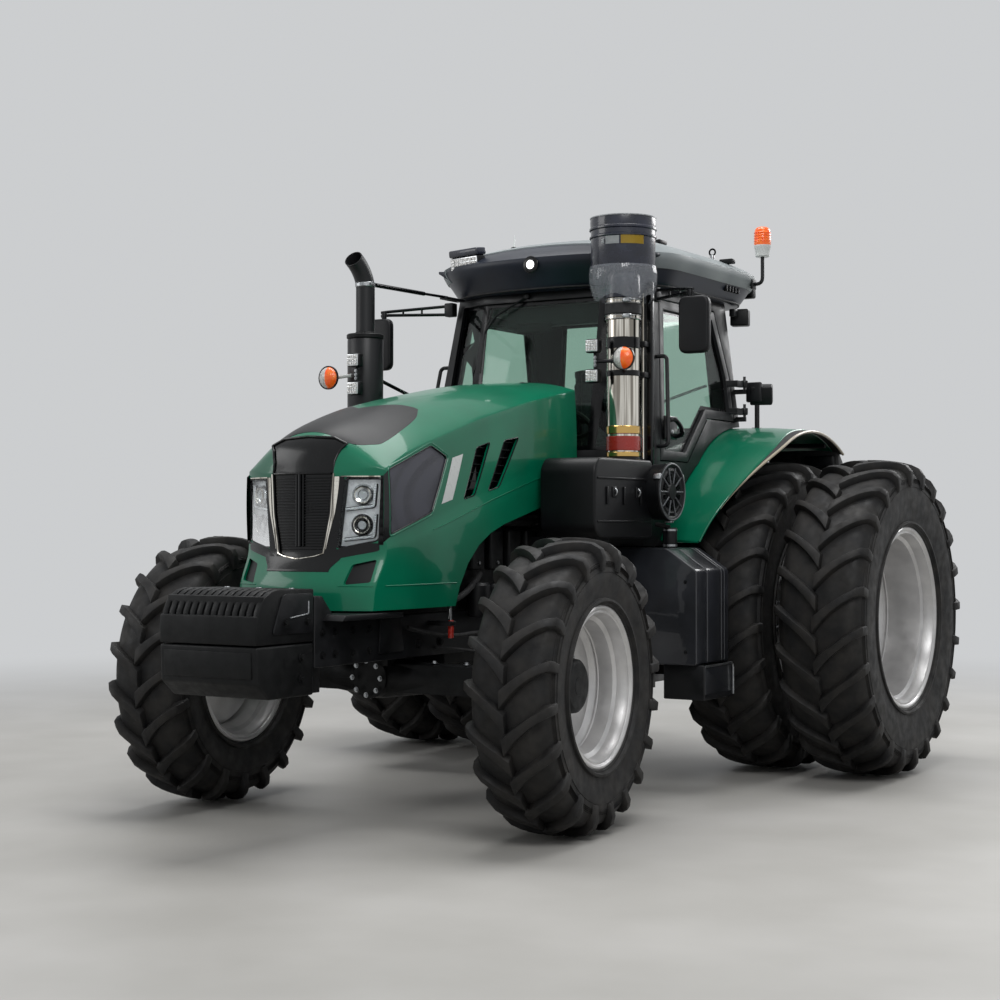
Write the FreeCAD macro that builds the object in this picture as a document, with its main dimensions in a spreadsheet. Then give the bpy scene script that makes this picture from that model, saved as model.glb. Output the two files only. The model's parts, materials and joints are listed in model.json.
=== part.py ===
# A four-wheel-drive farm tractor with twin rear wheels, built from separate solids in millimetres.
# The nose points along -Y, the tractor's left side is +X, +Z is up and the tyres stand on Z = 0.
# The origin lies on the ground, midway between the front weights' nose and the lower links' eyes.
import FreeCAD
import Part
import Sketcher
import math
import os

V = FreeCAD.Vector
doc = FreeCAD.newDocument("farm_tractor")

# Driving dimensions: name, millimetres or degrees, meaning
SIZES = [
    ("wheelbase", 2920, "front axle to rear axle"),
    ("front_reach", 1400, "front axle to the nose of the weights"),
    ("run_gap", 0.05, "radial clearance of a running pin or shaft"),
    ("seat_gap", 0.3, "clearance of parts that seat on each other"),
    ("move_gap", 8, "clearance between a moving panel and its frame"),
    ("front_tyre_radius", 742, "front tyre, out to the lugs' tips"),
    ("front_tyre_width", 430, "front tyre section"),
    ("front_rim_radius", 406, "front rim flange"),
    ("front_rim_width", 380, "front rim over its flanges"),
    ("front_track", 2240, "between the front tyres' middles"),
    ("rear_tyre_radius", 975, "rear tyre, out to the lugs' tips"),
    ("rear_tyre_width", 528, "rear tyre section"),
    ("rear_rim_radius", 559, "rear rim flange"),
    ("rear_rim_width", 460, "rear rim over its flanges"),
    ("inner_wheel_x", 1000, "middle of the inner rear tyre"),
    ("outer_wheel_x", 1650, "middle of the outer rear tyre"),
    ("lug_height", 42, "tyre lug above the carcass"),
    ("lug_width", 46, "tyre lug, measured round the tread"),
    ("front_lugs", 20, "lugs in each of a front tyre's two rows"),
    ("rear_lugs", 24, "lugs in each of a rear tyre's two rows"),
    ("front_lug_sweep", 170, "how far round the tread a front lug runs"),
    ("rear_lug_sweep", 210, "how far round the tread a rear lug runs"),
    ("bead_depth", 25, "flange above the bead seat"),
    ("rim_wall", 12, "rim barrel and flange"),
    ("disc_wall", 16, "wheel disc"),
    ("kingpin_x", 840, "kingpin from the middle"),
    ("kingpin_radius", 26, "kingpin"),
    ("steer_at_rest", 5, "degrees to the left as parked"),
    ("knuckle_radius", 76, "knuckle barrel"),
    ("knuckle_height", 170, "knuckle barrel between the ears"),
    ("ear_wall", 48, "axle ear above or below the knuckle"),
    ("arm_length", 250, "kingpin to tie rod ball"),
    ("tie_rod_radius", 18, "tie rod"),
    ("spindle_radius", 50, "front wheel spindle"),
    ("hub_radius", 150, "front hub"),
    ("hub_start", 106, "kingpin to the hub's inner face"),
    ("front_disc_x", 240, "kingpin to the front wheel disc"),
    ("hub_cap_length", 90, "front hub cap beyond its disc"),
    ("hub_cap_radius", 135, "front hub cap"),
    ("beam_height", 150, "front axle beam"),
    ("beam_depth", 140, "front axle beam, fore and aft"),
    ("diff_radius", 118, "front differential housing"),
    ("frame_half", 300, "side rails' outer face from the middle"),
    ("frame_bottom", 862, "underside of the side rails"),
    ("frame_top", 1085, "top of the side rails"),
    ("weight_bottom", 735, "underside of the front weights"),
    ("weight_split", 990, "between the two layers of weights"),
    ("weight_top", 1245, "top of the weights"),
    ("weight_depth", 430, "weights, fore and aft"),
    ("weight_count", 14, "slab weights side by side"),
    ("weight_spacing_gap", 8, "between two slab weights"),
    ("engine_half", 300, "engine block half width"),
    ("engine_front", -330, "engine block's front from the front axle"),
    ("engine_top", 1720, "engine block's top"),
    ("gearbox_front", 1180, "gearbox bell from the front axle"),
    ("gearbox_half", 270, "gearbox half width"),
    ("gearbox_bottom", 690, "gearbox underside"),
    ("gearbox_top", 1330, "gearbox top"),
    ("gearbox_tail", 300, "rear face behind the rear axle"),
    ("trumpet_radius", 165, "rear axle trumpet"),
    ("trumpet_end", 610, "trumpet's outer face from the middle"),
    ("axle_radius", 62, "rear axle shaft"),
    ("rear_hub_radius", 170, "rear hub and its spacer"),
    ("inner_disc_x", 1100, "inner rear wheel disc"),
    ("outer_disc_x", 1490, "outer rear wheel disc"),
    ("hood_half", 465, "hood half width along its crease"),
    ("hood_nose", 790, "hood's foremost point ahead of the front axle"),
    ("hood_tail", 1280, "hood's rear edge behind the front axle"),
    ("hood_wall", 22, "hood shell"),
    ("hood_bottom", 1125, "hood's lower edge"),
    ("hood_front_top", 1870, "hood top at the nose"),
    ("hood_rear_top", 2395, "hood top at the tail"),
    ("hinge_drop", 45, "hood hinge below the hood's rear top"),
    ("cab_front", 1500, "cab's front at the sill, from the front axle"),
    ("cab_front_head", 1680, "cab's front at the roof, from the front axle"),
    ("cab_back", 2950, "cab's back, from the front axle"),
    ("cab_half", 800, "cab half width at the sill"),
    ("cab_half_head", 690, "cab half width at the roof"),
    ("cab_wall", 50, "cab post and door thickness"),
    ("cab_lean", 60, "cab's back further forward at the roof"),
    ("cab_corner", 60, "chamfer of the cab's rear corners"),
    ("post_width", 70, "cab post seen from the side"),
    ("sill_height", 1930, "door sill above the ground"),
    ("head_height", 2975, "underside of the roof"),
    ("floor_height", 1420, "underside of the cab floor"),
    ("floor_wall", 40, "cab floor and tub wall"),
    ("tub_half", 700, "cab half width at its floor"),
    ("cab_bow", 130, "cab corners behind its front"),
    ("cab_nose_half", 420, "flat middle of the cab's front, half width"),
    ("roof_half", 830, "roof half width"),
    ("roof_front", 1480, "roof's foremost point from the front axle"),
    ("roof_sweep", 290, "roof corners behind its foremost point"),
    ("roof_back", 3270, "roof's back from the front axle"),
    ("roof_height", 345, "roof, underside to crown"),
    ("glass_wall", 8, "window glass"),
    ("door_frame", 55, "door frame round its glass"),
    ("fender_outer", 1275, "fender's outboard edge"),
    ("fender_tip", 960, "fender's outboard edge at its front end"),
    ("skirt_radius", 640, "lower edge of the fender's inboard wall, from its centre"),
    ("fender_radius", 1095, "fender's inner radius"),
    ("fender_lift", 80, "centre of the fender's curve above the rear axle"),
    ("fender_wall", 22, "fender shell"),
    ("fender_front_angle", 159, "fender's front end, degrees from straight back"),
    ("fender_back_angle", 62, "fender's back end, degrees from straight back"),
    ("arch_gap", 6, "cab arch above the fender"),
    ("tank_front", 1450, "side tank's front from the front axle"),
    ("tank_back", 1885, "side tank's back from the front axle"),
    ("tank_outer", 1150, "side tank's outer face"),
    ("tank_bottom", 745, "side tank's underside"),
    ("tank_shoulder", 1285, "where the tank's outer face ends"),
    ("tank_top", 1412, "side tank's top"),
    ("step_bottom", 545, "underside of the lowest step"),
    ("stack_x", 700, "intake and exhaust stacks from the middle"),
    ("intake_y", 1415, "intake stack from the front axle"),
    ("exhaust_y", 800, "exhaust stack from the front axle"),
    ("intake_radius", 97, "intake pipe"),
    ("airbox_top", 1920, "air box top"),
    ("airbox_bottom", 1470, "air box underside"),
    ("precleaner_bottom", 2860, "precleaner's underside"),
    ("precleaner_top", 3325, "precleaner's top"),
    ("precleaner_radius", 196, "precleaner"),
    ("canister_radius", 170, "air filter canister"),
    ("canister_y", 1560, "air filter canister from the front axle"),
    ("airbox_front", 800, "air box from the front axle"),
    ("airbox_back", 1495, "air box back from the front axle"),
    ("airbox_inner", 500, "air box inner face"),
    ("airbox_outer", 850, "air box outer face"),
    ("canister_end", 950, "air filter canister's outer end"),
    ("muffler_radius", 108, "muffler shield"),
    ("muffler_bottom", 1900, "muffler's underside"),
    ("muffler_top", 2650, "muffler's top"),
    ("tailpipe_radius", 60, "tail pipe"),
    ("tailpipe_top", 2960, "where the tail pipe starts to bend"),
    ("pipe_wall", 4, "stack pipe wall"),
    ("mirror_x", 1110, "mirror from the middle"),
    ("mirror_y", 1520, "mirror from the front axle"),
    ("mirror_low", 2530, "mirror's lower edge"),
    ("mirror_height", 330, "mirror"),
    ("mirror_width", 190, "mirror"),
    ("beacon_y", 2980, "beacon from the front axle"),
    ("beacon_radius", 58, "beacon"),
    ("rock_height", 1430, "lift arm shaft above the ground"),
    ("rock_radius", 42, "lift arm shaft"),
    ("link_height", 590, "lower link pins above the ground"),
    ("link_pin_radius", 28, "lower link pin"),
    ("hitch_x", 420, "lower link from the middle"),
    ("hitch_setback", 190, "hitch pivots behind the rear axle"),
    ("link_length", 900, "lower link between its eyes"),
    ("lift_length", 430, "lift arm, and lift rod pin along the lower link"),
    ("rod_pin_radius", 18, "lift rod pins"),
    ("eye_radius", 46, "lower link eye"),
    ("ball_radius", 18.5, "bore of the lower link ball"),
    ("link_wall", 40, "lower link thickness"),
    ("top_link_length", 700, "upper link between its eyes"),
    ("top_link_angle", 60, "degrees that the upper link is raised as parked"),
    ("drawbar_height", 480, "drawbar's underside"),
    ("drawbar_reach", 790, "drawbar end behind the rear axle"),
    ("drawbar_hole", 19, "drawbar pin hole"),
    ("pto_radius", 22.5, "power take-off stub"),
    ("pto_height", 760, "power take-off above the ground"),
]

sheet = doc.addObject("Spreadsheet::Sheet", "Sizes")
for row, (alias, number, meaning) in enumerate(SIZES, 1):
    sheet.set(f"A{row}", meaning)
    sheet.set(f"B{row}", str(number))
    sheet.setAlias(f"B{row}", alias)
doc.recompute()


class Size:
    """A length or angle that carries its expression for the document and its number for part.py."""

    def __init__(self, text, number):
        self.text = text
        self.number = float(number)

    def _join(self, sign, other, number):
        return Size(f"({self.text} {sign} {as_size(other).text})", number)

    def __add__(self, other):
        return self._join("+", other, self.number + as_size(other).number)

    def __radd__(self, other):
        return as_size(other) + self

    def __sub__(self, other):
        return self._join("-", other, self.number - as_size(other).number)

    def __rsub__(self, other):
        return as_size(other) - self

    def __mul__(self, other):
        return self._join("*", other, self.number * as_size(other).number)

    def __rmul__(self, other):
        return as_size(other) * self

    def __truediv__(self, other):
        return self._join("/", other, self.number / as_size(other).number)

    def __neg__(self):
        return Size(f"(0 - {self.text})", -self.number)

    def __float__(self):
        return self.number


def as_size(value):
    return value if isinstance(value, Size) else Size(repr(float(value)), value)


def sine(angle):
    return Size(f"sin({angle.text})", math.sin(math.radians(angle.number)))


def cosine(angle):
    return Size(f"cos({angle.text})", math.cos(math.radians(angle.number)))


class Sheet:
    """Each driving dimension by its name."""

    def __getattr__(self, alias):
        return Size(f"Sizes.{alias}", sheet.get(alias))


D = Sheet()

# Places that follow from the driving dimensions
REAR_REACH = D.hitch_setback + D.link_length + D.eye_radius
FRONT_Y = (D.front_reach - D.wheelbase - REAR_REACH) / 2
REAR_Y = FRONT_Y + D.wheelbase
FRONT_Z = D.front_tyre_radius
REAR_Z = D.rear_tyre_radius
FENDER_Z = REAR_Z + D.fender_lift
LEFT, RIGHT = 1, -1
SIDES = ((LEFT, "left"), (RIGHT, "right"))


def bind(piece, field, value):
    """Ties one property of a document object to the sheet."""
    piece.setExpression(field, as_size(value).text)


def place(piece, x=0, y=0, z=0):
    for field, value in (("x", x), ("y", y), ("z", z)):
        bind(piece, f"Placement.Base.{field}", value)
    return piece


def block(name, xs, ys, zs):
    """A box between two places along each axis."""
    piece = doc.addObject("Part::Box", name)
    for field, (low, high) in (("Length", xs), ("Width", ys), ("Height", zs)):
        bind(piece, field, as_size(high) - low)
    return place(piece, xs[0], ys[0], zs[0])


TURNS = {
    "X": FreeCAD.Rotation(V(0, 1, 0), 90),
    "Y": FreeCAD.Rotation(V(1, 0, 0), -90),
    "Z": FreeCAD.Rotation(),
}


def rod(name, axis, start, length, radius):
    """A cylinder from a point along an axis."""
    piece = doc.addObject("Part::Cylinder", name)
    piece.Placement = FreeCAD.Placement(V(), TURNS[axis])
    bind(piece, "Height", length)
    bind(piece, "Radius", radius)
    return place(piece, *start)


def cone(name, axis, start, length, radius, far_radius):
    piece = doc.addObject("Part::Cone", name)
    piece.Placement = FreeCAD.Placement(V(), TURNS[axis])
    bind(piece, "Height", length)
    bind(piece, "Radius1", radius)
    bind(piece, "Radius2", far_radius)
    return place(piece, *start)


def drawn(name, plane, outline):
    """A body with one closed outline of straight lines, each corner tied to the sheet."""
    body = doc.addObject("PartDesign::Body", name)
    sketch = body.newObject("Sketcher::SketchObject", name + "_outline")
    role = [o for o in body.Origin.OriginFeatures if o.Role == plane][0]
    sketch.AttachmentSupport = [(role, "")]
    sketch.MapMode = "FlatFace"
    corners = [(as_size(a), as_size(b)) for a, b in outline]
    for (a, b), (c, d) in zip(corners, corners[1:] + corners[:1]):
        sketch.addGeometry(Part.LineSegment(V(a.number, b.number, 0), V(c.number, d.number, 0)), False)
    for i, (a, b) in enumerate(corners):
        sketch.addConstraint(Sketcher.Constraint("Coincident", i, 1, (i - 1) % len(corners), 2))
        for kind, value in (("DistanceX", a), ("DistanceY", b)):
            n = sketch.addConstraint(Sketcher.Constraint(kind, -1, 1, i, 1, value.number))
            sketch.setExpression(f"Constraints[{n}]", value.text)
    return body, sketch


PLANES = {"X": "YZ_Plane", "Y": "XZ_Plane", "Z": "XY_Plane"}


def prism(name, axis, outline, span):
    """An outline pushed along an axis. Outlines are (y, z), (x, z) or (x, y) for X, Y or Z."""
    body, sketch = drawn(name, PLANES[axis], outline)
    pad = body.newObject("PartDesign::Pad", name + "_pad")
    pad.Profile = sketch
    pad.SideType = "Symmetric"
    low, high = as_size(span[0]), as_size(span[1])
    bind(pad, "Length", high - low)
    middle = (low + high) / 2
    spots = {"X": (middle, 0, 0), "Y": (0, middle, 0), "Z": (0, 0, middle)}
    return place(body, *spots[axis])


def turned(name, outline, about="X"):
    """An outline of (along, radius) turned about X, or of (radius, up) about Z."""
    body, sketch = drawn(name, "XZ_Plane", outline)
    turn = body.newObject("PartDesign::Revolution", name + "_turn")
    turn.Profile = sketch
    turn.ReferenceAxis = (sketch, ["H_Axis" if about == "X" else "V_Axis"])
    turn.Angle = 360
    return body


def fused(name, pieces):
    whole = doc.addObject("Part::MultiFuse", name)
    whole.Shapes = pieces
    return whole


def cut(name, base, tools):
    piece = doc.addObject("Part::Cut", name)
    piece.Base = base
    piece.Tool = tools[0] if len(tools) == 1 else fused(name + "_tools", tools)
    return piece


def common(name, base, tool):
    piece = doc.addObject("Part::Common", name)
    piece.Base = base
    piece.Tool = tool
    return piece


def group(name, pieces):
    """Like solids that don't touch, kept together."""
    whole = doc.addObject("Part::Compound", name)
    whole.Links = pieces
    return whole


def shaped(name, shape, placement=None):
    """A form that neither sketches nor primitives fit, from numbers read in the sheet."""
    piece = doc.addObject("Part::Feature", name)
    piece.Shape = shape
    if placement:
        piece.Placement = placement
    return piece


NODES = {}


def node(label, piece):
    """Makes a piece one of the tractor's sub-parts, under its plain name."""
    piece.Label = label
    NODES[label] = piece
    return piece


def from_front(distance):
    return FRONT_Y + distance


def sided(low, high, side):
    """A span out from the middle, on the left or the right."""
    return (low, high) if side == LEFT else (-as_size(high), -as_size(low))


# Wheels


def on_ring(across, radius, *angles):
    """Points round the X axis. The angle starts straight ahead of the axle and climbs."""
    turns = [math.radians(a) for a in angles]
    return [V(across, -radius * math.cos(a), radius * math.sin(a)) for a in turns]


def four_sided(a, b, c, d):
    return [(a, b, c), (a, c, d)]


def tyre(name, radius, width, rim_radius, rim_width, count, sweep, side):
    """A tyre of flat facets with two staggered rows of lugs, which point forwards on top.

    Its bead sits between the rim's flanges, and one lug stands flat on the ground.
    """
    radius, width, rim_radius, rim_width, sweep = (
        float(v) for v in (radius, width, rim_radius, rim_width, sweep)
    )
    gap, count = float(D.seat_gap), int(float(count))
    pitch = 360 / count
    flat = math.cos(math.pi / count)
    half_lug = math.degrees(float(D.lug_width) / 2 / radius)
    foot = half_lug * 1.3
    turn = math.degrees(sweep / radius)
    wall = radius - rim_radius
    crown = radius - float(D.lug_height)
    belly_radius = (crown + rim_radius) / 2
    bead_radius = (rim_radius - float(D.bead_depth) + gap) / flat
    flange_radius = (rim_radius + gap) / flat
    clinch = rim_width / 2 - float(D.rim_wall) - gap
    bead = clinch - (width / 2 - clinch) * (flange_radius - bead_radius) / (belly_radius - flange_radius)
    # Distance across, radius: the lugs' feet by the middle, their outer ends, the belly and the bead
    inner_foot, inner_tip = (width * 0.02, crown), (width * 0.02, radius / math.cos(math.radians(foot)))
    outer_foot, outer_tip = (width * 0.447, crown - wall * 0.08), (width * 0.43, radius - wall * 0.067)
    belly, seat = (width / 2, belly_radius), (bead, bead_radius)
    corners = []
    for i in range(count):
        middle, bore = [], []
        for row, start in ((side, pitch * i), (-side, pitch * (i + 0.5))):
            def spots(spot, *angles):
                return on_ring(spot[0] * row, spot[1], *angles)
            end = start + turn
            a, b, c = spots(inner_foot, start - foot, start + foot, start - foot + pitch)
            d, e = spots(inner_tip, start - foot, start + foot)
            f, g, h = spots(outer_foot, end - half_lug, end + half_lug, end - half_lug + pitch)
            j, k = spots(outer_tip, end - half_lug, end + half_lug)
            u, v = spots(belly, end, end + pitch)
            w, x = spots(seat, end, end + pitch)
            for quad in (
                (b, c, h, g),
                (d, e, k, j),
                (a, b, e, d),
                (j, k, g, f),
                (a, d, j, f),
                (b, e, k, g),
                (u, v, x, w),
            ):
                corners += four_sided(*quad)
            corners += [(f, g, u), (g, v, u), (g, h, v)]
            middle += [a, b, c]
            bore += [w, x]
        a, b, c, d, e, f = middle
        before = on_ring(-inner_foot[0] * side, crown, pitch * (i - 0.5) + foot)[0]
        corners += [(a, b, before), (b, d, before), (b, c, d), (c, e, d)]
        corners += [(bore[0], bore[1], bore[2]), (bore[1], bore[3], bore[2])]
    shell = Part.makeShell([Part.Face(polygon(list(three))) for three in corners])
    return shaped(name, Part.makeSolid(shell))


def rim(name, radius, width, disc, hole, side):
    """A drop-centre rim with a flat disc at a distance from its middle, outboard positive."""
    seat = radius - D.bead_depth
    inner = seat - D.rim_wall
    well = seat - D.rim_wall * 3
    half = width / 2
    flange = half - D.rim_wall
    outside = [
        (half, radius),
        (flange, radius),
        (flange, seat),
        (flange * 0.45, seat),
        (flange * 0.3, well),
    ]
    inside = [
        (flange * 0.3, well - D.rim_wall),
        (flange * 0.5, inner),
        (half, inner),
    ]
    outline = [(-a, r) for a, r in outside] + [(a, r) for a, r in reversed(outside)]
    outline += [(a, r) for a, r in reversed(inside)] + [(-a, r) for a, r in inside]
    plate = [(disc, hole), (disc + D.disc_wall, hole), (disc + D.disc_wall, seat - 4), (disc, seat - 4)]
    barrel = turned(name + "_barrel", outline)
    centre = turned(name + "_disc", [(a * side, r) for a, r in plate])
    return fused(name, [barrel, centre])


def steered(piece, side):
    """Puts a piece drawn about its kingpin at wheel height onto the parked, turned kingpin."""
    piece.Placement = FreeCAD.Placement(V(), FreeCAD.Rotation(V(0, 0, 1), 0))
    bind(piece, "Placement.Rotation.Angle", D.steer_at_rest)
    return place(piece, D.kingpin_x * side, FRONT_Y, FRONT_Z)


def steered_wheel(piece, side):
    """The same for a piece drawn about the front wheel's middle."""
    out = (D.front_track / 2 - D.kingpin_x) * side
    piece.Placement = FreeCAD.Placement(V(), FreeCAD.Rotation(V(0, 0, 1), 0))
    bind(piece, "Placement.Rotation.Angle", D.steer_at_rest)
    turn = D.steer_at_rest
    return place(piece, D.kingpin_x * side + out * cosine(turn), FRONT_Y + out * sine(turn), FRONT_Z)


def front_wheels():
    wheel_out = D.front_track / 2 - D.kingpin_x
    disc = D.front_disc_x - wheel_out
    for side, word in SIDES:
        sizes = (D.front_tyre_radius, D.front_tyre_width, D.front_rim_radius, D.front_rim_width)
        rubber = tyre(f"front_tyre_{word}", *sizes, D.front_lugs, D.front_lug_sweep, side)
        node(f"front_tyre_{word}", steered_wheel(rubber, side))
        hole = D.hub_radius * 0.6
        steel = rim(f"front_rim_{word}", D.front_rim_radius, D.front_rim_width, disc, hole, side)
        node(f"front_rim_{word}", steered_wheel(steel, side))
        reach = D.front_disc_x + D.disc_wall + D.hub_cap_length
        bore = D.spindle_radius + D.run_gap
        blind = D.front_disc_x
        hub = [
            (D.hub_start, bore),
            (D.hub_start, D.hub_radius * 0.8),
            (D.hub_start + 40, D.hub_radius),
            (D.front_disc_x - D.seat_gap, D.hub_radius),
            (D.front_disc_x - D.seat_gap, hole - D.seat_gap),
            (D.front_disc_x + D.disc_wall + D.seat_gap, hole - D.seat_gap),
            (D.front_disc_x + D.disc_wall + D.seat_gap, D.hub_cap_radius),
            (reach - 15, D.hub_cap_radius),
            (reach, D.hub_cap_radius - 18),
            (reach, 0),
            (blind, 0),
            (blind, bore),
        ]
        node(
            f"front_hub_{word}", steered(turned(f"front_hub_{word}", [(a * side, r) for a, r in hub]), side)
        )


def knuckles():
    """Barrels on vertical kingpins, each with a wheel spindle and a steering arm."""
    half = D.knuckle_height / 2
    pin = half + D.ear_wall + 2
    for side, word in SIDES:
        barrel = rod(f"barrel_{word}", "Z", (0, 0, -half), D.knuckle_height, D.knuckle_radius)
        pins = rod(f"kingpin_{word}", "Z", (0, 0, -pin), pin * 2, D.kingpin_radius)
        spindle = rod(f"spindle_{word}", "X", (0, 0, 0), D.front_disc_x - 12, D.spindle_radius)
        flange = rod(f"flange_{word}", "X", (0, 0, 0), D.hub_start - 4, D.knuckle_radius)
        if side == RIGHT:
            for piece in (spindle, flange):
                piece.Placement = FreeCAD.Placement(V(), FreeCAD.Rotation(V(0, 1, 0), -90))
        low = -half + 6
        arm = prism(
            f"arm_{word}",
            "Z",
            [(-26, 0), (26, 0), (26, D.arm_length + 26), (-26, D.arm_length + 26)],
            (low, low + 30),
        )
        ball = rod(f"ball_{word}", "Z", (0, D.arm_length, low + 30), 46, D.tie_rod_radius * 0.9)
        whole = fused(f"knuckle_{word}", [barrel, pins, spindle, flange, arm, ball])
        node(f"knuckle_{word}", steered(whole, side))


def tie_rod():
    """The bar that joins the two steering arms' balls. It stays square to the tractor."""
    x = -D.arm_length * sine(D.steer_at_rest)
    y = FRONT_Y + D.arm_length * cosine(D.steer_at_rest)
    z = FRONT_Z - D.knuckle_height / 2 + 58
    reach = D.kingpin_x - D.tie_rod_radius * 1.5
    bar = rod("tie_bar", "X", (x - reach, y, z), reach * 2, D.tie_rod_radius)
    eyes = [
        rod(f"tie_eye_{word}", "Z", (x + D.kingpin_x * side, y, z - 20.5), 41, D.tie_rod_radius * 1.9)
        for side, word in SIDES
    ]
    holes = [
        rod(
            f"tie_hole_{word}",
            "Z",
            (x + D.kingpin_x * side, y, z - 40),
            80,
            D.tie_rod_radius * 0.9 + D.run_gap,
        )
        for side, word in SIDES
    ]
    node("tie_rod", cut("tie_rod", fused("tie_solid", [bar] + eyes), holes))


def front_axle():
    """The driven front beam with its differential housing and the ears that hold the kingpins."""
    half = D.knuckle_height / 2
    top = D.beam_height / 2
    web = D.kingpin_x - D.knuckle_radius - 36
    beam = block(
        "beam",
        (-web, web),
        (FRONT_Y - D.beam_depth / 2, FRONT_Y + D.beam_depth / 2),
        (FRONT_Z - top, FRONT_Z + top),
    )
    bulge = rod(
        "diff", "Y", (0, FRONT_Y - D.diff_radius, FRONT_Z), D.diff_radius * 1.9, D.diff_radius * 0.92
    )
    taper = [
        cone(f"diff_side_{word}", "X", (0, FRONT_Y, FRONT_Z), web * 0.55, D.diff_radius, top * 0.9)
        for side, word in SIDES
    ]
    taper[1].Placement = FreeCAD.Placement(V(), FreeCAD.Rotation(V(0, 1, 0), -90))
    place(taper[1], 0, FRONT_Y, FRONT_Z)
    ears, holes = [], []
    for side, word in SIDES:
        inner, outer = web - 80, D.kingpin_x + 4
        xs = sided(inner, outer, side)
        reach = half + 2 + D.ear_wall
        for level, low in (("top", half + 2), ("low", -reach)):
            z = FRONT_Z + low
            ears.append(block(f"ear_{level}_{word}", xs, (FRONT_Y - 62, FRONT_Y + 62), (z, z + D.ear_wall)))
            ears.append(rod(f"boss_{level}_{word}", "Z", (D.kingpin_x * side, FRONT_Y, z), D.ear_wall, 62))
        back = sided(inner, web, side)
        ears.append(
            block(f"yoke_{word}", back, (FRONT_Y - 62, FRONT_Y + 62), (FRONT_Z - reach, FRONT_Z + reach))
        )
        holes.append(
            rod(
                f"pin_hole_{word}",
                "Z",
                (D.kingpin_x * side, FRONT_Y, FRONT_Z - 200),
                400,
                D.kingpin_radius + D.run_gap,
            )
        )
    pivot = block(
        "pivot_saddle", (-120, 120), (FRONT_Y - 120, FRONT_Y + 120), (FRONT_Z + top - 10, D.frame_bottom)
    )
    node(
        "front_axle", cut("front_axle", fused("axle_solid", [beam, bulge] + taper + ears + [pivot]), holes)
    )


def rear_wheels():
    """Twin wheels on one hub each side: two tyres, two rims, and the hub with its spacer."""
    for side, word in SIDES:
        tyres, rims = [], []
        for spot, x in (("inner", D.inner_wheel_x), ("outer", D.outer_wheel_x)):
            sizes = (D.rear_tyre_radius, D.rear_tyre_width, D.rear_rim_radius, D.rear_rim_width)
            rubber = tyre(f"rear_tyre_{word}_{spot}", *sizes, D.rear_lugs, D.rear_lug_sweep, side)
            tyres.append(place(rubber, x * side, REAR_Y, REAR_Z))
            disc = (D.inner_disc_x if spot == "inner" else D.outer_disc_x) - x
            steel = rim(
                f"rear_rim_{word}_{spot}",
                D.rear_rim_radius,
                D.rear_rim_width,
                disc,
                D.rear_hub_radius * 0.7,
                side,
            )
            rims.append(place(steel, x * side, REAR_Y, REAR_Z))
        node(f"rear_tyres_{word}", group(f"rear_tyres_{word}", tyres))
        node(f"rear_rims_{word}", group(f"rear_rims_{word}", rims))
        start = D.trumpet_end + D.move_gap
        bore = D.axle_radius + D.run_gap
        neck = D.rear_hub_radius * 0.7 - D.seat_gap
        inner_face, inner_back = D.inner_disc_x - D.seat_gap, D.inner_disc_x + D.disc_wall + D.seat_gap
        outer_face, outer_back = D.outer_disc_x - D.seat_gap, D.outer_disc_x + D.disc_wall + D.seat_gap
        hub = [
            (start, bore),
            (start, D.rear_hub_radius * 0.75),
            (start + 60, D.rear_hub_radius),
            (inner_face, D.rear_hub_radius),
            (inner_face, neck),
            (inner_back, neck),
            (inner_back, D.rear_hub_radius),
            (outer_face, D.rear_hub_radius),
            (outer_face, neck),
            (outer_back, neck),
            (outer_back, D.rear_hub_radius),
            (outer_back + 26, D.rear_hub_radius),
            (outer_back + 26, 0),
            (D.inner_disc_x, 0),
            (D.inner_disc_x, bore),
        ]
        piece = turned(f"rear_hub_{word}", [(a * side, r) for a, r in hub])
        node(f"rear_hub_{word}", place(piece, 0, REAR_Y, REAR_Z))


# Backbone


def front_frame():
    """Side rails, the cross plate that carries the weights, and the rails' tie under the radiator."""
    nose = from_front(-D.front_reach + D.weight_depth)
    back = from_front(D.gearbox_front)
    wall = 40
    rails = [
        block(
            f"rail_{word}",
            sided(D.frame_half - wall, D.frame_half, side),
            (nose, back),
            (D.frame_bottom, D.frame_top),
        )
        for side, word in SIDES
    ]
    bolster = block(
        "bolster",
        (-D.frame_half, D.frame_half),
        (nose, from_front(D.engine_front - 20)),
        (D.frame_bottom, D.frame_top),
    )
    saddle = block(
        "saddle",
        (-D.frame_half, D.frame_half),
        (FRONT_Y - 150, FRONT_Y + 150),
        (D.frame_bottom, D.frame_bottom + 40),
    )
    apron = block(
        "apron",
        (-D.frame_half * 0.8, D.frame_half * 0.8),
        (nose, nose + 120),
        (D.weight_bottom, D.frame_bottom),
    )
    cap = [
        (nose, D.frame_top),
        (nose + 170, D.frame_top),
        (nose + 60, D.weight_top - 40),
        (nose, D.weight_top - 40),
    ]
    crown = prism("carrier_cap", "X", cap, (-D.frame_half, D.frame_half))
    node("front_frame", fused("front_frame", rails + [bolster, saddle, apron, crown]))


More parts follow.
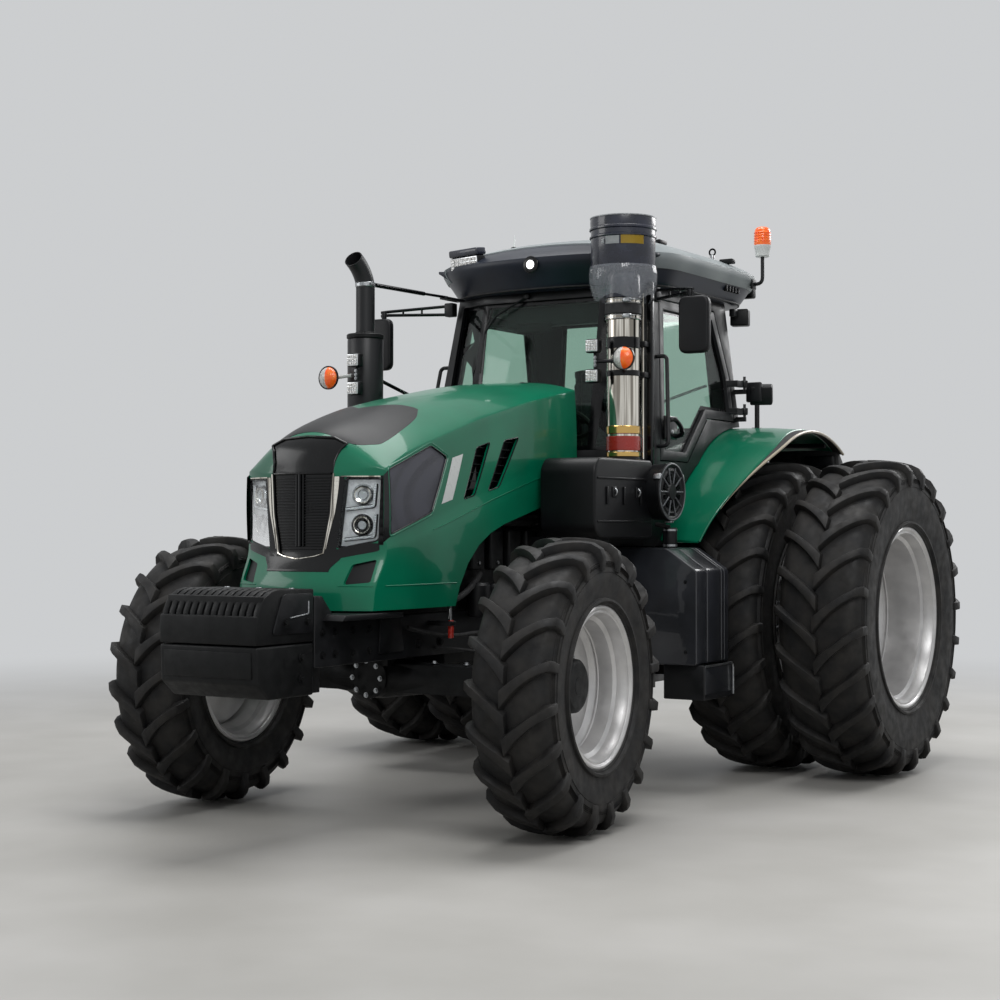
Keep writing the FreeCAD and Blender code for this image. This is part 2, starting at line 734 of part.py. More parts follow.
def front_weights():
    """Slab weights hung side by side, nose rounded, over one deep lower weight."""
    front = from_front(-D.front_reach)
    back = front + D.weight_depth
    low, high = D.weight_split, D.weight_top
    side_view = [
        (front + 18, low),
        (back, low),
        (back, high),
        (front + 150, high),
        (front + 62, high - 22),
        (front + 14, high - 74),
        (front, high - 130),
        (front + 6, low + 60),
    ]
    pitch = D.frame_half * 2 / D.weight_count
    slabs = []
    for i in range(int(float(D.weight_count))):
        start = -D.frame_half + pitch * i
        slabs.append(
            prism(
                f"weight_{i}",
                "X",
                side_view,
                (start + D.weight_spacing_gap / 2, start + pitch - D.weight_spacing_gap / 2),
            )
        )
    spine = block(
        "weight_spine", (-D.frame_half + 8, D.frame_half - 8), (front + 90, back), (low, high - 110)
    )
    lower = [
        (front + 30, low),
        (back, low),
        (back, D.weight_bottom),
        (front + 120, D.weight_bottom),
        (front + 40, D.weight_bottom + 60),
    ]
    base = prism("weight_base", "X", lower, (-D.frame_half + 4, D.frame_half - 4))
    node("front_weights", fused("front_weights", slabs + [spine, base]))


def engine():
    """One plain block at the engine's size, bolted between the rails."""
    half = D.frame_half - 40
    over_axle = from_front(200)
    low = block(
        "sump", (-half, half), (over_axle, from_front(D.gearbox_front)), (D.frame_bottom - 60, D.frame_top)
    )
    front = block(
        "sump_front",
        (-half, half),
        (from_front(D.engine_front), over_axle),
        (D.frame_bottom + 45, D.frame_top),
    )
    high = block(
        "crankcase",
        (-D.engine_half, D.engine_half),
        (from_front(D.engine_front), from_front(D.gearbox_front)),
        (D.frame_top, D.engine_top),
    )
    node("engine", fused("engine", [low, front, high]))


def transmission():
    """Gearbox and rear axle case in one, with trumpets, axle shafts, hitch pins and the take-off stub."""
    back = REAR_Y + D.gearbox_tail
    case = block(
        "case",
        (-D.gearbox_half, D.gearbox_half),
        (from_front(D.gearbox_front), back),
        (D.gearbox_bottom, D.gearbox_top),
    )
    lift_y = REAR_Y + D.hitch_setback
    lift_case = block(
        "lift_case",
        (-D.gearbox_half, D.gearbox_half),
        (REAR_Y + 60, back),
        (D.gearbox_bottom, D.rock_height + 90),
    )
    trumpets, shafts = [], []
    for side, word in SIDES:
        start = D.gearbox_half - 20
        turn = FreeCAD.Rotation(V(0, 1, 0), 90 * side)
        long = rod(f"trumpet_{word}", "X", (0, 0, 0), D.trumpet_end - start, D.trumpet_radius)
        shaft = rod(f"axle_shaft_{word}", "X", (0, 0, 0), D.inner_disc_x - 12 - start, D.axle_radius)
        for piece in (long, shaft):
            piece.Placement = FreeCAD.Placement(V(), turn)
            place(piece, start * side, REAR_Y, REAR_Z)
        trumpets += [long, shaft]
    pin_case = block(
        "pin_case",
        (-D.gearbox_half, D.gearbox_half),
        (lift_y - 70, back),
        (D.link_height - 50, D.gearbox_bottom),
    )
    half = D.hitch_x + D.link_wall / 2 + 26
    pins = rod("link_pins", "X", (-half, lift_y, D.link_height), half * 2, D.link_pin_radius)
    stub = rod("take_off_stub", "Y", (0, back, D.pto_height), 90, D.pto_radius)
    shield = rod("take_off_boss", "Y", (0, back, D.pto_height), 12, D.pto_radius * 2.4)
    tower = [
        block(
            f"tower_{word}",
            sided(34, 62, side),
            (back - 10, back + 96),
            (D.gearbox_top - 230, D.gearbox_top - 30),
        )
        for side, word in SIDES
    ]
    bore = rod(
        "rock_hole",
        "X",
        (-D.gearbox_half - 5, lift_y, D.rock_height),
        D.gearbox_half * 2 + 10,
        D.rock_radius + D.run_gap,
    )
    pieces = [case, lift_case, pin_case, pins, stub, shield] + trumpets + tower
    node("transmission", cut("transmission", fused("transmission_solid", pieces), [bore]))


def hitch():
    """Lift arms on their shaft, lift rods and lower links, drawn as an exact parallelogram."""
    y = REAR_Y + D.hitch_setback
    arms = [rod("rock_shaft", "X", (-D.hitch_x - 25, y, D.rock_height), D.hitch_x * 2 + 50, D.rock_radius)]
    rods, links = [], []
    for side, word in SIDES:
        x = D.hitch_x * side
        inner, outer = x - 22, x + 22
        far = y + D.lift_length
        z = D.rock_height
        shape = [
            (y - 62, z - 50),
            (y + 30, z - 62),
            (far + 8, z - 30),
            (far + 30, z),
            (far + 8, z + 30),
            (y + 30, z + 62),
            (y - 62, z + 50),
        ]
        arms.append(prism(f"lift_arm_{word}", "X", shape, (inner, outer)))
        out = 34 * side
        arms.append(rod(f"arm_pin_{word}", "X", (x - 48, far, z), 96, D.rod_pin_radius))
        # The rod hangs just outboard of the arm and link.
        rod_x = x + out
        width = (rod_x - 11, rod_x + 11)
        low, high = D.link_height, D.rock_height
        bar = block(f"lift_bar_{word}", width, (far - 20, far + 20), (low + 20, high - 20))
        tops, holes = [], []
        for end_word, level in (("top", high), ("low", low)):
            tops.append(rod(f"lift_eye_{end_word}_{word}", "X", (rod_x - 11, far, level), 22, 38))
            bore = D.rod_pin_radius + D.run_gap
            holes.append(rod(f"lift_hole_{end_word}_{word}", "X", (rod_x - 30, far, level), 60, bore))
        rods.append(cut(f"lift_rod_{word}", fused(f"lift_rod_solid_{word}", [bar] + tops), holes))
        half = D.link_wall / 2
        end = y + D.link_length
        bar = block(
            f"link_bar_{word}",
            (x - half * 0.7, x + half * 0.7),
            (y, end),
            (D.link_height - 34, D.link_height + 34),
        )
        eyes = [rod(f"link_eye_{i}_{word}", "X", (x - half, spot, D.link_height), D.link_wall, D.eye_radius)
                for i, spot in enumerate((y, end))]
        pin = rod(f"link_pin_{word}", "X", (x - 48, far, D.link_height), 96, D.rod_pin_radius)
        solid = fused(f"link_solid_{word}", [bar, pin] + eyes)
        front_hole = rod(
            f"link_hole_{word}", "X", (x - 60, y, D.link_height), 120, D.link_pin_radius + D.run_gap
        )
        ball_hole = rod(f"ball_hole_{word}", "X", (x - 60, end, D.link_height), 120, D.ball_radius)
        links.append(cut(f"lower_link_{word}", solid, [front_hole, ball_hole]))
    node("lift_arms", fused("lift_arms", arms))
    node("lift_rods", group("lift_rods", rods))
    node("lower_links", group("lower_links", links))


def drawbar():
    """A flat bar under the rear axle case with a vertical pin hole at its end."""
    start = REAR_Y - 200
    end = REAR_Y + D.drawbar_reach
    bar = block("bar", (-50, 50), (start, end), (D.drawbar_height, D.drawbar_height + 50))
    tip = rod("bar_tip", "Z", (0, end, D.drawbar_height), 50, 50)
    hanger = block(
        "hanger", (-80, 80), (REAR_Y + 60, REAR_Y + 120), (D.drawbar_height - 30, D.gearbox_bottom)
    )
    back_hanger = block(
        "hanger_back", (-80, 80), (start, start + 60), (D.drawbar_height - 20, D.gearbox_bottom)
    )
    hole = rod("bar_hole", "Z", (0, end, D.drawbar_height - 30), 120, D.drawbar_hole)
    node("drawbar", cut("drawbar", fused("drawbar_solid", [bar, tip, hanger, back_hanger]), [hole]))


def top_link():
    """The upper link, raised about its pin at the back of the rear axle case."""
    y = REAR_Y + D.gearbox_tail + 58
    z = D.gearbox_top - 120
    long = D.top_link_length
    tube = rod("link_tube", "Y", (0, 0, 0), long, 24)
    pin = rod("bracket_pin", "X", (-33.7, 0, 0), 67.4, 16)
    foot = rod("link_foot", "X", (-26, 0, 0), 52, 38)
    head = rod("link_head", "X", (-26, long, 0), 52, 38)
    hole = rod("head_hole", "X", (-40, long, 0), 80, 16)
    link = cut("top_link", fused("top_link_solid", [tube, pin, foot, head]), [hole])
    link.Placement = FreeCAD.Placement(V(), FreeCAD.Rotation(V(1, 0, 0), 1))
    bind(link, "Placement.Rotation.Angle", D.top_link_angle)
    node("top_link", place(link, 0, y, z))


# Hood

# Sections from nose to tail: distance behind the foremost point as a share of the length,
# half widths at the foot and crease and on top as shares, heights of crease and crown as shares
HOOD_SECTIONS = [
    (0.000, 0.620, 0.645, 0.36, 0.00, 0.00),
    (0.040, 0.800, 0.830, 0.44, 0.09, 0.21),
    (0.110, 0.925, 0.945, 0.52, 0.15, 0.33),
    (0.250, 0.975, 0.985, 0.58, 0.34, 0.52),
    (0.400, 0.990, 1.000, 0.60, 0.56, 0.66),
    (0.680, 1.000, 1.000, 0.62, 0.83, 0.87),
    (1.000, 1.000, 1.000, 0.64, 1.00, 1.00),
]


def polygon(points):
    return Part.makePolygon(points + points[:1])


def hood_solid(inset):
    """The hood's outer form, or its hollow when inset by the wall."""
    wires = []
    inset = float(inset)
    start, length = float(FRONT_Y - D.hood_nose), float(D.hood_nose + D.hood_tail)
    low, front_top, rear_top = float(D.hood_bottom), float(D.hood_front_top), float(D.hood_rear_top)
    crease_drop, side = 70, float(D.hood_half)
    for i, (along, foot, crease, flat, crease_rise, rise) in enumerate(HOOD_SECTIONS):
        y = start + length * along + (inset if i == 0 else 0)
        y += inset if i == len(HOOD_SECTIONS) - 1 else 0
        crown = front_top + (rear_top - front_top) * rise - inset
        edge = front_top - crease_drop + (rear_top - front_top - 30) * crease_rise - inset
        foot, crease, flat = side * foot - inset, side * crease - inset, side * flat - inset
        half = [(foot, low - inset), (crease, edge), (flat, crown)]
        points = [V(x, y, z) for x, z in half] + [V(-x, y, z) for x, z in reversed(half)]
        wires.append(polygon(points))
    return Part.makeLoft(wires, True, True)


def through(name, axis, outline, low=-3000, high=3000):
    """A long prism of an outline, to cut or keep what lies inside it."""
    return prism(name, axis, outline, (low, high))


def mirrored(outline):
    return [(-a, b) for a, b in reversed(outline)]


def grown(outline, gap):
    """An outline moved outwards by a gap, found from its edges' normals."""
    pairs = [(as_size(a), as_size(b)) for a, b in outline]
    area = sum(
        a.number * d.number - c.number * b.number for (a, b), (c, d) in zip(pairs, pairs[1:] + pairs[:1])
    )
    sign = 1 if area > 0 else -1
    out = []
    for before, here, after in zip(pairs[-1:] + pairs[:-1], pairs, pairs[1:] + pairs[:1]):
        normals = []
        for (a, b), (c, d) in ((before, here), (here, after)):
            length = math.hypot(c.number - a.number, d.number - b.number)
            normals.append(((d.number - b.number) / length * sign, (a.number - c.number) / length * sign))
        (p, q), (r, t) = normals
        scale = float(as_size(gap)) / (1 + p * r + q * t)
        out.append((here[0] + (p + r) * scale, here[1] + (q + t) * scale))
    return out


def hood():
    """The tilting hood: its shell with arches, and the grille, lamps and screens set in its openings."""
    nose = FRONT_Y - D.hood_nose
    front_zone = (nose - 20, nose + 270)
    lamp_back = nose + 185
    shell = cut(
        "hood_skin", shaped("hood_form", hood_solid(0)), [shaped("hood_hollow", hood_solid(D.hood_wall))]
    )
    deep = cut(
        "lamp_skin",
        shaped("lamp_form", hood_solid(0)),
        [shaped("lamp_hollow", hood_solid(D.hood_wall * 3))],
    )
    y, low = FRONT_Y, D.hood_bottom
    arch = [
        (y + 25, low - 60),
        (y + 60, low + 110),
        (y + 235, low + 320),
        (y + 485, low + 425),
        (y + 1020, low + 552),
        (y + 1050, low + 694),
        (y + D.hood_tail + 20, low + 744),
        (y + D.hood_tail + 20, low - 60),
    ]
    grille_outline = [
        (-142, low + 150),
        (142, low + 150),
        (215, low + 262),
        (250, low + 640),
        (170, low + 745),
        (-170, low + 745),
        (-250, low + 640),
        (-215, low + 262),
    ]
    lamp_outline = [(262, low + 310), (440, low + 342), (440, low + 655), (268, low + 655)]
    screen_outline = [
        (y - 560, low + 707),
        (y - 189, low + 830),
        (y - 41, low + 779),
        (y - 189, low + 482),
        (y - 540, low + 385),
    ]
    vents = [
        [(y + 101, low + 581), (y + 198, low + 606), (y + 347, low + 866), (y + 227, low + 834)],
        [(y + 300, low + 632), (y + 407, low + 660), (y + 614, low + 935), (y + 470, low + 906)],
    ]
    cutters = [
        through("hood_arch", "X", arch),
        through("grille_hole", "Y", grown(grille_outline, D.seat_gap), *front_zone),
    ]
    pieces = {}
    grille_zone = through("grille_zone", "Y", grille_outline, *front_zone)
    pieces["grille"] = common(
        "grille",
        cut(
            "grille_skin",
            shaped("grille_form", hood_solid(0)),
            [shaped("grille_hollow", hood_solid(D.hood_wall))],
        ),
        grille_zone,
    )
    lamps, screens = [], []
    for side, word in SIDES:
        outline = lamp_outline if side == LEFT else mirrored(lamp_outline)
        cutters.append(
            through(
                f"lamp_hole_{word}", "Y", grown(outline, D.seat_gap), front_zone[0], lamp_back + D.seat_gap
            )
        )
        lamps.append(through(f"lamp_zone_{word}", "Y", outline, front_zone[0], lamp_back))
        span = sided(300, 600, side)
        cutters.append(through(f"screen_hole_{word}", "X", grown(screen_outline, D.seat_gap), *span))
        screens.append(through(f"screen_zone_{word}", "X", screen_outline, *span))
        for i, vent in enumerate(vents):
            cutters.append(through(f"vent_{i}_{word}", "X", vent, *span))
    pieces["headlamps"] = common("headlamps", deep, fused("lamp_zones", lamps))
    thin = cut(
        "screen_skin", shaped("screen_form", hood_solid(4)), [shaped("screen_hollow", hood_solid(16))]
    )
    pieces["side_screens"] = common("side_screens", thin, fused("screen_zones", screens))
    for label, piece in pieces.items():
        node(label, piece)
    hinge_z = D.hood_rear_top - D.hinge_drop
    tail = y + D.hood_tail
    ear_levels = (hinge_z - 24, D.hood_rear_top - 12)
    ears = [
        block(f"hinge_ear_{word}", sided(140, 170, side), (tail - 110, tail + 22), ear_levels)
        for side, word in SIDES
    ]
    holes = [
        rod(f"hinge_hole_{word}", "X", (120 if side == LEFT else -190, tail, hinge_z), 70, 8 + D.run_gap)
        for side, word in SIDES
    ]
    node("hood_shell", cut("hood_shell", fused("hood_with_ears", [shell] + ears), cutters + holes))


def firewall():
    """The post between engine and cab that the hood hinges on."""
    y = FRONT_Y + D.hood_tail
    z = D.hood_rear_top - D.hinge_drop
    posts = [
        block(
            f"firewall_{word}",
            sided(180, 215, side),
            (y - 22, y + 26),
            (D.engine_top, z + 12),
        )
        for side, word in SIDES
    ]
    pin = rod("hood_pin", "X", (-200, y, z), 400, 8)
    foot = block(
        "firewall_foot",
        (-D.engine_half, D.engine_half),
        (FRONT_Y + D.gearbox_front - 100, y + 26),
        (D.engine_top + D.seat_gap, D.engine_top + 40),
    )
    brace = block("firewall_plate", (-215, 215), (y + 6, y + 26), (D.engine_top, z - 60))
    node("hood_hinge_post", fused("hood_hinge_post", posts + [pin, foot, brace]))


# Cab


def cab_solid(inset):
    """The cab's outer form between floor and roof, or its hollow when inset."""
    inset = float(inset)
    bow, nose, corner = float(D.cab_bow), float(D.cab_nose_half), float(D.cab_corner)
    floor, sill, head = float(D.floor_height), float(D.sill_height), float(D.head_height)
    back = float(from_front(D.cab_back))
    levels = [
        (floor - (1 if inset else 0), float(from_front(D.cab_front)) + 40, back - 60, float(D.tub_half)),
        (sill, float(from_front(D.cab_front)), back, float(D.cab_half)),
        (
            head + (1 if inset else 0),
            float(from_front(D.cab_front_head)),
            back - float(D.cab_lean),
            float(D.cab_half_head),
        ),
    ]
    wires = []
    for z, front, rear, half in levels:
        front, rear, half = front + inset, rear - inset, half - inset
        plan = [(nose, front), (half, front + bow), (half, rear - corner), (half - corner, rear)]
        wires.append(polygon([V(a, b, z) for a, b in plan] + [V(-a, b, z) for a, b in reversed(plan)]))
    return Part.makeLoft(wires, True, True)


def door_outline():
    """The door seen from the side: a dropped front corner, then over the fender to the hinges."""
    front, back = from_front(D.cab_front + D.cab_bow + D.post_width), from_front(D.cab_back)
    sill, head = D.sill_height, D.head_height
    tall = head - sill
    lean = D.cab_front_head - D.cab_front
    return [
        (front, sill),
        (front + 360, sill),
        (front + 700, sill + tall * 0.27),
        (back - 150, sill + tall * 0.27),
        (back - 160, sill + tall * 0.54),
        (back - 300, head - D.post_width),
        (front + lean, head - D.post_width),
    ]


def shell_between(name, outer, inner):
    return cut(name, shaped(name + "_form", cab_solid(outer)), [shaped(name + "_hollow", cab_solid(inner))])


DOOR_HEIGHT = D.head_height - D.sill_height
HINGE_LEVELS = (D.sill_height + DOOR_HEIGHT * 0.31, D.sill_height + DOOR_HEIGHT * 0.48)


def cab():
    """The hollow cab: frame with floor, fixed glass, and a rear-hinged door on each side."""
    door = door_outline()
    pane = grown(door, -D.door_frame)
    sill, head = D.sill_height, D.head_height
    nose = D.cab_nose_half
    shield = [
        (-nose - 300, sill + 60), (nose + 300, sill + 60), (nose + 215, head - 50), (-nose - 215, head - 50)
    ]
    back_pane = [
        (-nose - 170, sill + 230),
        (nose + 170, sill + 230),
        (nose + 110, head - 60),
        (-nose - 110, head - 60),
    ]
    y_front, y_back = (float(from_front(1300)), float(from_front(2150))), (
        float(from_front(2650)), float(from_front(3100))
    )
    middle = D.cab_wall / 2 - D.glass_wall / 2
    hinge_y, hinge_x = from_front(D.cab_back - 100), D.cab_half + 22
    door_back = from_front(D.cab_back - 170)
    windows = [
        through("shield_hole", "Y", grown(shield, D.seat_gap), *y_front),
        through("back_hole", "Y", grown(back_pane, D.seat_gap), *y_back),
    ]
    arch = []
    for side, word in SIDES:
        span = sided(500, 1500, side)
        windows.append(through(f"door_hole_{word}", "X", grown(door, D.move_gap), *span))
        arch_x = D.tub_half if side == LEFT else -D.tub_half - 800
        arch.append(
            rod(
                f"cab_arch_{word}",
                "X",
                (arch_x, REAR_Y, FENDER_Z),
                800,
                D.fender_radius + D.fender_wall + D.arch_gap,
            )
        )
        door_zone = cut(
            f"door_over_arch_{word}", through(f"door_zone_{word}", "X", door, *span), [arch[-1]]
        )
        pane_hole = through(f"pane_hole_{word}", "X", grown(pane, D.seat_gap), *span)
        pane_zone = cut(
            f"pane_over_arch_{word}", through(f"pane_zone_{word}", "X", pane, *span), [arch[-1]]
        )
        skin = shell_between(f"door_skin_{word}", 0, D.cab_wall)
        thin = shell_between(f"door_thin_{word}", middle, middle + D.glass_wall)
        arms = []
        for i, level in enumerate(HINGE_LEVELS):
            spot = (hinge_x * side, hinge_y, level)
            arms.append(rod(f"door_eye_{i}_{word}", "Z", spot, 40, 20))
            arms.append(
                block(
                    f"door_arm_{i}_{word}",
                    sided(hinge_x - 34, hinge_x, side),
                    (hinge_y - 110, hinge_y),
                    (level, level + 40),
                )
            )
            arms.append(
                block(
                    f"door_root_{i}_{word}",
                    sided(hinge_x - 100, hinge_x, side),
                    (hinge_y - 110, door_back - 8),
                    (level, level + 40),
                )
            )
        holes = [
            rod(f"door_pin_hole_{i}_{word}", "Z", (hinge_x * side, hinge_y, level - 20), 80, 9 + D.run_gap)
            for i, level in enumerate(HINGE_LEVELS)
        ]
        frame = common(f"door_ring_{word}", skin, door_zone)
        node(
            f"door_{word}",
            cut(f"door_{word}", fused(f"door_solid_{word}", [frame] + arms), [pane_hole] + holes),
        )
        node(f"door_glass_{word}", common(f"door_glass_{word}", thin, pane_zone))
    slab = block(
        "floor_slab",
        (-900, 900),
        (from_front(D.cab_front), from_front(D.cab_back)),
        (D.floor_height, D.floor_height + D.floor_wall),
    )
    floor = common("cab_floor", shaped("floor_form", cab_solid(0)), slab)
    walls = cut("cab_walls", shell_between("cab_skin", 0, D.cab_wall), windows)
    shell = cut("cab_shell", fused("cab_tub", [walls, floor]), arch)
    pins = []
    for side, word in SIDES:
        for i, level in enumerate(HINGE_LEVELS):
            pins.append(rod(f"door_pin_{i}_{word}", "Z", (hinge_x * side, hinge_y, level - 30), 100, 9))
            lug = sided(D.cab_half - 100, hinge_x + 9, side)
            pins.append(
                block(f"pin_lug_{i}_{word}", lug, (hinge_y - 9, hinge_y + 9), (level - 42, level - 12))
            )
    node("cab_frame", fused("cab_frame", [shell] + pins))
    panes = fused(
        "pane_zones",
        [through("shield_zone", "Y", shield, *y_front), through("back_zone", "Y", back_pane, *y_back)],
    )
    node(
        "cab_windows",
        common("cab_windows", shell_between("window_skin", middle, middle + D.glass_wall), panes),
    )


ROOF_PLAN = [(0.0, 0.0), (0.45, 0.1), (0.85, 0.62), (1.0, 1.0)]


def roof():
    """The roof cap, swept back at its front corners and rounded on top."""
    half, front, back = float(D.roof_half), float(from_front(D.roof_front)), float(from_front(D.roof_back))
    sweep, low, rise = float(D.roof_sweep), float(D.head_height + D.seat_gap), float(D.roof_height)
    wires = []
    for level, inset in ((0, 70), (0.22, 0), (0.58, 0), (0.8, 70), (0.95, 190), (1.0, 330)):
        side = [
            V(half * a - inset * a, front + inset + sweep * b, low + rise * level) for a, b in ROOF_PLAN
        ]
        side += [
            V(half - inset, back - 240 - inset * 0.4, low + rise * level),
            V(half * 0.84 - inset, back - inset, low + rise * level),
        ]
        wires.append(polygon(side + [V(-p.x, p.y, p.z) for p in reversed(side[1:])]))
    node("cab_roof", shaped("cab_roof", Part.makeLoft(wires, True, True)))


def cab_inside():
    """Seat on its base, and the steering column with its wheel."""
    floor = D.floor_height + D.floor_wall + D.seat_gap
    y = from_front(2330)
    foot = block("seat_foot", (-190, 190), (y - 180, y + 180), (floor, floor + 60))
    riser = block("seat_riser", (-130, 130), (y - 130, y + 130), (floor + 60, floor + 330))
    tray = block("seat_tray", (-230, 230), (y - 230, y + 230), (floor + 330, floor + 365))
    upright = block("seat_upright", (-180, 180), (y + 200, y + 230), (floor + 365, floor + 640))
    node("seat_base", fused("seat_base", [foot, riser, tray, upright]))
    node(
        "seat_cushion",
        block("seat_cushion", (-245, 245), (y - 245, y + 199.7), (floor + 365.3, floor + 480)),
    )
    back_height = (D.head_height - D.floor_height) * 0.418
    back_low = floor + 480 + D.seat_gap
    node(
        "seat_back",
        block("seat_back", (-240, 240), (y + 88, y + 199.4), (back_low, back_low + back_height)),
    )
    column_y = from_front(D.cab_front + 285)
    column = prism(
        "column",
        "X",
        [
            (column_y - 90, floor),
            (column_y + 60, floor),
            (column_y + 130, floor + 640),
            (column_y, floor + 700),
        ],
        (-75, 75),
    )
    stem = rod("steering_stem", "Z", (0, 0, 0), 110, 20)
    ring = doc.addObject("Part::Torus", "steering_ring")
    ring.Radius1, ring.Radius2 = 195, 15
    ring.Placement = FreeCAD.Placement(V(0, 0, 100), FreeCAD.Rotation())
    bars = [
        block("wheel_bar", (-190, 190), (-16, 16), (88, 104)),
        block("wheel_spoke", (-16, 16), (-190, 0), (88, 104)),
    ]
    wheel = fused("steering_wheel", [stem, ring] + bars)
    wheel.Placement = FreeCAD.Placement(V(), FreeCAD.Rotation(V(1, 0, 0), -28))
    place(wheel, 0, column_y + 60, floor + 640)
    node("steering_column", fused("steering_column", [column, wheel]))


# Sides


def fenders():
    """Rear fenders over the inner wheels, each with the flat inboard wall that closes the cab's arch."""
    inner_x = D.tub_half + D.seat_gap
    reach = D.fender_radius + D.fender_wall
    for side, word in SIDES:
        ring = [
            (inner_x, D.fender_radius),
            (inner_x, reach),
            (D.fender_outer, reach),
            (D.fender_outer, D.fender_radius),
        ]
        plate = [
            (inner_x, D.skirt_radius),
            (inner_x, reach),
            (inner_x + 14, reach),
            (inner_x + 14, D.skirt_radius),
        ]
        rings = [place(turned(f"{kind}_{word}", [(a * side, r) for a, r in shape]), 0, REAR_Y, FENDER_Z)
                 for kind, shape in (("fender_ring", ring), ("fender_plate", plate))]
        whole = fused(f"fender_full_{word}", rings)
        far = 2000
        turn = [D.fender_front_angle, D.fender_back_angle]
        front, back = [(REAR_Y + far * cosine(a), FENDER_Z + far * sine(a)) for a in turn]
        wedge = through(
            f"fender_wedge_{word}", "X", [(REAR_Y, FENDER_Z), back, (REAR_Y, FENDER_Z + far * 1.4), front]
        )
        tip = REAR_Y + reach * cosine(D.fender_front_angle)
        plan = [
            (inner_x - 5, tip - 60),
            (D.fender_tip, tip - 60),
            (D.fender_tip, tip),
            (D.fender_outer, tip + 460),
            (D.fender_outer, REAR_Y + reach),
            (inner_x - 5, REAR_Y + reach),
        ]
        plan = plan if side == LEFT else mirrored(plan)
        piece = common(
            f"fender_arc_{word}",
            common(f"fender_cut_{word}", whole, wedge),
            through(f"fender_plan_{word}", "Z", plan, 500, 3000),
        )
        node(f"fender_{word}", piece)


def side_tanks():
    """Fuel tank and steps at the left, battery box and steps at the right, on brackets from the gearbox."""
    front, back = from_front(D.tank_front), from_front(D.tank_back)
    outer, inner = D.tank_outer, D.gearbox_half + 250
    shape = [
        (inner, D.tank_bottom),
        (outer, D.tank_bottom),
        (outer, D.tank_shoulder),
        (outer - 190, D.tank_top),
        (inner + 90, D.tank_top),
        (inner, D.tank_top - 130),
    ]
    steps = []
    for side, word in SIDES:
        label = "fuel_tank" if side == LEFT else "battery_box"
        outline = shape if side == LEFT else mirrored(shape)
        body = prism(f"tank_{word}", "Y", outline, (front, back))
        span = sided(D.gearbox_half + D.seat_gap, inner + 20, side)
        beam_levels = (D.gearbox_bottom + 90, D.gearbox_bottom + 170)
        beams = [
            block(f"tank_beam_{i}_{word}", span, (at, at + 60), beam_levels)
            for i, at in enumerate((front + 50, back - 110))
        ]
        node(label, fused(label, [body] + beams))
        step_in, step_out = outer - 230, outer + 30
        xs = sided(step_in, step_out, side)
        treads = [block(f"tread_{word}", xs, (front + 40, back), (D.step_bottom, D.step_bottom + 35))]
        for i, at in enumerate((front + 40, back - 14)):
            treads.append(
                block(
                    f"step_cheek_{i}_{word}", xs, (at, at + 14), (D.step_bottom, D.tank_bottom - D.seat_gap)
                )
            )
        steps.append(fused(f"steps_{word}", treads))
    node("steps", group("steps", steps))


def intake():
    """Air box, filter canister, chrome intake stack and the precleaner on top."""
    x, y = D.stack_x, from_front(D.intake_y)
    low, high = D.airbox_bottom, D.airbox_top
    box = block(
        "air_case",
        (D.airbox_inner, D.airbox_outer),
        (from_front(D.airbox_front), from_front(D.airbox_back)),
        (low, high),
    )
    shelf = block(
        "air_shelf",
        (D.engine_half + D.seat_gap, D.airbox_outer - 80),
        (from_front(D.airbox_front + 160), from_front(D.gearbox_front - 60)),
        (low - 60, low + 10),
    )
    can_x = D.cab_half + 25
    can = rod(
        "canister",
        "X",
        (can_x, from_front(D.canister_y), D.airbox_top - 183),
        D.canister_end - can_x,
        D.canister_radius,
    )
    link = block(
        "canister_neck",
        (can_x, D.airbox_outer),
        (from_front(D.airbox_back - 60), from_front(D.canister_y)),
        (high - 260, high - 90),
    )
    node("air_box", fused("air_box", [box, shelf, can, link]))
    start = high + D.seat_gap
    tube = [
        (D.intake_radius - D.pipe_wall, start),
        (D.intake_radius + 8, start),
        (D.intake_radius + 8, start + 150),
        (D.intake_radius, start + 150),
        (D.intake_radius, D.precleaner_bottom - D.seat_gap),
        (D.intake_radius - D.pipe_wall, D.precleaner_bottom - D.seat_gap),
    ]
    node("intake_pipe", place(turned("intake_pipe", tube, "Z"), x, y, 0))
    r = D.precleaner_radius
    bowl = [
        (0, D.precleaner_bottom),
        (D.intake_radius + 20, D.precleaner_bottom),
        (r - 12, D.precleaner_bottom + 190),
        (r - 6, D.precleaner_bottom + 200),
        (r, D.precleaner_bottom + 215),
        (r, D.precleaner_top - 22),
        (r - 18, D.precleaner_top),
        (0, D.precleaner_top),
    ]
    node("precleaner", place(turned("precleaner", bowl, "Z"), x, y, 0))


def swept(name, points, radius, bend, wall=0):
    """A round bar or pipe along straight runs joined by arcs of one bend radius."""
    points = [V(*(float(c) for c in p)) for p in points]
    edges, start = [], points[0]
    for before, here, after in zip(points, points[1:], points[2:]):
        a, b = (before - here).normalize(), (after - here).normalize()
        half = a.getAngle(b) / 2
        back = bend / math.tan(half)
        first, last = here + a * back, here + b * back
        middle = here + (a + b).normalize() * (bend / math.sin(half) - bend)
        edges += [Part.LineSegment(start, first).toShape(), Part.Arc(first, middle, last).toShape()]
        start = last
    edges.append(Part.LineSegment(start, points[-1]).toShape())
    path = Part.Wire(edges)
    facing = points[1] - points[0]
    solids = []
    for r in (radius, radius - wall)[: 2 if wall else 1]:
        ring = Part.Wire(Part.Circle(points[0], facing, float(r)).toShape())
        solids.append(path.makePipeShell([ring], True, True))
    return shaped(name, solids[0].cut(solids[1]) if wall else solids[0])


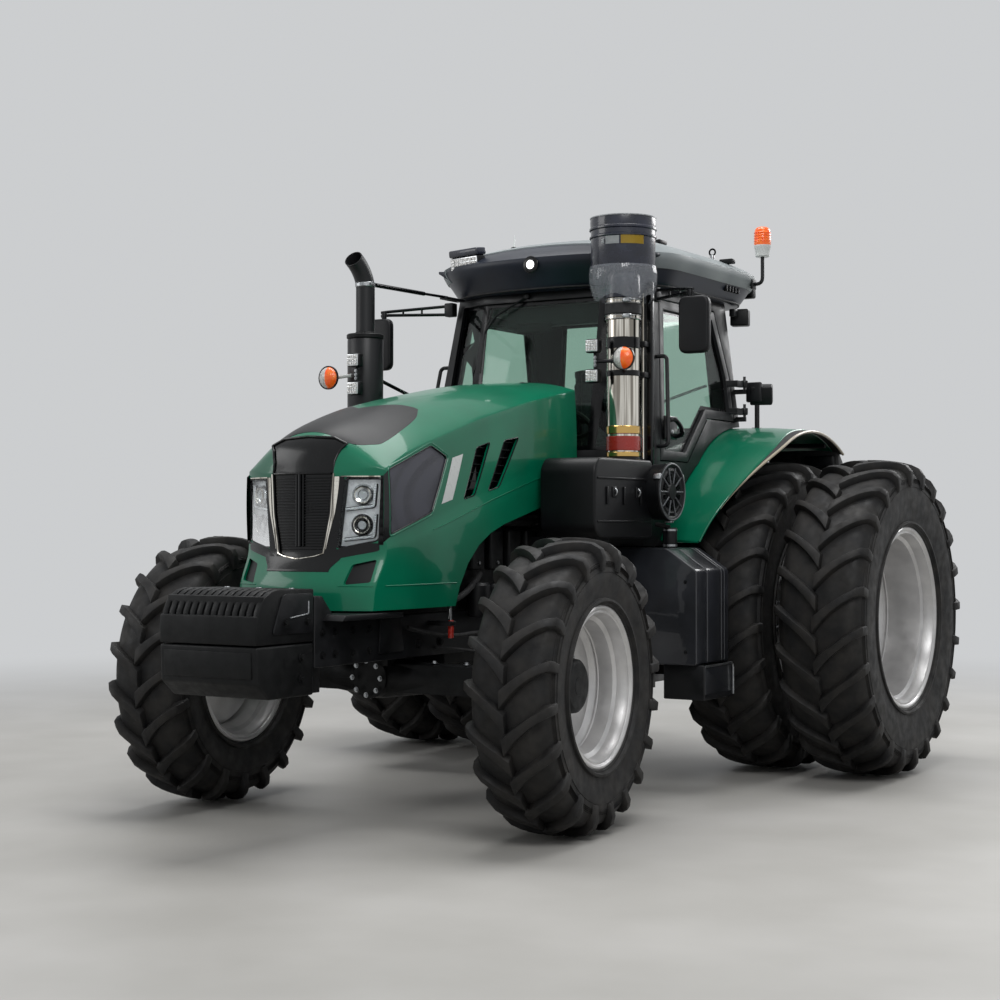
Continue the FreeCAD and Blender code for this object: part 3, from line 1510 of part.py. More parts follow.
def exhaust():
    """Exhaust elbow from the engine, shielded muffler and curved tail pipe."""
    x, y = -D.stack_x, from_front(D.exhaust_y)
    low = D.engine_top - 250
    elbow = swept(
        "exhaust_elbow",
        [(-D.engine_half - D.seat_gap, y, low), (x, y, low), (x, y, D.muffler_bottom + 30)],
        D.tailpipe_radius,
        130,
    )
    shield = rod(
        "muffler_shield", "Z", (x, y, D.muffler_bottom), D.muffler_top - D.muffler_bottom, D.muffler_radius
    )
    tail = swept(
        "tail_pipe",
        [(x, y, D.muffler_top - 20), (x, y, D.tailpipe_top + 90), (x - 40, y - 100, D.tailpipe_top + 190)],
        D.tailpipe_radius,
        120,
        4,
    )
    node("exhaust", fused("exhaust", [elbow, shield, tail]))


def lamp_box(name, x, y, z, wide, deep, tall):
    return block(
        name, (x - wide / 2, x + wide / 2), (y - deep / 2, y + deep / 2), (z - tall / 2, z + tall / 2)
    )


def cab_side(level):
    """The cab's side at a height: half width, and how far its posts lean back from the sill."""
    share = (level - D.sill_height) / (D.head_height - D.sill_height)
    half = D.cab_half - (D.cab_half - D.cab_half_head) * share
    return half, (D.cab_front_head - D.cab_front) * share


def roof_edge(x):
    """How far back the roof's front edge lies at a distance from the middle."""
    share = x / D.roof_half
    for (a, b), (c, d) in zip(ROOF_PLAN, ROOF_PLAN[1:]):
        if share.number <= c:
            return from_front(D.roof_front) + D.roof_sweep * (b + (d - b) * (share - a) / (c - a))


def outside_fittings():
    """Mirrors, roof lamps, beacon, handrails and the lamps beside the stacks."""
    mirrors, rails, stacks, lamps = [], [], [], []
    arm_y, arm_z = from_front(1828), D.head_height - 38
    end_fit = D.seat_gap + 1.4
    for side, word in SIDES:
        x, y = D.mirror_x * side, from_front(D.mirror_y)
        wide = D.mirror_width / 2
        head = block(
            f"mirror_head_{word}",
            (x - wide, x + wide),
            (y - 30, y + 30),
            (D.mirror_low, D.mirror_low + D.mirror_height),
        )
        root = (D.cab_half_head + 40) * side
        route = [
            (root, arm_y, D.head_height),
            (root, arm_y, arm_z),
            (x, y + 150, arm_z),
            (x, y, D.mirror_low + D.mirror_height - 30),
        ]
        mirrors.append(fused(f"mirror_{word}", [head, swept(f"mirror_arm_{word}", route, 14, 18)]))
        route = []
        for level, out in ((80, 0), (80, 70), (620, 70), (620, 0)):
            z = D.sill_height + level
            half, lean = cab_side(z)
            route.append(
                ((half + out + end_fit) * side, from_front(D.cab_front + D.cab_bow + 30) + lean, z)
            )
        rails.append(swept(f"rail_{word}", route, 12, 30))
    node("mirrors", group("mirrors", mirrors))
    node("handrails", group("handrails", rails))
    for side, word in SIDES:
        x = (D.roof_half - 190) * side
        wide = 190
        front = roof_edge(D.roof_half - 190 - wide / 2) - D.seat_gap
        if side == RIGHT:
            lamps.append(lamp_box("front_lamp", x, front - 45, D.head_height + 150, wide, 90, 90))
        lamps.append(
            lamp_box(
                f"rear_lamp_{word}",
                x,
                from_front(D.roof_back) + D.seat_gap + 35,
                D.head_height + 140,
                110,
                70,
                110,
            )
        )
    node("roof_lamps", group("roof_lamps", lamps))
    side_z = D.head_height + D.roof_height * 0.4
    x, y, top = D.roof_half + D.seat_gap, from_front(D.beacon_y), D.head_height + D.roof_height
    post = swept("beacon_post", [(x, y, side_z), (x + 62, y, side_z), (x + 62, y, top + 20)], 12, 30)
    dome = rod("beacon_dome", "Z", (x + 62, y, top + 10), 150, D.beacon_radius)
    node("beacon", fused("beacon", [post, dome]))
    for side, word in SIDES:
        x = D.stack_x * side
        y = from_front(D.intake_y if side == LEFT else D.exhaust_y)
        out = (D.intake_radius if side == LEFT else D.muffler_radius) + D.seat_gap
        level = D.muffler_top - 150
        bar = block(
            f"stack_bar_{word}", (x - 130, x + 130), (y - out - 30, y - out), (level - 90, level + 40)
        )
        boxes = [
            lamp_box(
                f"stack_lamp_{i}_{word}", x - 60 * side, y - out - 60, level - 65 + 100 * i, 90, 60, 85
            )
            for i in range(2)
        ]
        signal = rod(
            f"signal_{word}", "X", (x + (60 if side == LEFT else -150), y - out - 70, level), 90, 42
        )
        stem = lamp_box(f"signal_stem_{word}", x + 100 * side, y - out - 40, level, 30, 40, 30)
        stacks.append(fused(f"stack_lamps_{word}", [bar, signal, stem] + boxes))
    node("stack_lamps", group("stack_lamps", stacks))


def cab_mounts():
    """Rubber mounts between gearbox and cab floor."""
    foot = D.gearbox_top + D.seat_gap
    tall = D.floor_height - D.seat_gap - foot
    mounts = [
        rod(f"cab_mount_{i}_{word}", "Z", (200 * side, from_front(at), foot), tall, 55)
        for side, word in SIDES
        for i, at in enumerate((1760, 2680))
    ]
    node("cab_mounts", group("cab_mounts", mounts))


for build in (
    front_wheels,
    knuckles,
    tie_rod,
    front_axle,
    rear_wheels,
    front_frame,
    front_weights,
    engine,
    transmission,
    hitch,
    drawbar,
    top_link,
    hood,
    firewall,
    cab,
    roof,
    cab_inside,
    fenders,
    side_tanks,
    intake,
    exhaust,
    outside_fittings,
    cab_mounts,
):
    build()
doc.recompute()

# Checks before anything is written
for item in doc.Objects:
    if "Invalid" in item.State or "Error" in item.State:
        raise SystemExit(f"{item.Name} did not build: {item.State}")
for label, piece in NODES.items():
    if piece.Shape.isNull() or not piece.Shape.isValid() or not piece.Shape.Solids:
        raise SystemExit(f"{label} is not a valid solid")

os.makedirs("parts", exist_ok=True)
for label, piece in NODES.items():
    piece.Shape.exportStep(f"parts/{label}.step")
    print(label, len(piece.Shape.Solids), "solids", round(piece.Shape.Volume / 1e6, 2), "litres")
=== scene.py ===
# The looks of a four-wheel-drive farm tractor with twin rear wheels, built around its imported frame.
# Metres; the nose points along -Y, the left side is +X and the tyres stand on Z = 0.
import json
import math
import random

import bmesh
import bpy
from bpy.props import FloatProperty, IntProperty, PointerProperty, StringProperty
from mathutils import Matrix, Vector


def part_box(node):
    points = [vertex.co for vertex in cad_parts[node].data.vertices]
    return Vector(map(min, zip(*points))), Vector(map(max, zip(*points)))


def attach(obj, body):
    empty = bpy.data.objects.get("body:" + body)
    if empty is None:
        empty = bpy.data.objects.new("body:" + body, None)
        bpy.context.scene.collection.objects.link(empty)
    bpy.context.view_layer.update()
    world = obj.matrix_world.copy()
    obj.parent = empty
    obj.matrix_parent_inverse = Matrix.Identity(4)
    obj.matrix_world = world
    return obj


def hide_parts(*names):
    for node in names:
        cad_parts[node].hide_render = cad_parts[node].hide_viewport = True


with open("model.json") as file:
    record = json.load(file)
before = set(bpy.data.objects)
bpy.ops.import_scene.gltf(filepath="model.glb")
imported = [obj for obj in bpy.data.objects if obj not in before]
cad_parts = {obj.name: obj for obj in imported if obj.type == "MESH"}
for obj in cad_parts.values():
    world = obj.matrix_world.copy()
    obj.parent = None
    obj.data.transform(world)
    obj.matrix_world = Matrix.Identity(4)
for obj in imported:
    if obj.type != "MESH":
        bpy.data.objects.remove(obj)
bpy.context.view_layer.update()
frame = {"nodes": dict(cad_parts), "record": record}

bl_info = {
    "name": "Farm tractor looks",
    "version": (1, 0, 0),
    "blender": (4, 5, 0),
    "location": "View3D > Sidebar > Tractor",
    "description": "Builds the visible pieces and finishes of the farm tractor",
    "category": "Add Mesh",
}

LEFT, RIGHT = 1, -1
SIDES = ((LEFT, "left"), (RIGHT, "right"))


def middle(node):
    low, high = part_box(node)
    return (low + high) / 2


# Places read from the frame
FRONT = middle("front_axle").y
REAR = middle("rear_rims_left").y
REAR_Z = middle("rear_rims_left").z
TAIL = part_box("hood_shell")[1].y
ROOF_LOW, ROOF_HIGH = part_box("cab_roof")
STEER = math.radians(5)
# Tyre width, rim radius and rim width
FRONT_WHEEL = (0.43, 0.406, 0.38)
REAR_WHEEL = (0.528, 0.559, 0.46)


class TractorSizes(bpy.types.PropertyGroup):
    """Sizes that can be changed without touching the frame."""

    front_lugs: IntProperty(name="Front lugs", description="Lugs on each half of a front tyre", default=20)
    rear_lugs: IntProperty(name="Rear lugs", description="Lugs on each half of a rear tyre", default=24)
    lug_height: FloatProperty(
        name="Lug height", description="Lug above the carcass", default=0.042, unit="LENGTH"
    )
    lug_width: FloatProperty(
        name="Lug width", description="Lug's top across its run", default=0.046, unit="LENGTH"
    )
    weights: IntProperty(
        name="Slab weights", description="Slab weights side by side on the nose", default=14
    )
    bolt_radius: FloatProperty(name="Bolt", description="Wheel bolt head", default=0.017, unit="LENGTH")
    seam: FloatProperty(
        name="Seam", description="Open joint between two panels", default=0.004, unit="LENGTH"
    )


class TractorColours(bpy.types.PropertyGroup):
    """Finish colours as sRGB hex values."""

    paint: StringProperty(name="Body", description="Body enamel", default="#007555")
    frame: StringProperty(name="Frame", description="Powder coat of the frame", default="#0D0E10")
    wheel: StringProperty(name="Wheels", description="Wheel enamel", default="#B4B6BA")
    roof: StringProperty(name="Roof", description="Roof moulding", default="#161C28")
    crown: StringProperty(name="Roof top", description="Top shell of the roof", default="#868D8E")


def sizes():
    return bpy.context.scene.tractor_sizes


def colours():
    return bpy.context.scene.tractor_colours


# Materials


def linear(code):
    """An sRGB hex value as linear RGBA."""
    parts = [int(code[i : i + 2], 16) / 255 for i in (1, 3, 5)]
    return tuple(c / 12.92 if c <= 0.04045 else ((c + 0.055) / 1.055) ** 2.4 for c in parts) + (1.0,)


def add_node(tree, kind, inputs=None, **settings):
    """Adds a node with its settings; an input is a value, or a node with its output's name."""
    made = tree.nodes.new(kind)
    for name, value in settings.items():
        setattr(made, name, value)
    for name, value in (inputs or {}).items():
        if isinstance(value, tuple) and isinstance(value[0], bpy.types.Node):
            tree.links.new(value[0].outputs[value[1]], made.inputs[name])
        else:
            made.inputs[name].default_value = value
    return made


class Finish:
    """A material built round one shader and patterned in the object's own coordinates."""

    def __init__(self, name, code, **sockets):
        self.material = bpy.data.materials.new(name)
        self.material.use_nodes = True
        self.tree = self.material.node_tree
        self.shader = self.tree.nodes["Principled BSDF"]
        self.place = add_node(self.tree, "ShaderNodeTexCoord")
        self.shader.inputs["Base Color"].default_value = linear(code)
        for socket, value in sockets.items():
            self.shader.inputs[socket.replace("_", " ")].default_value = value

    def pattern(self, kind, size, stretch=1.0, **inputs):
        """A texture whose features have a real size, drawn out along Z by a share below one."""
        source = (self.place, "Object")
        if stretch != 1.0:
            drawn = add_node(
                self.tree, "ShaderNodeMapping", {"Vector": source, "Scale": (1.0, 1.0, stretch)}
            )
            source = (drawn, "Vector")
        return add_node(self.tree, "ShaderNodeTex" + kind, {"Vector": source, "Scale": 1 / size, **inputs})

    def colour(self, node, output):
        """Colour taken from a node's output."""
        self.tree.links.new(node.outputs[output], self.shader.inputs["Base Color"])
        return self

    def toned(self, node, output, code, other, start=0.0, end=1.0):
        """Colour that runs from one tone to another with a node's output."""
        ramp = add_node(self.tree, "ShaderNodeValToRGB", {"Fac": (node, output)})
        for stop, tone, position in zip(ramp.color_ramp.elements, (code, other), (start, end)):
            stop.color, stop.position = linear(tone), position
        return self.colour(ramp, "Color")

    def mottle(self, code, other, size):
        """Colour that drifts between two tones over patches of a real size."""
        return self.toned(self.pattern("Noise", size, Detail=4.0), "Fac", code, other, 0.36, 0.70)

    def uneven(self, low, high, size):
        """Roughness that varies over patches of a real size."""
        cloud = self.pattern("Noise", size, Detail=5.0)
        limits = {"From Min": 0.3, "From Max": 0.7, "To Min": low, "To Max": high}
        spread = add_node(self.tree, "ShaderNodeMapRange", {"Value": (cloud, "Fac"), **limits})
        self.tree.links.new(spread.outputs["Result"], self.shader.inputs["Roughness"])
        return self

    def relief(self, node, output, height):
        """Bump of a real height from a node's output."""
        bump = add_node(
            self.tree, "ShaderNodeBump", {"Height": (node, output), "Distance": height, "Strength": 1.0}
        )
        self.tree.links.new(bump.outputs["Normal"], self.shader.inputs["Normal"])
        return self

    def grain(self, size, height):
        """Fine unevenness of a surface."""
        return self.relief(self.pattern("Noise", size, Detail=3.0), "Fac", height)

    def cells(self, size, height, **inputs):
        """Moulded flutes or facets of a real size."""
        return self.relief(self.pattern("Voronoi", size, **inputs), "Distance", height)

    def see_through(self):
        """Lets light through without a hard shadow."""
        self.material.use_transparent_shadow = True
        return self


def body_enamel():
    """Sprayed enamel under clear coat: deep even green, sharp reflections, slight orange peel."""
    enamel = Finish("emerald_enamel", colours().paint, Roughness=0.32, Coat_Weight=0.4, Coat_Roughness=0.04,
                    Specular_IOR_Level=0.25)
    return enamel.mottle(colours().paint, "#006347", 0.5).grain(0.006, 0.00006)


def frame_coat():
    """Powder-coated steel: black, satin, with the fine dimple of baked powder and some dust."""
    coat = Finish("black_powder_coat", colours().frame, Roughness=0.4, Specular_IOR_Level=0.35)
    return coat.mottle("#0B0C0E", "#18191C", 0.18).uneven(0.34, 0.55, 0.09).grain(0.003, 0.00012)


def cast_iron():
    """Sand-cast iron painted black: coarse skin, soft gloss, a random drift of tone."""
    iron = Finish("painted_cast_iron", "#08090A", Roughness=0.5, Specular_IOR_Level=0.22)
    return iron.mottle("#060708", "#111213", 0.07).uneven(0.4, 0.62, 0.05).grain(0.004, 0.0005)


def moulded_black():
    """Injection-moulded polypropylene: black, fine leather grain, dull highlights."""
    plastic = Finish("black_moulding", "#08090B", Roughness=0.42, Specular_IOR_Level=0.26)
    return plastic.cells(0.0022, 0.00012).mottle("#07080A", "#0F1013", 0.2)


def gloss_black():
    """Polished ABS: piano black with soft swirls, like the grille surround."""
    polished = Finish("polished_abs", "#050608", Roughness=0.2, Coat_Weight=0.1, Specular_IOR_Level=0.3)
    return polished.uneven(0.16, 0.3, 0.08)


def tyre_rubber():
    """Vulcanised rubber: near black, matt, faint warm dust."""
    rubber = Finish("tyre_rubber", "#151516", Roughness=0.6, Specular_IOR_Level=0.35)
    return rubber.mottle("#121213", "#282624", 0.11).uneven(0.5, 0.78, 0.06).grain(0.005, 0.0005)


def wheel_enamel():
    """Silver wheel enamel on pressed steel: fine metallic flake, satin gloss."""
    enamel = Finish("silver_wheel_enamel", colours().wheel, Metallic=0.55, Roughness=0.36)
    return enamel.mottle("#BEBDBD", "#D6D5D4", 0.16).uneven(0.28, 0.44, 0.05).grain(0.0018, 0.00006)


def polished_steel():
    """Polished stainless tube: mirror bright, with drawn lines, and broad warm reflections painted into its colour as
    bands along the pipe.
    """
    tube = Finish("polished_stainless", "#D9D6CF", Metallic=1.0, Roughness=0.08)
    tube.relief(tube.pattern("Noise", 1 / 300, 0.03, Detail=2.0), "Fac", 0.00002)
    # Painted reflections: the colour runs from a dull warm grey to near white in broad bands drawn out along the
    # pipe.
    tube.toned(tube.pattern("Noise", 1 / 42, 0.03, Detail=3.0), "Fac", "#958F85", "#F6F1E6", 0.40, 0.56)
    return tube.uneven(0.05, 0.13, 0.1)


def zinc_steel():
    """Zinc-plated steel fasteners: pale grey with a spangle, half bright."""
    zinc = Finish("zinc_plated_steel", "#A5A8AA", Metallic=1.0, Roughness=0.34)
    return zinc.mottle("#8E9194", "#B9BBBC", 0.012).uneven(0.26, 0.46, 0.01)


def window_glass():
    """Tempered cab glass with a green tint: clear, slightly reflective."""
    glass = Finish("green_tinted_glass", "#C6DDD2", Roughness=0.02, Transmission_Weight=1.0, IOR=1.12,
                   Specular_IOR_Level=0.5, Coat_Weight=0.35)
    return glass.see_through().uneven(0.01, 0.05, 0.4)


def lamp_lens():
    """Moulded polycarbonate lens: clear, glossy."""
    lens = Finish("clear_polycarbonate", "#F4F7F8", Roughness=0.03, Transmission_Weight=1.0, IOR=1.2)
    return lens.see_through().grain(0.05, 0.0001)


def lamp_reflector():
    """Vacuum-metallised reflector: bright, softly faceted."""
    return Finish("metallised_reflector", "#DADCDD", Metallic=0.85, Roughness=0.22).cells(0.012, 0.0003)


def light_guide():
    """Ribbed acrylic light guide: white, with cross ribs 6 mm apart whose light and shade are painted as a checker of
    pale and darker tones.
    """
    guide = Finish("ribbed_light_guide", "#DDE2E4", Roughness=0.25)
    # Painted light and shade of the ribs: pale and darker squares 6 mm across in the colour.
    ribs = guide.pattern("Checker", 0.006, Color1=linear("#F2F5F6"), Color2=linear("#B9BEC1"))
    return guide.colour(ribs, "Color")


def amber_lens():
    """Amber polycarbonate with moulded flutes."""
    amber = Finish("amber_polycarbonate", "#FF6A12", Roughness=0.18, Coat_Weight=0.5,
                   Emission_Color=linear("#FF5A08"), Emission_Strength=0.12)
    return amber.mottle("#FF5A08", "#FF8A2C", 0.03).cells(0.008, 0.0012)


def lit_lamp():
    """A lit light-emitting diode behind its lens."""
    return Finish(
        "lit_diode", "#FFFFFF", Roughness=0.2, Emission_Color=linear("#FFFFFF"), Emission_Strength=2.5
    )


def roof_moulding():
    """Thermoformed ABS roof: dark blue-grey with a soft sheen."""
    roof = Finish("roof_abs", colours().roof, Roughness=0.36, Specular_IOR_Level=0.35)
    return roof.mottle("#131823", "#1E2533", 0.5).grain(0.004, 0.0001)


def roof_crown():
    """The roof's painted top shell: light grey, satin, a little dusty."""
    shell = Finish("roof_top_enamel", colours().crown, Roughness=0.45, Specular_IOR_Level=0.3)
    return shell.mottle("#7B8284", "#989E9F", 0.4).uneven(0.42, 0.6, 0.1)


def banded(name, code, metallic, rough):
    """Enamelled or plated trim, with a fine drift of gloss."""
    trim = Finish(name, code, Metallic=metallic, Roughness=rough, Coat_Weight=0.4)
    return trim.uneven(rough * 0.7, rough * 1.4, 0.03).grain(0.003, 0.00005)


def seat_cloth():
    """Woven seat cloth: charcoal yarn 2 mm apart, drawn 3 mm apart so that it shows."""
    cloth = Finish("woven_seat_cloth", "#2B2D31", Roughness=0.9, Sheen_Weight=0.3)
    warp, weft = cloth.pattern("Wave", 0.019), cloth.pattern("Wave", 0.019)
    weft.bands_direction = "Y"
    both = add_node(cloth.tree, "ShaderNodeMath", {0: (warp, "Fac"), 1: (weft, "Fac")}, operation="MAXIMUM")
    return cloth.relief(both, "Value", 0.0008).mottle("#24262A", "#3A3D42", 0.02)


def hose_rubber():
    """Extruded rubber hose and seals: soft black, fine talc bloom."""
    hose = Finish("extruded_rubber", "#141415", Roughness=0.66)
    return hose.mottle("#121213", "#29292A", 0.03).grain(0.002, 0.0001)


def punched_mesh():
    """Punched steel screen behind the side panels: round holes in dark grey coat, 5.5 mm apart."""
    mesh = Finish("punched_screen", "#3A3B42", Roughness=0.42, Metallic=0.2)
    spots = mesh.pattern("Voronoi", 0.0055, Randomness=0.0)
    limits = {"From Min": 0.25, "From Max": 0.34}
    hole = add_node(mesh.tree, "ShaderNodeMapRange", {"Value": (spots, "Distance"), **limits})
    return mesh.toned(hole, "Result", "#1C1D20", "#484952").relief(hole, "Result", 0.0008)


def clear_film():
    """Shrink film left on the precleaner: clear, crinkled, with sharp white glints."""
    film = Finish("clear_film", "#B4B9C2", Roughness=0.08, Alpha=0.2, Coat_Weight=1.0, Coat_Roughness=0.03)
    return film.relief(film.pattern("Noise", 0.045, 0.35, Detail=2.0), "Fac", 0.008)


def blank_label():
    """Blank printed film label."""
    return Finish("label_film", "#C9CDCF", Roughness=0.4).mottle("#BFC4C6", "#D6D9DA", 0.03)


def tank_moulding():
    """Rotomoulded polyethylene cover: black with a soft satin skin and broad pale reflections."""
    cover = Finish("rotomoulded_cover", "#1A1C20", Roughness=0.3, Coat_Weight=0.45)
    return cover.mottle("#1A1C20", "#292B31", 0.25).uneven(0.3, 0.44, 0.15).grain(0.004, 0.00015)


def precleaner_moulding():
    """Glass-filled nylon: blue-black, glossy under its film."""
    nylon = Finish("glass_filled_nylon", "#1F2230", Roughness=0.24, Coat_Weight=0.3)
    return nylon.mottle("#1B1E2A", "#282C3C", 0.12).uneven(0.16, 0.34, 0.06)


def heat_paint():
    """Heat-proof silicone paint on steel: charcoal, satin, slightly streaked down the pipe."""
    paint = Finish("heat_proof_paint", "#17181B", Roughness=0.4, Specular_IOR_Level=0.4)
    paint.toned(paint.pattern("Noise", 0.03, 0.1, Detail=4.0), "Fac", "#0B0C0E", "#18191C")
    return paint.grain(0.003, 0.0001)


def cab_lining():
    """Needled felt lining of the cab: dark grey, matt, with a fine nap."""
    felt = Finish("needled_felt", "#1B1F20", Roughness=0.92, Sheen_Weight=0.25)
    return felt.mottle("#171A1B", "#262B2C", 0.006).grain(0.0025, 0.0002)


def frosted_lens():
    """Fluted clear lens over a reflector: milky white with fine cells."""
    lens = Finish("fluted_clear_lens", "#D9D6D2", Roughness=0.15, Coat_Weight=0.6)
    return lens.cells(0.009, 0.0015, Randomness=0.25).mottle("#B9B6B2", "#F3F1EE", 0.01)


def diode_cell():
    """Diode behind a faceted reflector: bright metal with uneven glints painted into its colour."""
    cell = Finish("diode_reflector", "#E4E2DE", Metallic=0.6, Roughness=0.2)
    # Painted glints: the colour drifts from grey to pure white in spots about 8 mm across.
    return cell.cells(0.006, 0.002).mottle("#A8A5A0", "#FFFFFF", 0.008)


def mirror_glass():
    """Silvered mirror glass."""
    return Finish("silvered_glass", "#C9CED0", Metallic=1.0, Roughness=0.03).uneven(0.02, 0.05, 0.1)


def grey_polyamide():
    """Moulded grey polyamide, with a random drift of tone."""
    grey = Finish("grey_polyamide", "#595C60", Roughness=0.42)
    return grey.mottle("#4C4F53", "#6B6E72", 0.05).grain(0.003, 0.0001)


# Each look with its finish, the finish's own values where it takes them, and the slot it goes under
LOOKS = {
    "paint": (body_enamel, (), "green_paint"),
    "frame": (frame_coat, (), "black_paint"),
    "cast": (cast_iron, (), "cast_black"),
    "plastic": (moulded_black, (), "black_plastic"),
    "gloss": (gloss_black, (), "black_plastic"),
    "tyre": (tyre_rubber, (), "tyre"),
    "wheel": (wheel_enamel, (), "wheel_silver"),
    "chrome": (polished_steel, (), "chrome"),
    "zinc": (zinc_steel, (), "steel"),
    "glass": (window_glass, (), "glass"),
    "lens": (lamp_lens, (), "lamp"),
    "reflector": (lamp_reflector, (), "lamp"),
    "guide": (light_guide, (), "lamp"),
    "amber": (amber_lens, (), "amber"),
    "lit": (lit_lamp, (), "lamp"),
    "roof": (roof_moulding, (), "roof_plastic"),
    "crown": (roof_crown, (), "roof_plastic"),
    "gold": (banded, ("gold_plated_band", "#D9B36A", 1.0, 0.16), "chrome"),
    "red": (banded, ("red_enamel_band", "#A52A20", 0.0, 0.25), "chrome"),
    "white": (banded, ("white_enamel", "#D8DCDA", 0.0, 0.3), "green_paint"),
    "yellow": (banded, ("yellow_label_film", "#C9A72A", 0.0, 0.4), "black_plastic"),
    # A pale cream finish for the fender's edge bead: a painted highlight of the rounded edge.
    "cream": (banded, ("cream_edge_coat", "#B9AF9A", 0.0, 0.35), "green_paint"),
    "red_lens": (banded, ("red_acrylic", "#8E1512", 0.0, 0.15), "lamp"),
    "silver": (banded, ("silver_bezel", "#E9EAEB", 0.1, 0.28), "steel"),
    "cloth": (seat_cloth, (), "seat_fabric"),
    "hose": (hose_rubber, (), "rubber"),
    "screen": (punched_mesh, (), "black_plastic"),
    "film": (clear_film, (), "glass"),
    "label": (blank_label, (), "black_plastic"),
    "satin": (tank_moulding, (), "black_plastic"),
    "navy": (precleaner_moulding, (), "black_plastic"),
    "exhaust": (heat_paint, (), "black_paint"),
    "lining": (cab_lining, (), "black_plastic"),
    "lens_frosted": (frosted_lens, (), "lamp"),
    # Lamp cells with glints painted into their colour
    "lit_cell": (diode_cell, (), "lamp"),
    "mirror": (mirror_glass, (), "chrome"),
    "grey": (grey_polyamide, (), "black_plastic"),
}
MADE = {}


def finish(look):
    """The look's material, made the first time it is asked for."""
    if look not in MADE:
        make, values, _ = LOOKS[look]
        MADE[look] = make(*values).material.name
    return bpy.data.materials[MADE[look]]


# Shapes


def turned(outline, steps=96, closed=True):
    """An outline of (along, radius) spun about X."""
    bm = bmesh.new()
    verts = [bm.verts.new((a, 0, r)) for a, r in outline]
    pairs = list(zip(verts, verts[1:])) + ([(verts[-1], verts[0])] if closed else [])
    edges = [bm.edges.new(pair) for pair in pairs]
    bmesh.ops.spin(
        bm,
        geom=verts + edges,
        cent=(0, 0, 0),
        axis=(1, 0, 0),
        angle=2 * math.pi,
        steps=steps,
        use_merge=True,
    )
    bmesh.ops.remove_doubles(bm, verts=bm.verts, dist=1e-5)
    bmesh.ops.dissolve_degenerate(bm, dist=1e-6, edges=bm.edges)
    bmesh.ops.recalc_face_normals(bm, faces=bm.faces)
    return bm


def round_edges(bm, width, segments=2, angle=30, edges=None):
    """Rounds the edges that turn by more than an angle."""
    sharp = [e for e in (edges or bm.edges) if e.is_manifold and e.calc_face_angle(0) > math.radians(angle)]
    bmesh.ops.bevel(bm, geom=sharp, offset=width, offset_type="OFFSET", segments=segments, profile=0.5,
                    affect="EDGES", material=-1, clamp_overlap=True)
    return bm


def block(low, high, edge=0.004, segments=2):
    """A box between two corners with rounded edges."""
    bm = bmesh.new()
    low, high = Vector(low), Vector(high)
    bmesh.ops.create_cube(bm, size=1, matrix=Matrix.LocRotScale((low + high) / 2, None, high - low))
    return round_edges(bm, edge, segments) if edge else bm


def plate(outline, low, high, axis="X", edge=0.003, segments=2):
    """An outline pushed along an axis: (y, z), (x, z) or (x, y) for X, Y or Z."""
    at = "XYZ".index(axis)
    push = Vector((0, 0, 0))
    push[at] = high - low
    bm = bmesh.new()
    face = bm.faces.new([bm.verts.new((*spot[:at], low, *spot[at:])) for spot in map(tuple, outline)])
    far = bmesh.ops.extrude_face_region(bm, geom=[face])
    bmesh.ops.translate(bm, vec=push, verts=[g for g in far["geom"] if isinstance(g, bmesh.types.BMVert)])
    bmesh.ops.recalc_face_normals(bm, faces=bm.faces)
    return round_edges(bm, edge, segments) if edge else bm


def rod(start, end, radius, far_radius=None, sides=24, edge=0.0):
    """A round bar or cone between two points."""
    start, end = Vector(start), Vector(end)
    bm = bmesh.new()
    turn = (end - start).to_track_quat("Z", "Y").to_matrix().to_4x4()
    bmesh.ops.create_cone(bm, cap_ends=True, segments=sides, radius1=radius,
                          radius2=radius if far_radius is None else far_radius, depth=(end - start).length,
                          matrix=Matrix.Translation((start + end) / 2) @ turn)
    return round_edges(bm, edge, 2, 50) if edge else bm


def pipe(points, radius, bend=0.04, sides=12, smooth=False):
    """A bent round bar along corner points, with each corner rounded, or a smooth hose."""
    curve = bpy.data.curves.new("route", "CURVE")
    curve.dimensions = "3D"
    curve.bevel_depth, curve.bevel_resolution, curve.use_fill_caps = radius, max(1, sides // 4), True
    points = [Vector(p) for p in points]
    if smooth:
        line = curve.splines.new("NURBS")
        line.points.add(len(points) - 1)
        for spot, p in zip(line.points, points):
            spot.co = (*p, 1)
        line.order_u, line.use_endpoint_u, line.resolution_u = 3, True, 8
    else:
        path = [points[0]]
        for before, here, after in zip(points, points[1:], points[2:]):
            reach = min(bend, (here - before).length * 0.45, (after - here).length * 0.45)
            first = here + (before - here).normalized() * reach
            last = here + (after - here).normalized() * reach
            path += [first.lerp(here, f).lerp(here.lerp(last, f), f) for f in (0, 0.25, 0.5, 0.75, 1)]
        path.append(points[-1])
        line = curve.splines.new("POLY")
        line.points.add(len(path) - 1)
        for spot, p in zip(line.points, path):
            spot.co = (*p, 1)
    holder = bpy.data.objects.new("route", curve)
    mesh = bpy.data.meshes.new_from_object(holder)
    bm = bmesh.new()
    bm.from_mesh(mesh)
    bpy.data.objects.remove(holder)
    bpy.data.curves.remove(curve)
    bpy.data.meshes.remove(mesh)
    return bm


def bolt(radius=0.012, height=0.01, washer=True):
    """A hexagon head standing on Z = 0, with its washer."""
    bm = bmesh.new()
    rise = 0.0
    if washer:
        rise = height * 0.25
        bmesh.ops.create_cone(bm, cap_ends=True, segments=16, radius1=radius * 1.45, radius2=radius * 1.4, depth=rise,
                              matrix=Matrix.Translation((0, 0, rise / 2)))
    bmesh.ops.create_cone(bm, cap_ends=True, segments=6, radius1=radius, radius2=radius * 0.93, depth=height,
                          matrix=Matrix.Translation((0, 0, rise + height / 2)))
    return bm


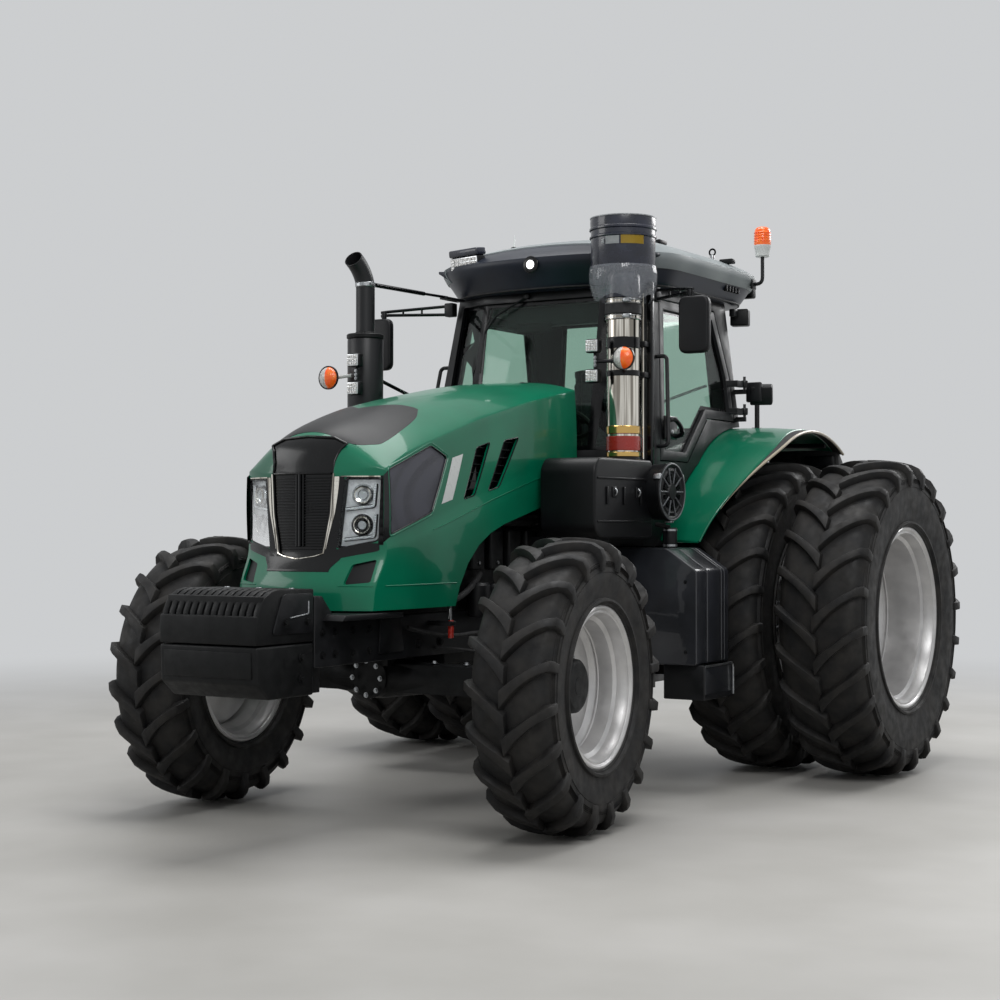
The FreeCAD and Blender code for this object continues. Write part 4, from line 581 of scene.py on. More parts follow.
def sheet_between(function, columns, rows):
    """A grid whose points come from a function of two shares from 0 to 1."""
    bm = bmesh.new()
    bmesh.ops.create_grid(bm, x_segments=columns, y_segments=rows, size=0.5)
    for v in bm.verts:
        v.co = Vector(function(v.co.x + 0.5, v.co.y + 0.5))
    return bm


def thicken(bm, wall):
    """Gives an open sheet a wall along its normals."""
    bmesh.ops.solidify(bm, geom=bm.faces, thickness=wall)
    bmesh.ops.recalc_face_normals(bm, faces=bm.faces)
    return bm


def moved(x=0.0, y=0.0, z=0.0):
    return Matrix.Translation((x, y, z))


def turned_by(degrees, axis):
    return Matrix.Rotation(math.radians(degrees), 4, axis)


FLIP = Matrix.Scale(-1, 4, (1, 0, 0))
UPRIGHT = turned_by(-90, "Y")
HERE = Matrix.Identity(4)


def sided(side):
    """Puts a left-hand shape on one side."""
    return HERE if side == LEFT else FLIP


class Piece:
    """One visible piece, joined from shapes in one or more looks."""

    def __init__(self, name):
        self.name = name
        self.bm = bmesh.new()
        self.looks = []

    def add(self, shape, looks, *places):
        """Joins a shape at each place given, or where it is, in one look or one for each of its materials."""
        names = (looks,) if isinstance(looks, str) else looks
        self.looks += [name for name in names if name not in self.looks]
        indexes = [self.looks.index(name) for name in names]
        mesh = bpy.data.meshes.new("shape")
        shape.to_mesh(mesh)
        for place in places or (HERE,):
            first_face, first_vert = len(self.bm.faces), len(self.bm.verts)
            self.bm.from_mesh(mesh)
            self.bm.faces.ensure_lookup_table()
            self.bm.verts.ensure_lookup_table()
            fresh = self.bm.faces[first_face:]
            bmesh.ops.transform(self.bm, matrix=place, verts=self.bm.verts[first_vert:])
            for face in fresh:
                face.material_index = indexes[min(face.material_index, len(indexes) - 1)]
            if place.determinant() < 0:
                bmesh.ops.reverse_faces(self.bm, faces=fresh)
        bpy.data.meshes.remove(mesh)
        shape.free()
        return self

    def both(self, shape, looks, *places):
        """Joins a left-hand shape and its mirror image."""
        places = places or (HERE,)
        return self.add(shape, looks, *places, *(FLIP @ place for place in places))

    def blocks(self, look, *rows, place=HERE):
        """Joins rounded boxes given by their corners, edge and segments."""
        for row in rows:
            self.add(block(*row), look, place)
        return self

    def done(self, body, *replaced, smooth=35, place=HERE):
        """Makes the object, rides it on its body and hides the nodes that it stands for."""
        bmesh.ops.transform(self.bm, matrix=place, verts=self.bm.verts)
        if place.determinant() < 0:
            bmesh.ops.reverse_faces(self.bm, faces=self.bm.faces)
        mesh = bpy.data.meshes.new(self.name)
        self.bm.to_mesh(mesh)
        self.bm.free()
        for look in self.looks:
            mesh.materials.append(finish(look))
        made = bpy.data.objects.new(self.name, mesh)
        bpy.context.scene.collection.objects.link(made)
        mesh.polygons.foreach_set("use_smooth", [True] * len(mesh.polygons))
        mesh.set_sharp_from_angle(angle=math.radians(smooth))
        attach(made, body)
        if replaced:
            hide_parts(*replaced)
        return made


def cut_away(shape, *cutters):
    """A closed shape with closed cutters taken out of it."""
    holders = []
    for label, parts in (("shape", [shape]), ("cutter", cutters)):
        mesh = bpy.data.meshes.new(label)
        joined = bmesh.new()
        for part in parts:
            part.to_mesh(mesh)
            joined.from_mesh(mesh)
            part.free()
        joined.to_mesh(mesh)
        joined.free()
        holder = bpy.data.objects.new(label, mesh)
        bpy.context.scene.collection.objects.link(holder)
        holders.append(holder)
    knife = holders[0].modifiers.new("cut", "BOOLEAN")
    knife.operation, knife.object, knife.solver = "DIFFERENCE", holders[1], "EXACT"
    knife.use_self = True
    graph = bpy.context.evaluated_depsgraph_get()
    mesh = bpy.data.meshes.new_from_object(holders[0].evaluated_get(graph))
    bm = bmesh.new()
    bm.from_mesh(mesh)
    bpy.data.meshes.remove(mesh)
    for holder in holders:
        bpy.data.objects.remove(holder)
    return bm


def along(rows, at, column):
    """A smooth line through a table's rows, read at a value of its first column."""
    if at <= rows[0][0]:
        return rows[0][column]
    if at >= rows[-1][0]:
        return rows[-1][column]
    i = max(n for n, row in enumerate(rows) if row[0] <= at)
    before, here, there, after = rows[max(i - 1, 0)], rows[i], rows[i + 1], rows[min(i + 2, len(rows) - 1)]
    span = there[0] - here[0]
    f = (at - here[0]) / span
    left = (there[column] - before[column]) / (there[0] - before[0]) * span
    right = (after[column] - here[column]) / (after[0] - here[0]) * span
    rise = there[column] - here[column]
    return here[column] + left * f + (3 * rise - 2 * left - right) * f * f + (left + right - 2 * rise) * f**3


def ease(f):
    f = min(1.0, max(0.0, f))
    return f * f * (3 - 2 * f)


# Tyres and wheels


def tyre_outline(radius, width, rim, rim_width):
    """Half of a tyre's section from the tread's middle to the bead: distance from the middle, radius."""
    half = width / 2
    crown = radius - sizes().lug_height
    rows = [
        (0.00, 0.0, crown),
        (0.22, half * 0.45, crown - 0.004),
        (0.40, half * 0.80, crown - 0.022),
        (0.50, half * 0.93, crown - 0.058),
        (0.62, half * 0.975, crown - 0.105),
        (0.78, half * 0.985, (crown + rim) / 2 - 0.015),
        (0.92, half * 0.93, rim + 0.055),
        (1.00, rim_width / 2 + 0.004, rim + 0.006),
    ]
    return [(along(rows, i / 28, 1), along(rows, i / 28, 2)) for i in range(29)]


def tyre_shape(radius, width, rim, rim_width):
    half = tyre_outline(radius, width, rim, rim_width)
    inner = [(rim_width / 2 - 0.03, rim - 0.018)]
    section = [(-a, r) for a, r in reversed(half[1:])] + half + inner + [
        (-a, r) for a, r in reversed(inner)
    ]
    return turned(section, 120)


def lug_shape(radius, width, rim, rim_width, reach):
    """One curved lug from the tread's middle to the shoulder, bent over the carcass."""
    outline = [Vector(p) for p in tyre_outline(radius, width, rim, rim_width)]
    lengths = [0.0]
    for a, b in zip(outline, outline[1:]):
        lengths.append(lengths[-1] + (b - a).length)
    shoulder = width / 2 * 0.93
    end = shoulder + 0.085
    top_wide, tall = sizes().lug_width / 2, sizes().lug_height

    def on_carcass(distance):
        if distance < 0:
            return Vector((distance, outline[0].y)), Vector((0, 1))
        i = max(n for n, length in enumerate(lengths[:-1]) if length <= distance)
        f = (distance - lengths[i]) / (lengths[i + 1] - lengths[i])
        spot = outline[i].lerp(outline[i + 1], f)
        run = (outline[min(i + 2, 28)] - outline[max(i - 1, 0)]).normalized()
        return spot, Vector((-run.y, run.x))

    bm = bmesh.new()
    bmesh.ops.create_cube(bm, size=1)
    length_edges = [e for e in bm.edges if abs(e.verts[0].co.x - e.verts[1].co.x) > 0.5]
    bmesh.ops.subdivide_edges(bm, edges=length_edges, cuts=9)
    for v in bm.verts:
        f, side, up = v.co.x + 0.5, v.co.y * 2, v.co.z + 0.5
        distance = -0.012 + (end + 0.012) * f
        spot, out = on_carcass(distance)
        over = ease((distance - shoulder * 0.97) / 0.085)
        height = (tall * (1 - 0.72 * over)) * up - 0.012 * (1 - up)
        point = spot + out * height
        point.y = min(point.y, radius)
        foot = 1.45 - 1.1 * min(f, 0.35) / 0.35 * 0.45 + 0.25 * ease((f - 0.6) / 0.3)
        wide = top_wide * foot * (1.0 if up > 0.5 else 1.45)
        share = distance / shoulder
        run = reach * (min(1.0, share) ** 0.85 if distance > 0 else share)
        angle = (run + side * wide * (1.25 - 0.3 * f)) / radius
        v.co = Vector((point.x, -point.y * math.cos(angle), point.y * math.sin(angle)))
    bmesh.ops.recalc_face_normals(bm, faces=bm.faces)
    top = [e for e in bm.edges if e.calc_face_angle(0) > math.radians(38)]
    bmesh.ops.bevel(bm, geom=top, offset=0.0045, offset_type="OFFSET", segments=2, profile=0.5, affect="EDGES",
                    material=-1, clamp_overlap=True)
    return bm


def lugged_tyre(piece, radius, width, rim, rim_width, count, reach, place):
    """A tyre with two staggered rows of lugs; lugs point forwards on top."""
    piece.add(tyre_shape(radius, width, rim, rim_width), "tyre", place)
    lug = lug_shape(radius, width, rim, rim_width, reach)
    turns = [turned_by(-360 / count * i, "X") for i in range(count)]
    half_step = turned_by(-180 / count, "X")
    piece.add(
        lug, "tyre", *(place @ turn for turn in turns), *(place @ FLIP @ half_step @ turn for turn in turns)
    )
    crown = radius - sizes().lug_height
    for drop in (0.075, 0.083, 0.091, 0.099, 0.128):
        at = width / 2 * 0.955 + 0.004 * (drop > 0.08)
        ring = turned(
            [
                (at - 0.004, crown - drop - 0.0022),
                (at + 0.0055, crown - drop),
                (at - 0.004, crown - drop + 0.0022),
            ],
            96,
        )
        piece.add(ring, "tyre", place, place @ FLIP)
    guard = turned(
        [
            (rim_width / 2, rim + 0.012),
            (rim_width / 2 + 0.024, rim + 0.022),
            (rim_width / 2 + 0.022, rim + 0.034),
            (rim_width / 2, rim + 0.04),
        ],
        96,
    )
    piece.add(guard, "tyre", place, place @ FLIP)


def wheel_place(node, side, turn=0.0):
    """The place of a wheel modelled about X with its outer face along +X."""
    place = Matrix.Translation(middle(node)) @ Matrix.Rotation(turn, 4, "Z")
    return place if side == LEFT else place @ FLIP


def rim_section(radius, width, wall=0.010):
    """A rim's closed section: double-bead flanges, bead seats and a well."""
    half = width / 2
    # How far in from the rim's edge, and how far under its radius
    steps = [(0.016, 0.012), (0.012, 0.002), (0.004, 0.0), (0.0, 0.006), (0.0, 0.014), (0.006, 0.022),
             (0.014, 0.028), (0.032, 0.032), (0.040, 0.036), (0.075, 0.041), (0.088, 0.062), (0.15, 0.072)]
    outer = [(half - inward, radius - under) for inward, under in steps]
    inner = [(a - (0.004 if i == 0 else -0.002), r - wall) for i, (a, r) in enumerate(outer[5:])]
    return [(-a, r) for a, r in outer] + outer[::-1] + inner + [(-a, r) for a, r in reversed(inner)]


def add_wheel(piece, place, radius, width, disc_x, hub, steps, holes, stud_ring):
    """A pressed wheel: barrel, stepped disc welded inside it, and bolts round the hub."""
    piece.add(turned(rim_section(radius, width), 96), "wheel", place)
    well = radius - 0.07
    wall = 0.012
    front = [(disc_x, hub)] + [(disc_x + dx, hub + (well - hub) * f) for dx, f in steps]
    back = [(a - wall, r) for a, r in reversed(front)]
    piece.add(turned(front + back, 96), "wheel", place)
    bead = turned(
        [
            (front[-1][0], well - 0.004),
            (front[-1][0] + 0.014, well - 0.002),
            (front[-1][0] + 0.002, well - 0.018),
        ],
        96,
    )
    piece.add(bead, "wheel", place)
    stud = moved(disc_x + 0.001, 0, stud_ring) @ turned_by(90, "Y")
    spots = [place @ turned_by(360 / holes * i, "X") @ stud for i in range(holes)]
    piece.add(bolt(sizes().bolt_radius, 0.016), "zinc", *spots)


class TRACTOR_OT_tyres(bpy.types.Operator):
    """Lugged front tyres and twin rear tyres."""

    bl_idname = "tractor.tyres"
    bl_label = "Tyres"

    def execute(self, context):
        for side, word in SIDES:
            radius = middle(f"front_rim_{word}").z
            tyre = Piece(f"front_tyre_{word}_lugged")
            place = wheel_place(f"front_rim_{word}", side, STEER)
            lugged_tyre(tyre, radius, *FRONT_WHEEL, sizes().front_lugs, 0.17, place)
            tyre.done(f"front_wheel_{word}", f"front_tyre_{word}", smooth=32)
            tyre = Piece(f"rear_tyres_{word}_lugged")
            low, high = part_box(f"rear_tyres_{word}")
            for at in (low.x + REAR_WHEEL[0] / 2, high.x - REAR_WHEEL[0] / 2):
                place = moved(at, REAR, REAR_Z) @ sided(side)
                lugged_tyre(tyre, REAR_Z, *REAR_WHEEL, sizes().rear_lugs, 0.21, place)
            tyre.done(f"rear_wheels_{word}", f"rear_tyres_{word}", smooth=32)
        return {"FINISHED"}


class TRACTOR_OT_wheels(bpy.types.Operator):
    """Pressed wheels with their discs, hubs and bolts."""

    bl_idname = "tractor.wheels"
    bl_label = "Wheels"

    def execute(self, context):
        # Steps of a disc: distance outwards, share of the way from hub to rim
        shallow = [(0.0, 0.28), (0.006, 0.34), (0.012, 0.62), (0.018, 0.84), (0.05, 0.95), (0.055, 1.0)]
        deep = [
            (0.0, 0.22),
            (0.012, 0.27),
            (0.012, 0.5),
            (0.03, 0.56),
            (0.03, 0.76),
            (0.055, 0.84),
            (0.075, 0.96),
            (0.08, 1.0),
        ]
        for side, word in SIDES:
            wheel = Piece(f"front_wheel_{word}_pressed")
            place = wheel_place(f"front_rim_{word}", side, STEER)
            add_wheel(wheel, place, *FRONT_WHEEL[1:], -0.030, 0.10, shallow, 10, 0.165)
            wheel.done(f"front_wheel_{word}", f"front_rim_{word}", smooth=30)
            hub = Piece(f"front_hub_{word}_cap")
            cap = [
                (-0.02, 0.0),
                (-0.02, 0.138),
                (0.03, 0.138),
                (0.044, 0.128),
                (0.046, 0.10),
                (0.058, 0.094),
                (0.06, 0.052),
                (0.068, 0.046),
                (0.07, 0.0),
            ]
            hub.add(turned(cap, 64, closed=False), "cast", place)
            ring = [
                place @ turned_by(45 * i, "X") @ moved(0.045, 0, 0.115) @ turned_by(90, "Y")
                for i in range(8)
            ]
            hub.add(bolt(0.011, 0.009), "cast", *ring)
            hub.done(f"front_wheel_{word}")
            wheels = Piece(f"rear_wheels_{word}_pressed")
            low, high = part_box(f"rear_rims_{word}")
            inner_x, outer_x = (low.x, high.x) if side == LEFT else (high.x, low.x)
            half = REAR_WHEEL[2] / 2 * side
            inner_place = moved(inner_x + half, REAR, REAR_Z) @ sided(side)
            outer_place = moved(outer_x - half, REAR, REAR_Z) @ sided(side)
            plain = [(0, 0.4), (0.02, 0.6), (0.03, 1.0)]
            add_wheel(wheels, inner_place, *REAR_WHEEL[1:], 0.108, 0.17, plain, 10, 0.24)
            add_wheel(wheels, outer_place, *REAR_WHEEL[1:], -0.152, 0.12, deep, 12, 0.19)
            wheels.done(f"rear_wheels_{word}", f"rear_rims_{word}", smooth=30)
        return {"FINISHED"}


# Hood


def behind(y):
    """A place given behind the front axle, in the frame."""
    return FRONT + y


# Behind the front axle: crown height; crease height, half width; fold height, half width; foot half width
HOOD_LINES = [
    (-0.71, 1.800, 1.800, 0.424, 1.420, 0.424, 0.400),
    (-0.69, 1.915, 1.802, 0.426, 1.422, 0.426, 0.404),
    (-0.65, 1.985, 1.806, 0.430, 1.428, 0.432, 0.410),
    (-0.57, 2.038, 1.826, 0.434, 1.440, 0.440, 0.420),
    (-0.40, 2.100, 1.908, 0.438, 1.472, 0.452, 0.434),
    (-0.10, 2.186, 2.004, 0.441, 1.546, 0.460, 0.446),
    (0.35, 2.272, 2.132, 0.443, 1.677, 0.463, 0.450),
    (0.80, 2.345, 2.236, 0.443, 1.793, 0.463, 0.452),
    (TAIL - FRONT, 2.390, 2.330, 0.440, 1.911, 0.463, 0.454),
]
LIP = 1.80
FACE_TURN = 24.0
FOREHEAD = [(LIP, 0.0), (1.915, 0.02), (1.985, 0.06), (2.04, 0.14)]
HOOD_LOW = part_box("hood_shell")[0].z
FOLD_STEP = 0.010


def nose(x, z):
    """How far behind the front axle the hood's face lies."""
    chin = 0.078 * ease((1.43 - z) / 0.22)
    return -0.71 + 0.70 * x * x - chin + along(FOREHEAD, z, 1)


def hood_side(y, z):
    """The hood's half width at a place on its side, under the crease."""
    crease, crease_half = along(HOOD_LINES, y, 2), along(HOOD_LINES, y, 3)
    fold, fold_half, foot_half = (along(HOOD_LINES, y, c) for c in (4, 5, 6))
    if z >= fold:
        f = (z - fold) / (crease - fold)
        step = FOLD_STEP * ease((z - fold) / 0.022)
        return fold_half - step + (crease_half - fold_half + step) * f + 0.006 * math.sin(math.pi * f)
    f = (z - HOOD_LOW) / (fold - HOOD_LOW)
    return foot_half + (fold_half - foot_half) * math.sin(math.pi / 2 * min(1.0, f + 0.25)) ** 0.6


def hood_top(x, y):
    """The hood's height on top, at a place behind the front axle."""
    crease, half = along(HOOD_LINES, y, 2), along(HOOD_LINES, y, 3)
    crown = along(HOOD_LINES, y - 0.70 * x * x * ease(1 - (y + 0.71) / 0.5), 1)
    return crease + (crown - crease) * (1 - min(1.0, abs(x) / half) ** 2.5)


def hood_form():
    """The hood's outer skin as an open shell, from a box whose points are moved onto its lines."""
    bm = bmesh.new()
    bmesh.ops.create_cube(bm, size=1, matrix=Matrix.Translation((0, 0.5, 0.5)))
    for axis, cuts in ((0, 21), (1, 43), (2, 23)):
        run = [e for e in bm.edges if abs(e.verts[0].co[axis] - e.verts[1].co[axis]) > 0.9]
        bmesh.ops.subdivide_edges(bm, edges=run, cuts=cuts, use_grid_fill=True)
    lost = [f for f in bm.faces if f.calc_center_median().z < 1e-4 or f.calc_center_median().y > 1 - 1e-4]
    bmesh.ops.delete(bm, geom=lost, context="FACES")
    crease_edges = []
    for e in bm.edges:
        a, b = (v.co for v in e.verts)
        sides = abs(a.x) > 0.499 and abs(b.x) > 0.499 and a.x * b.x > 0
        tops, fronts = a.z > 0.999 and b.z > 0.999, a.y < 1e-4 and b.y < 1e-4
        if (sides and tops) or (sides and fronts) or (tops and fronts):
            crease_edges.append(e)
    for v in bm.verts:
        u, f, w = v.co.x * 2, v.co.y**1.5, v.co.z
        y = -0.71 + (TAIL - FRONT + 0.71) * f
        for _ in range(3):
            fold, crease = along(HOOD_LINES, y, 4), along(HOOD_LINES, y, 2)
            z = HOOD_LOW + (fold - HOOD_LOW) * w / 0.45 if w < 0.45 else fold + (crease - fold) * (w - 0.45) / 0.55
            x = u * hood_side(y, z)
            start = nose(x, min(z, LIP))
            y = start + (TAIL - FRONT - start) * f
        if w > 0.999:
            z = hood_top(x, y)
        v.co = Vector((x, behind(y), z))
    bmesh.ops.recalc_face_normals(bm, faces=bm.faces)
    outward = max(bm.faces, key=lambda face: face.calc_center_median().z)
    if outward.normal.z < 0:
        bmesh.ops.reverse_faces(bm, faces=bm.faces)
    bmesh.ops.bevel(bm, geom=[e for e in crease_edges if e.is_valid], offset=0.011, offset_type="OFFSET", segments=3, profile=0.5,
                    affect="EDGES", material=-1, clamp_overlap=True)
    return bm


def walled(bm, wall):
    """An open skin with a wall added on its inside."""
    mesh = bpy.data.meshes.new("skin")
    bm.to_mesh(mesh)
    bm.free()
    holder = bpy.data.objects.new("skin", mesh)
    bpy.context.scene.collection.objects.link(holder)
    inward = holder.modifiers.new("wall", "SOLIDIFY")
    inward.thickness, inward.offset, inward.use_even_offset = wall, -1, False
    graph = bpy.context.evaluated_depsgraph_get()
    solid = bpy.data.meshes.new_from_object(holder.evaluated_get(graph))
    out = bmesh.new()
    out.from_mesh(solid)
    bpy.data.objects.remove(holder)
    bpy.data.meshes.remove(solid)
    return out


def rounded(corners, radius, steps=4):
    """An outline with each corner replaced by a short curve."""
    out = []
    for before, here, after in zip(corners[-1:] + corners[:-1], corners, corners[1:] + corners[:1]):
        before, here, after = Vector(before), Vector(here), Vector(after)
        reach = min(radius, (before - here).length * 0.45, (after - here).length * 0.45)
        first = here + (before - here).normalized() * reach
        last = here + (after - here).normalized() * reach
        for i in range(steps + 1):
            f = i / steps
            out.append(tuple(first.lerp(here, f).lerp(here.lerp(last, f), f)))
    return out


GRILLE_EDGE = [(0.0, 1.374), (0.095, 1.388), (0.140, 1.402), (0.181, 1.60), (0.195, LIP), (0.192, 1.86), (0.212, 1.920), (0.236, 1.950),
               (0.16, 1.982), (0.0, 1.992)]
GRILLE = GRILLE_EDGE + [(-x, z) for x, z in reversed(GRILLE_EDGE[1:-1])]
LAMP = [(0.204, 1.424), (0.408, 1.466), (0.420, 1.782), (0.244, 1.782)]
SCREEN = [(-0.548, 1.822), (-0.189, 1.952), (-0.052, 1.898), (-0.195, 1.610), (-0.535, 1.500)]
ARCH = [(0.0, 1.0), (0.02, 1.13), (0.053, 1.225), (0.13, 1.345), (0.235, 1.440), (0.35, 1.503), (0.485, 1.55), (0.75, 1.613),
        (1.015, 1.677), (1.05, 1.819), (1.40, 1.88), (1.40, 1.0)]
VENTS = [
    [(0.227, 1.957), (0.362, 1.991), (0.205, 1.703), (0.098, 1.680)],
    [(0.505, 2.006), (0.655, 2.029), (0.450, 1.752), (0.335, 1.728)],
]
CHIN_RECESS = [(0.282, 1.252), (0.404, 1.264), (0.404, 1.376), (0.298, 1.350)]


def shifted(outline):
    return [(behind(a), b) for a, b in outline]


def face_panel(edges_at, low, high, depth, rows=24, columns=16, wall=0.004):
    """A panel following the hood's face, with its left and right edge given for each height."""

    def spot(s, t):
        z = low + (high - low) * t
        left, right = edges_at(z)
        x = left + (right - left) * s
        return (x, behind(nose(x, z)) + depth, z)

    return thicken(sheet_between(spot, columns, rows), wall)


def face_line(corners, radius, depth, bend=0.03):
    """A thin bar laid along the hood's face through (x, z) corners."""
    points = [(x, behind(nose(x, z)) + depth, z) for x, z in corners]
    return pipe(points, radius, bend, 8)


def dense(corners, count, closed=False):
    """More points along straight runs, so that a line can follow a curved face."""
    out = []
    ends = list(zip(corners, corners[1:])) + ([(corners[-1], corners[0])] if closed else [])
    for a, b in ends:
        out += [tuple(Vector(a).lerp(Vector(b), i / count)) for i in range(count)]
    return out + [corners[0] if closed else corners[-1]]


def crossings(outline, z):
    """Where a closed outline of (place, height) crosses a height."""
    found = []
    for (a, b), (c, d) in zip(outline, outline[1:] + outline[:1]):
        if (b - z) * (d - z) <= 0 and b != d:
            found.append(a + (c - a) * (z - b) / (d - b))
    return found


def half_at(outline, z):
    """The widest x of an outline at a height."""
    return max([0.0] + [abs(x) for x in crossings(outline, z)])


def side_panel(outline, depth, wall, columns=14, rows=14):
    """A panel following the hood's left side inside a convex (y, z) outline."""
    low, high = min(z for _, z in outline), max(z for _, z in outline)

    def spot(s, t):
        z = low + 0.002 + (high - low - 0.004) * t
        found = crossings(outline, z)
        y = min(found) + (max(found) - min(found)) * s
        return (hood_side(y, z) - depth, behind(y), z)

    return thicken(sheet_between(spot, columns, rows), wall)


def side_line(corners, radius, depth=0.0, bend=0.02):
    points = [(hood_side(y, z) - depth, behind(y), z) for y, z in corners]
    return pipe(points, radius, bend, 8)


# The raised bead round the side screen, and the ledge low on side and face
SCREEN_BEAD = [(-0.556, 1.832), (-0.190, 1.968), (-0.034, 1.904), (-0.186, 1.600), (-0.543, 1.486)]
LEDGE = 1.246
# Behind the front axle: half width of the black panel on the crown, and of the green notch behind it
CROWN_EDGE = [(-0.64, 0.20), (-0.60, 0.262), (-0.55, 0.305), (-0.48, 0.343), (-0.33, 0.343), (-0.14, 0.312),
              (-0.045, 0.262)]
CROWN_NOTCH = [(-0.215, 0.0), (-0.18, 0.05), (-0.08, 0.16), (-0.045, 0.235)]


def crown_spot(s, t):
    """A point of the black panel on the hood's crown."""
    y = -0.645 + 0.60 * t
    inner, outer = along(CROWN_NOTCH, y, 1), along(CROWN_EDGE, y, 1)
    x = inner + (outer - inner) * s
    bow = 0.03 * (1 - (x / 0.3) ** 2) * ease(1 - t * 6)
    return (x, behind(y + bow), hood_top(x, y + bow) + 0.0012)


def stripe_spot(s, t):
    """A point of the bare white stripe on the hood's side."""
    y = -0.108 + 0.104 * t + 0.100 * s
    z = 1.655 + 0.24 * t + 0.024 * s
    return (hood_side(y, z) + 0.0010, behind(y), z)


def faced(outline, side):
    """An (x, z) outline as it lies on one side of the middle."""
    return outline if side == LEFT else [(-x, z) for x, z in reversed(outline)]


class TRACTOR_OT_hood(bpy.types.Operator):
    """Hood shell with its openings, black crown panel, stripe and trims."""

    bl_idname = "tractor.hood"
    bl_label = "Hood"

    def execute(self, context):
        front = behind(-1.0)
        cutters = [plate(GRILLE, front, behind(-0.56), "Y", 0), plate(shifted(ARCH), -1, 1, "X", 0)]
        for side in (LEFT, RIGHT):
            cutters.append(plate(faced(rounded(LAMP, 0.03), side), front, behind(-0.40), "Y", 0))
            cutters.append(plate(faced(rounded(CHIN_RECESS, 0.012), side), front, behind(-0.5), "Y", 0))
            low, high = (0.39, 0.6) if side == LEFT else (-0.6, -0.39)
            for hole in (SCREEN, *VENTS):
                cutters.append(plate(shifted(rounded(hole, 0.02)), low, high, "X", 0))
        shell = cut_away(walled(hood_form(), 0.016), *cutters)
        bmesh.ops.remove_doubles(shell, verts=shell.verts, dist=1e-4)
        hood = Piece("hood_skin").add(shell, "paint")
        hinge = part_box("hood_hinge_post")[1].z - 0.012
        hood.both(block((0.14, TAIL - 0.13, hinge - 0.024), (0.17, TAIL, hinge + 0.03)), "frame")
        hood.done("hood", "hood_shell", smooth=28)

        trims = Piece("hood_trims")
        trims.both(thicken(sheet_between(crown_spot, 14, 48), 0.0012), "plastic")
        trims.both(thicken(sheet_between(stripe_spot, 6, 14), 0.0008), "white")
        for vent in VENTS:
            trims.both(side_line(dense(rounded(vent, 0.02), 2, True), 0.0035, 0.001), "gloss")
            upper, lower = (vent[0][0] + vent[1][0]) / 2, (vent[2][0] + vent[3][0]) / 2
            for i in range(6):
                f = (i + 0.7) / 6.4
                y, z = behind(lower + (upper - lower) * f), vent[2][1] + (vent[1][1] - vent[2][1]) * f
                slat = block((0.405, y - 0.062, z - 0.002), (0.437, y + 0.058, z + 0.002), 0.001, 1)
                trims.both(slat, "plastic")
            trims.both(plate(shifted(vent), 0.400, 0.406, "X", 0), "plastic")
        fold = [(y, along(HOOD_LINES, y, 4)) for y in (-0.19 + 0.05 * i for i in range(30))]
        trims.both(side_line(fold, 0.0022, 0.0005), "paint")
        trims.both(side_line(dense(rounded(SCREEN_BEAD, 0.024), 3, True), 0.006, 0.003), "paint")
        trims.both(side_line([(-0.58 + 0.05 * i, LEDGE) for i in range(13)], 0.0035, 0.0005), "paint")
        trims.both(face_line([(0.26 + 0.02 * i, LEDGE) for i in range(9)], 0.0035, 0.0005), "paint")
        recess = face_panel(lambda z: (0.268 + (z - 1.262) * 0.15, 0.412), 1.244, 1.384, 0.018, 6, 6)
        trims.both(recess, "plastic")
        trims.done("hood")
        return {"FINISHED"}


GRILLE_BARS = 26
# Sections of a headlamp unit: distance along its axis, radius
BOWL = [(0.0, 0.020), (-0.012, 0.044), (0.004, 0.056), (0.03, 0.058), (0.034, 0.050), (0.02, 0.018)]
EYE = [(-0.016, 0.0), (-0.012, 0.018), (0.0, 0.030), (0.01, 0.034), (0.02, 0.034), (0.02, 0.0)]
EYE_RING = [(-0.02, 0.036), (-0.022, 0.040), (-0.018, 0.044), (-0.010, 0.042)]


def grille_half(z):
    """The grille opening's half width at a height."""
    return half_at(GRILLE, z)


def lamp_inner(z):
    """The headlamp opening's inner edge at a height."""
    return 0.204 + (z - 1.424) * 0.112


def lamp_outer(z):
    """The headlamp opening's outer edge at a height."""
    return 0.409 + (z - 1.466) * 0.035


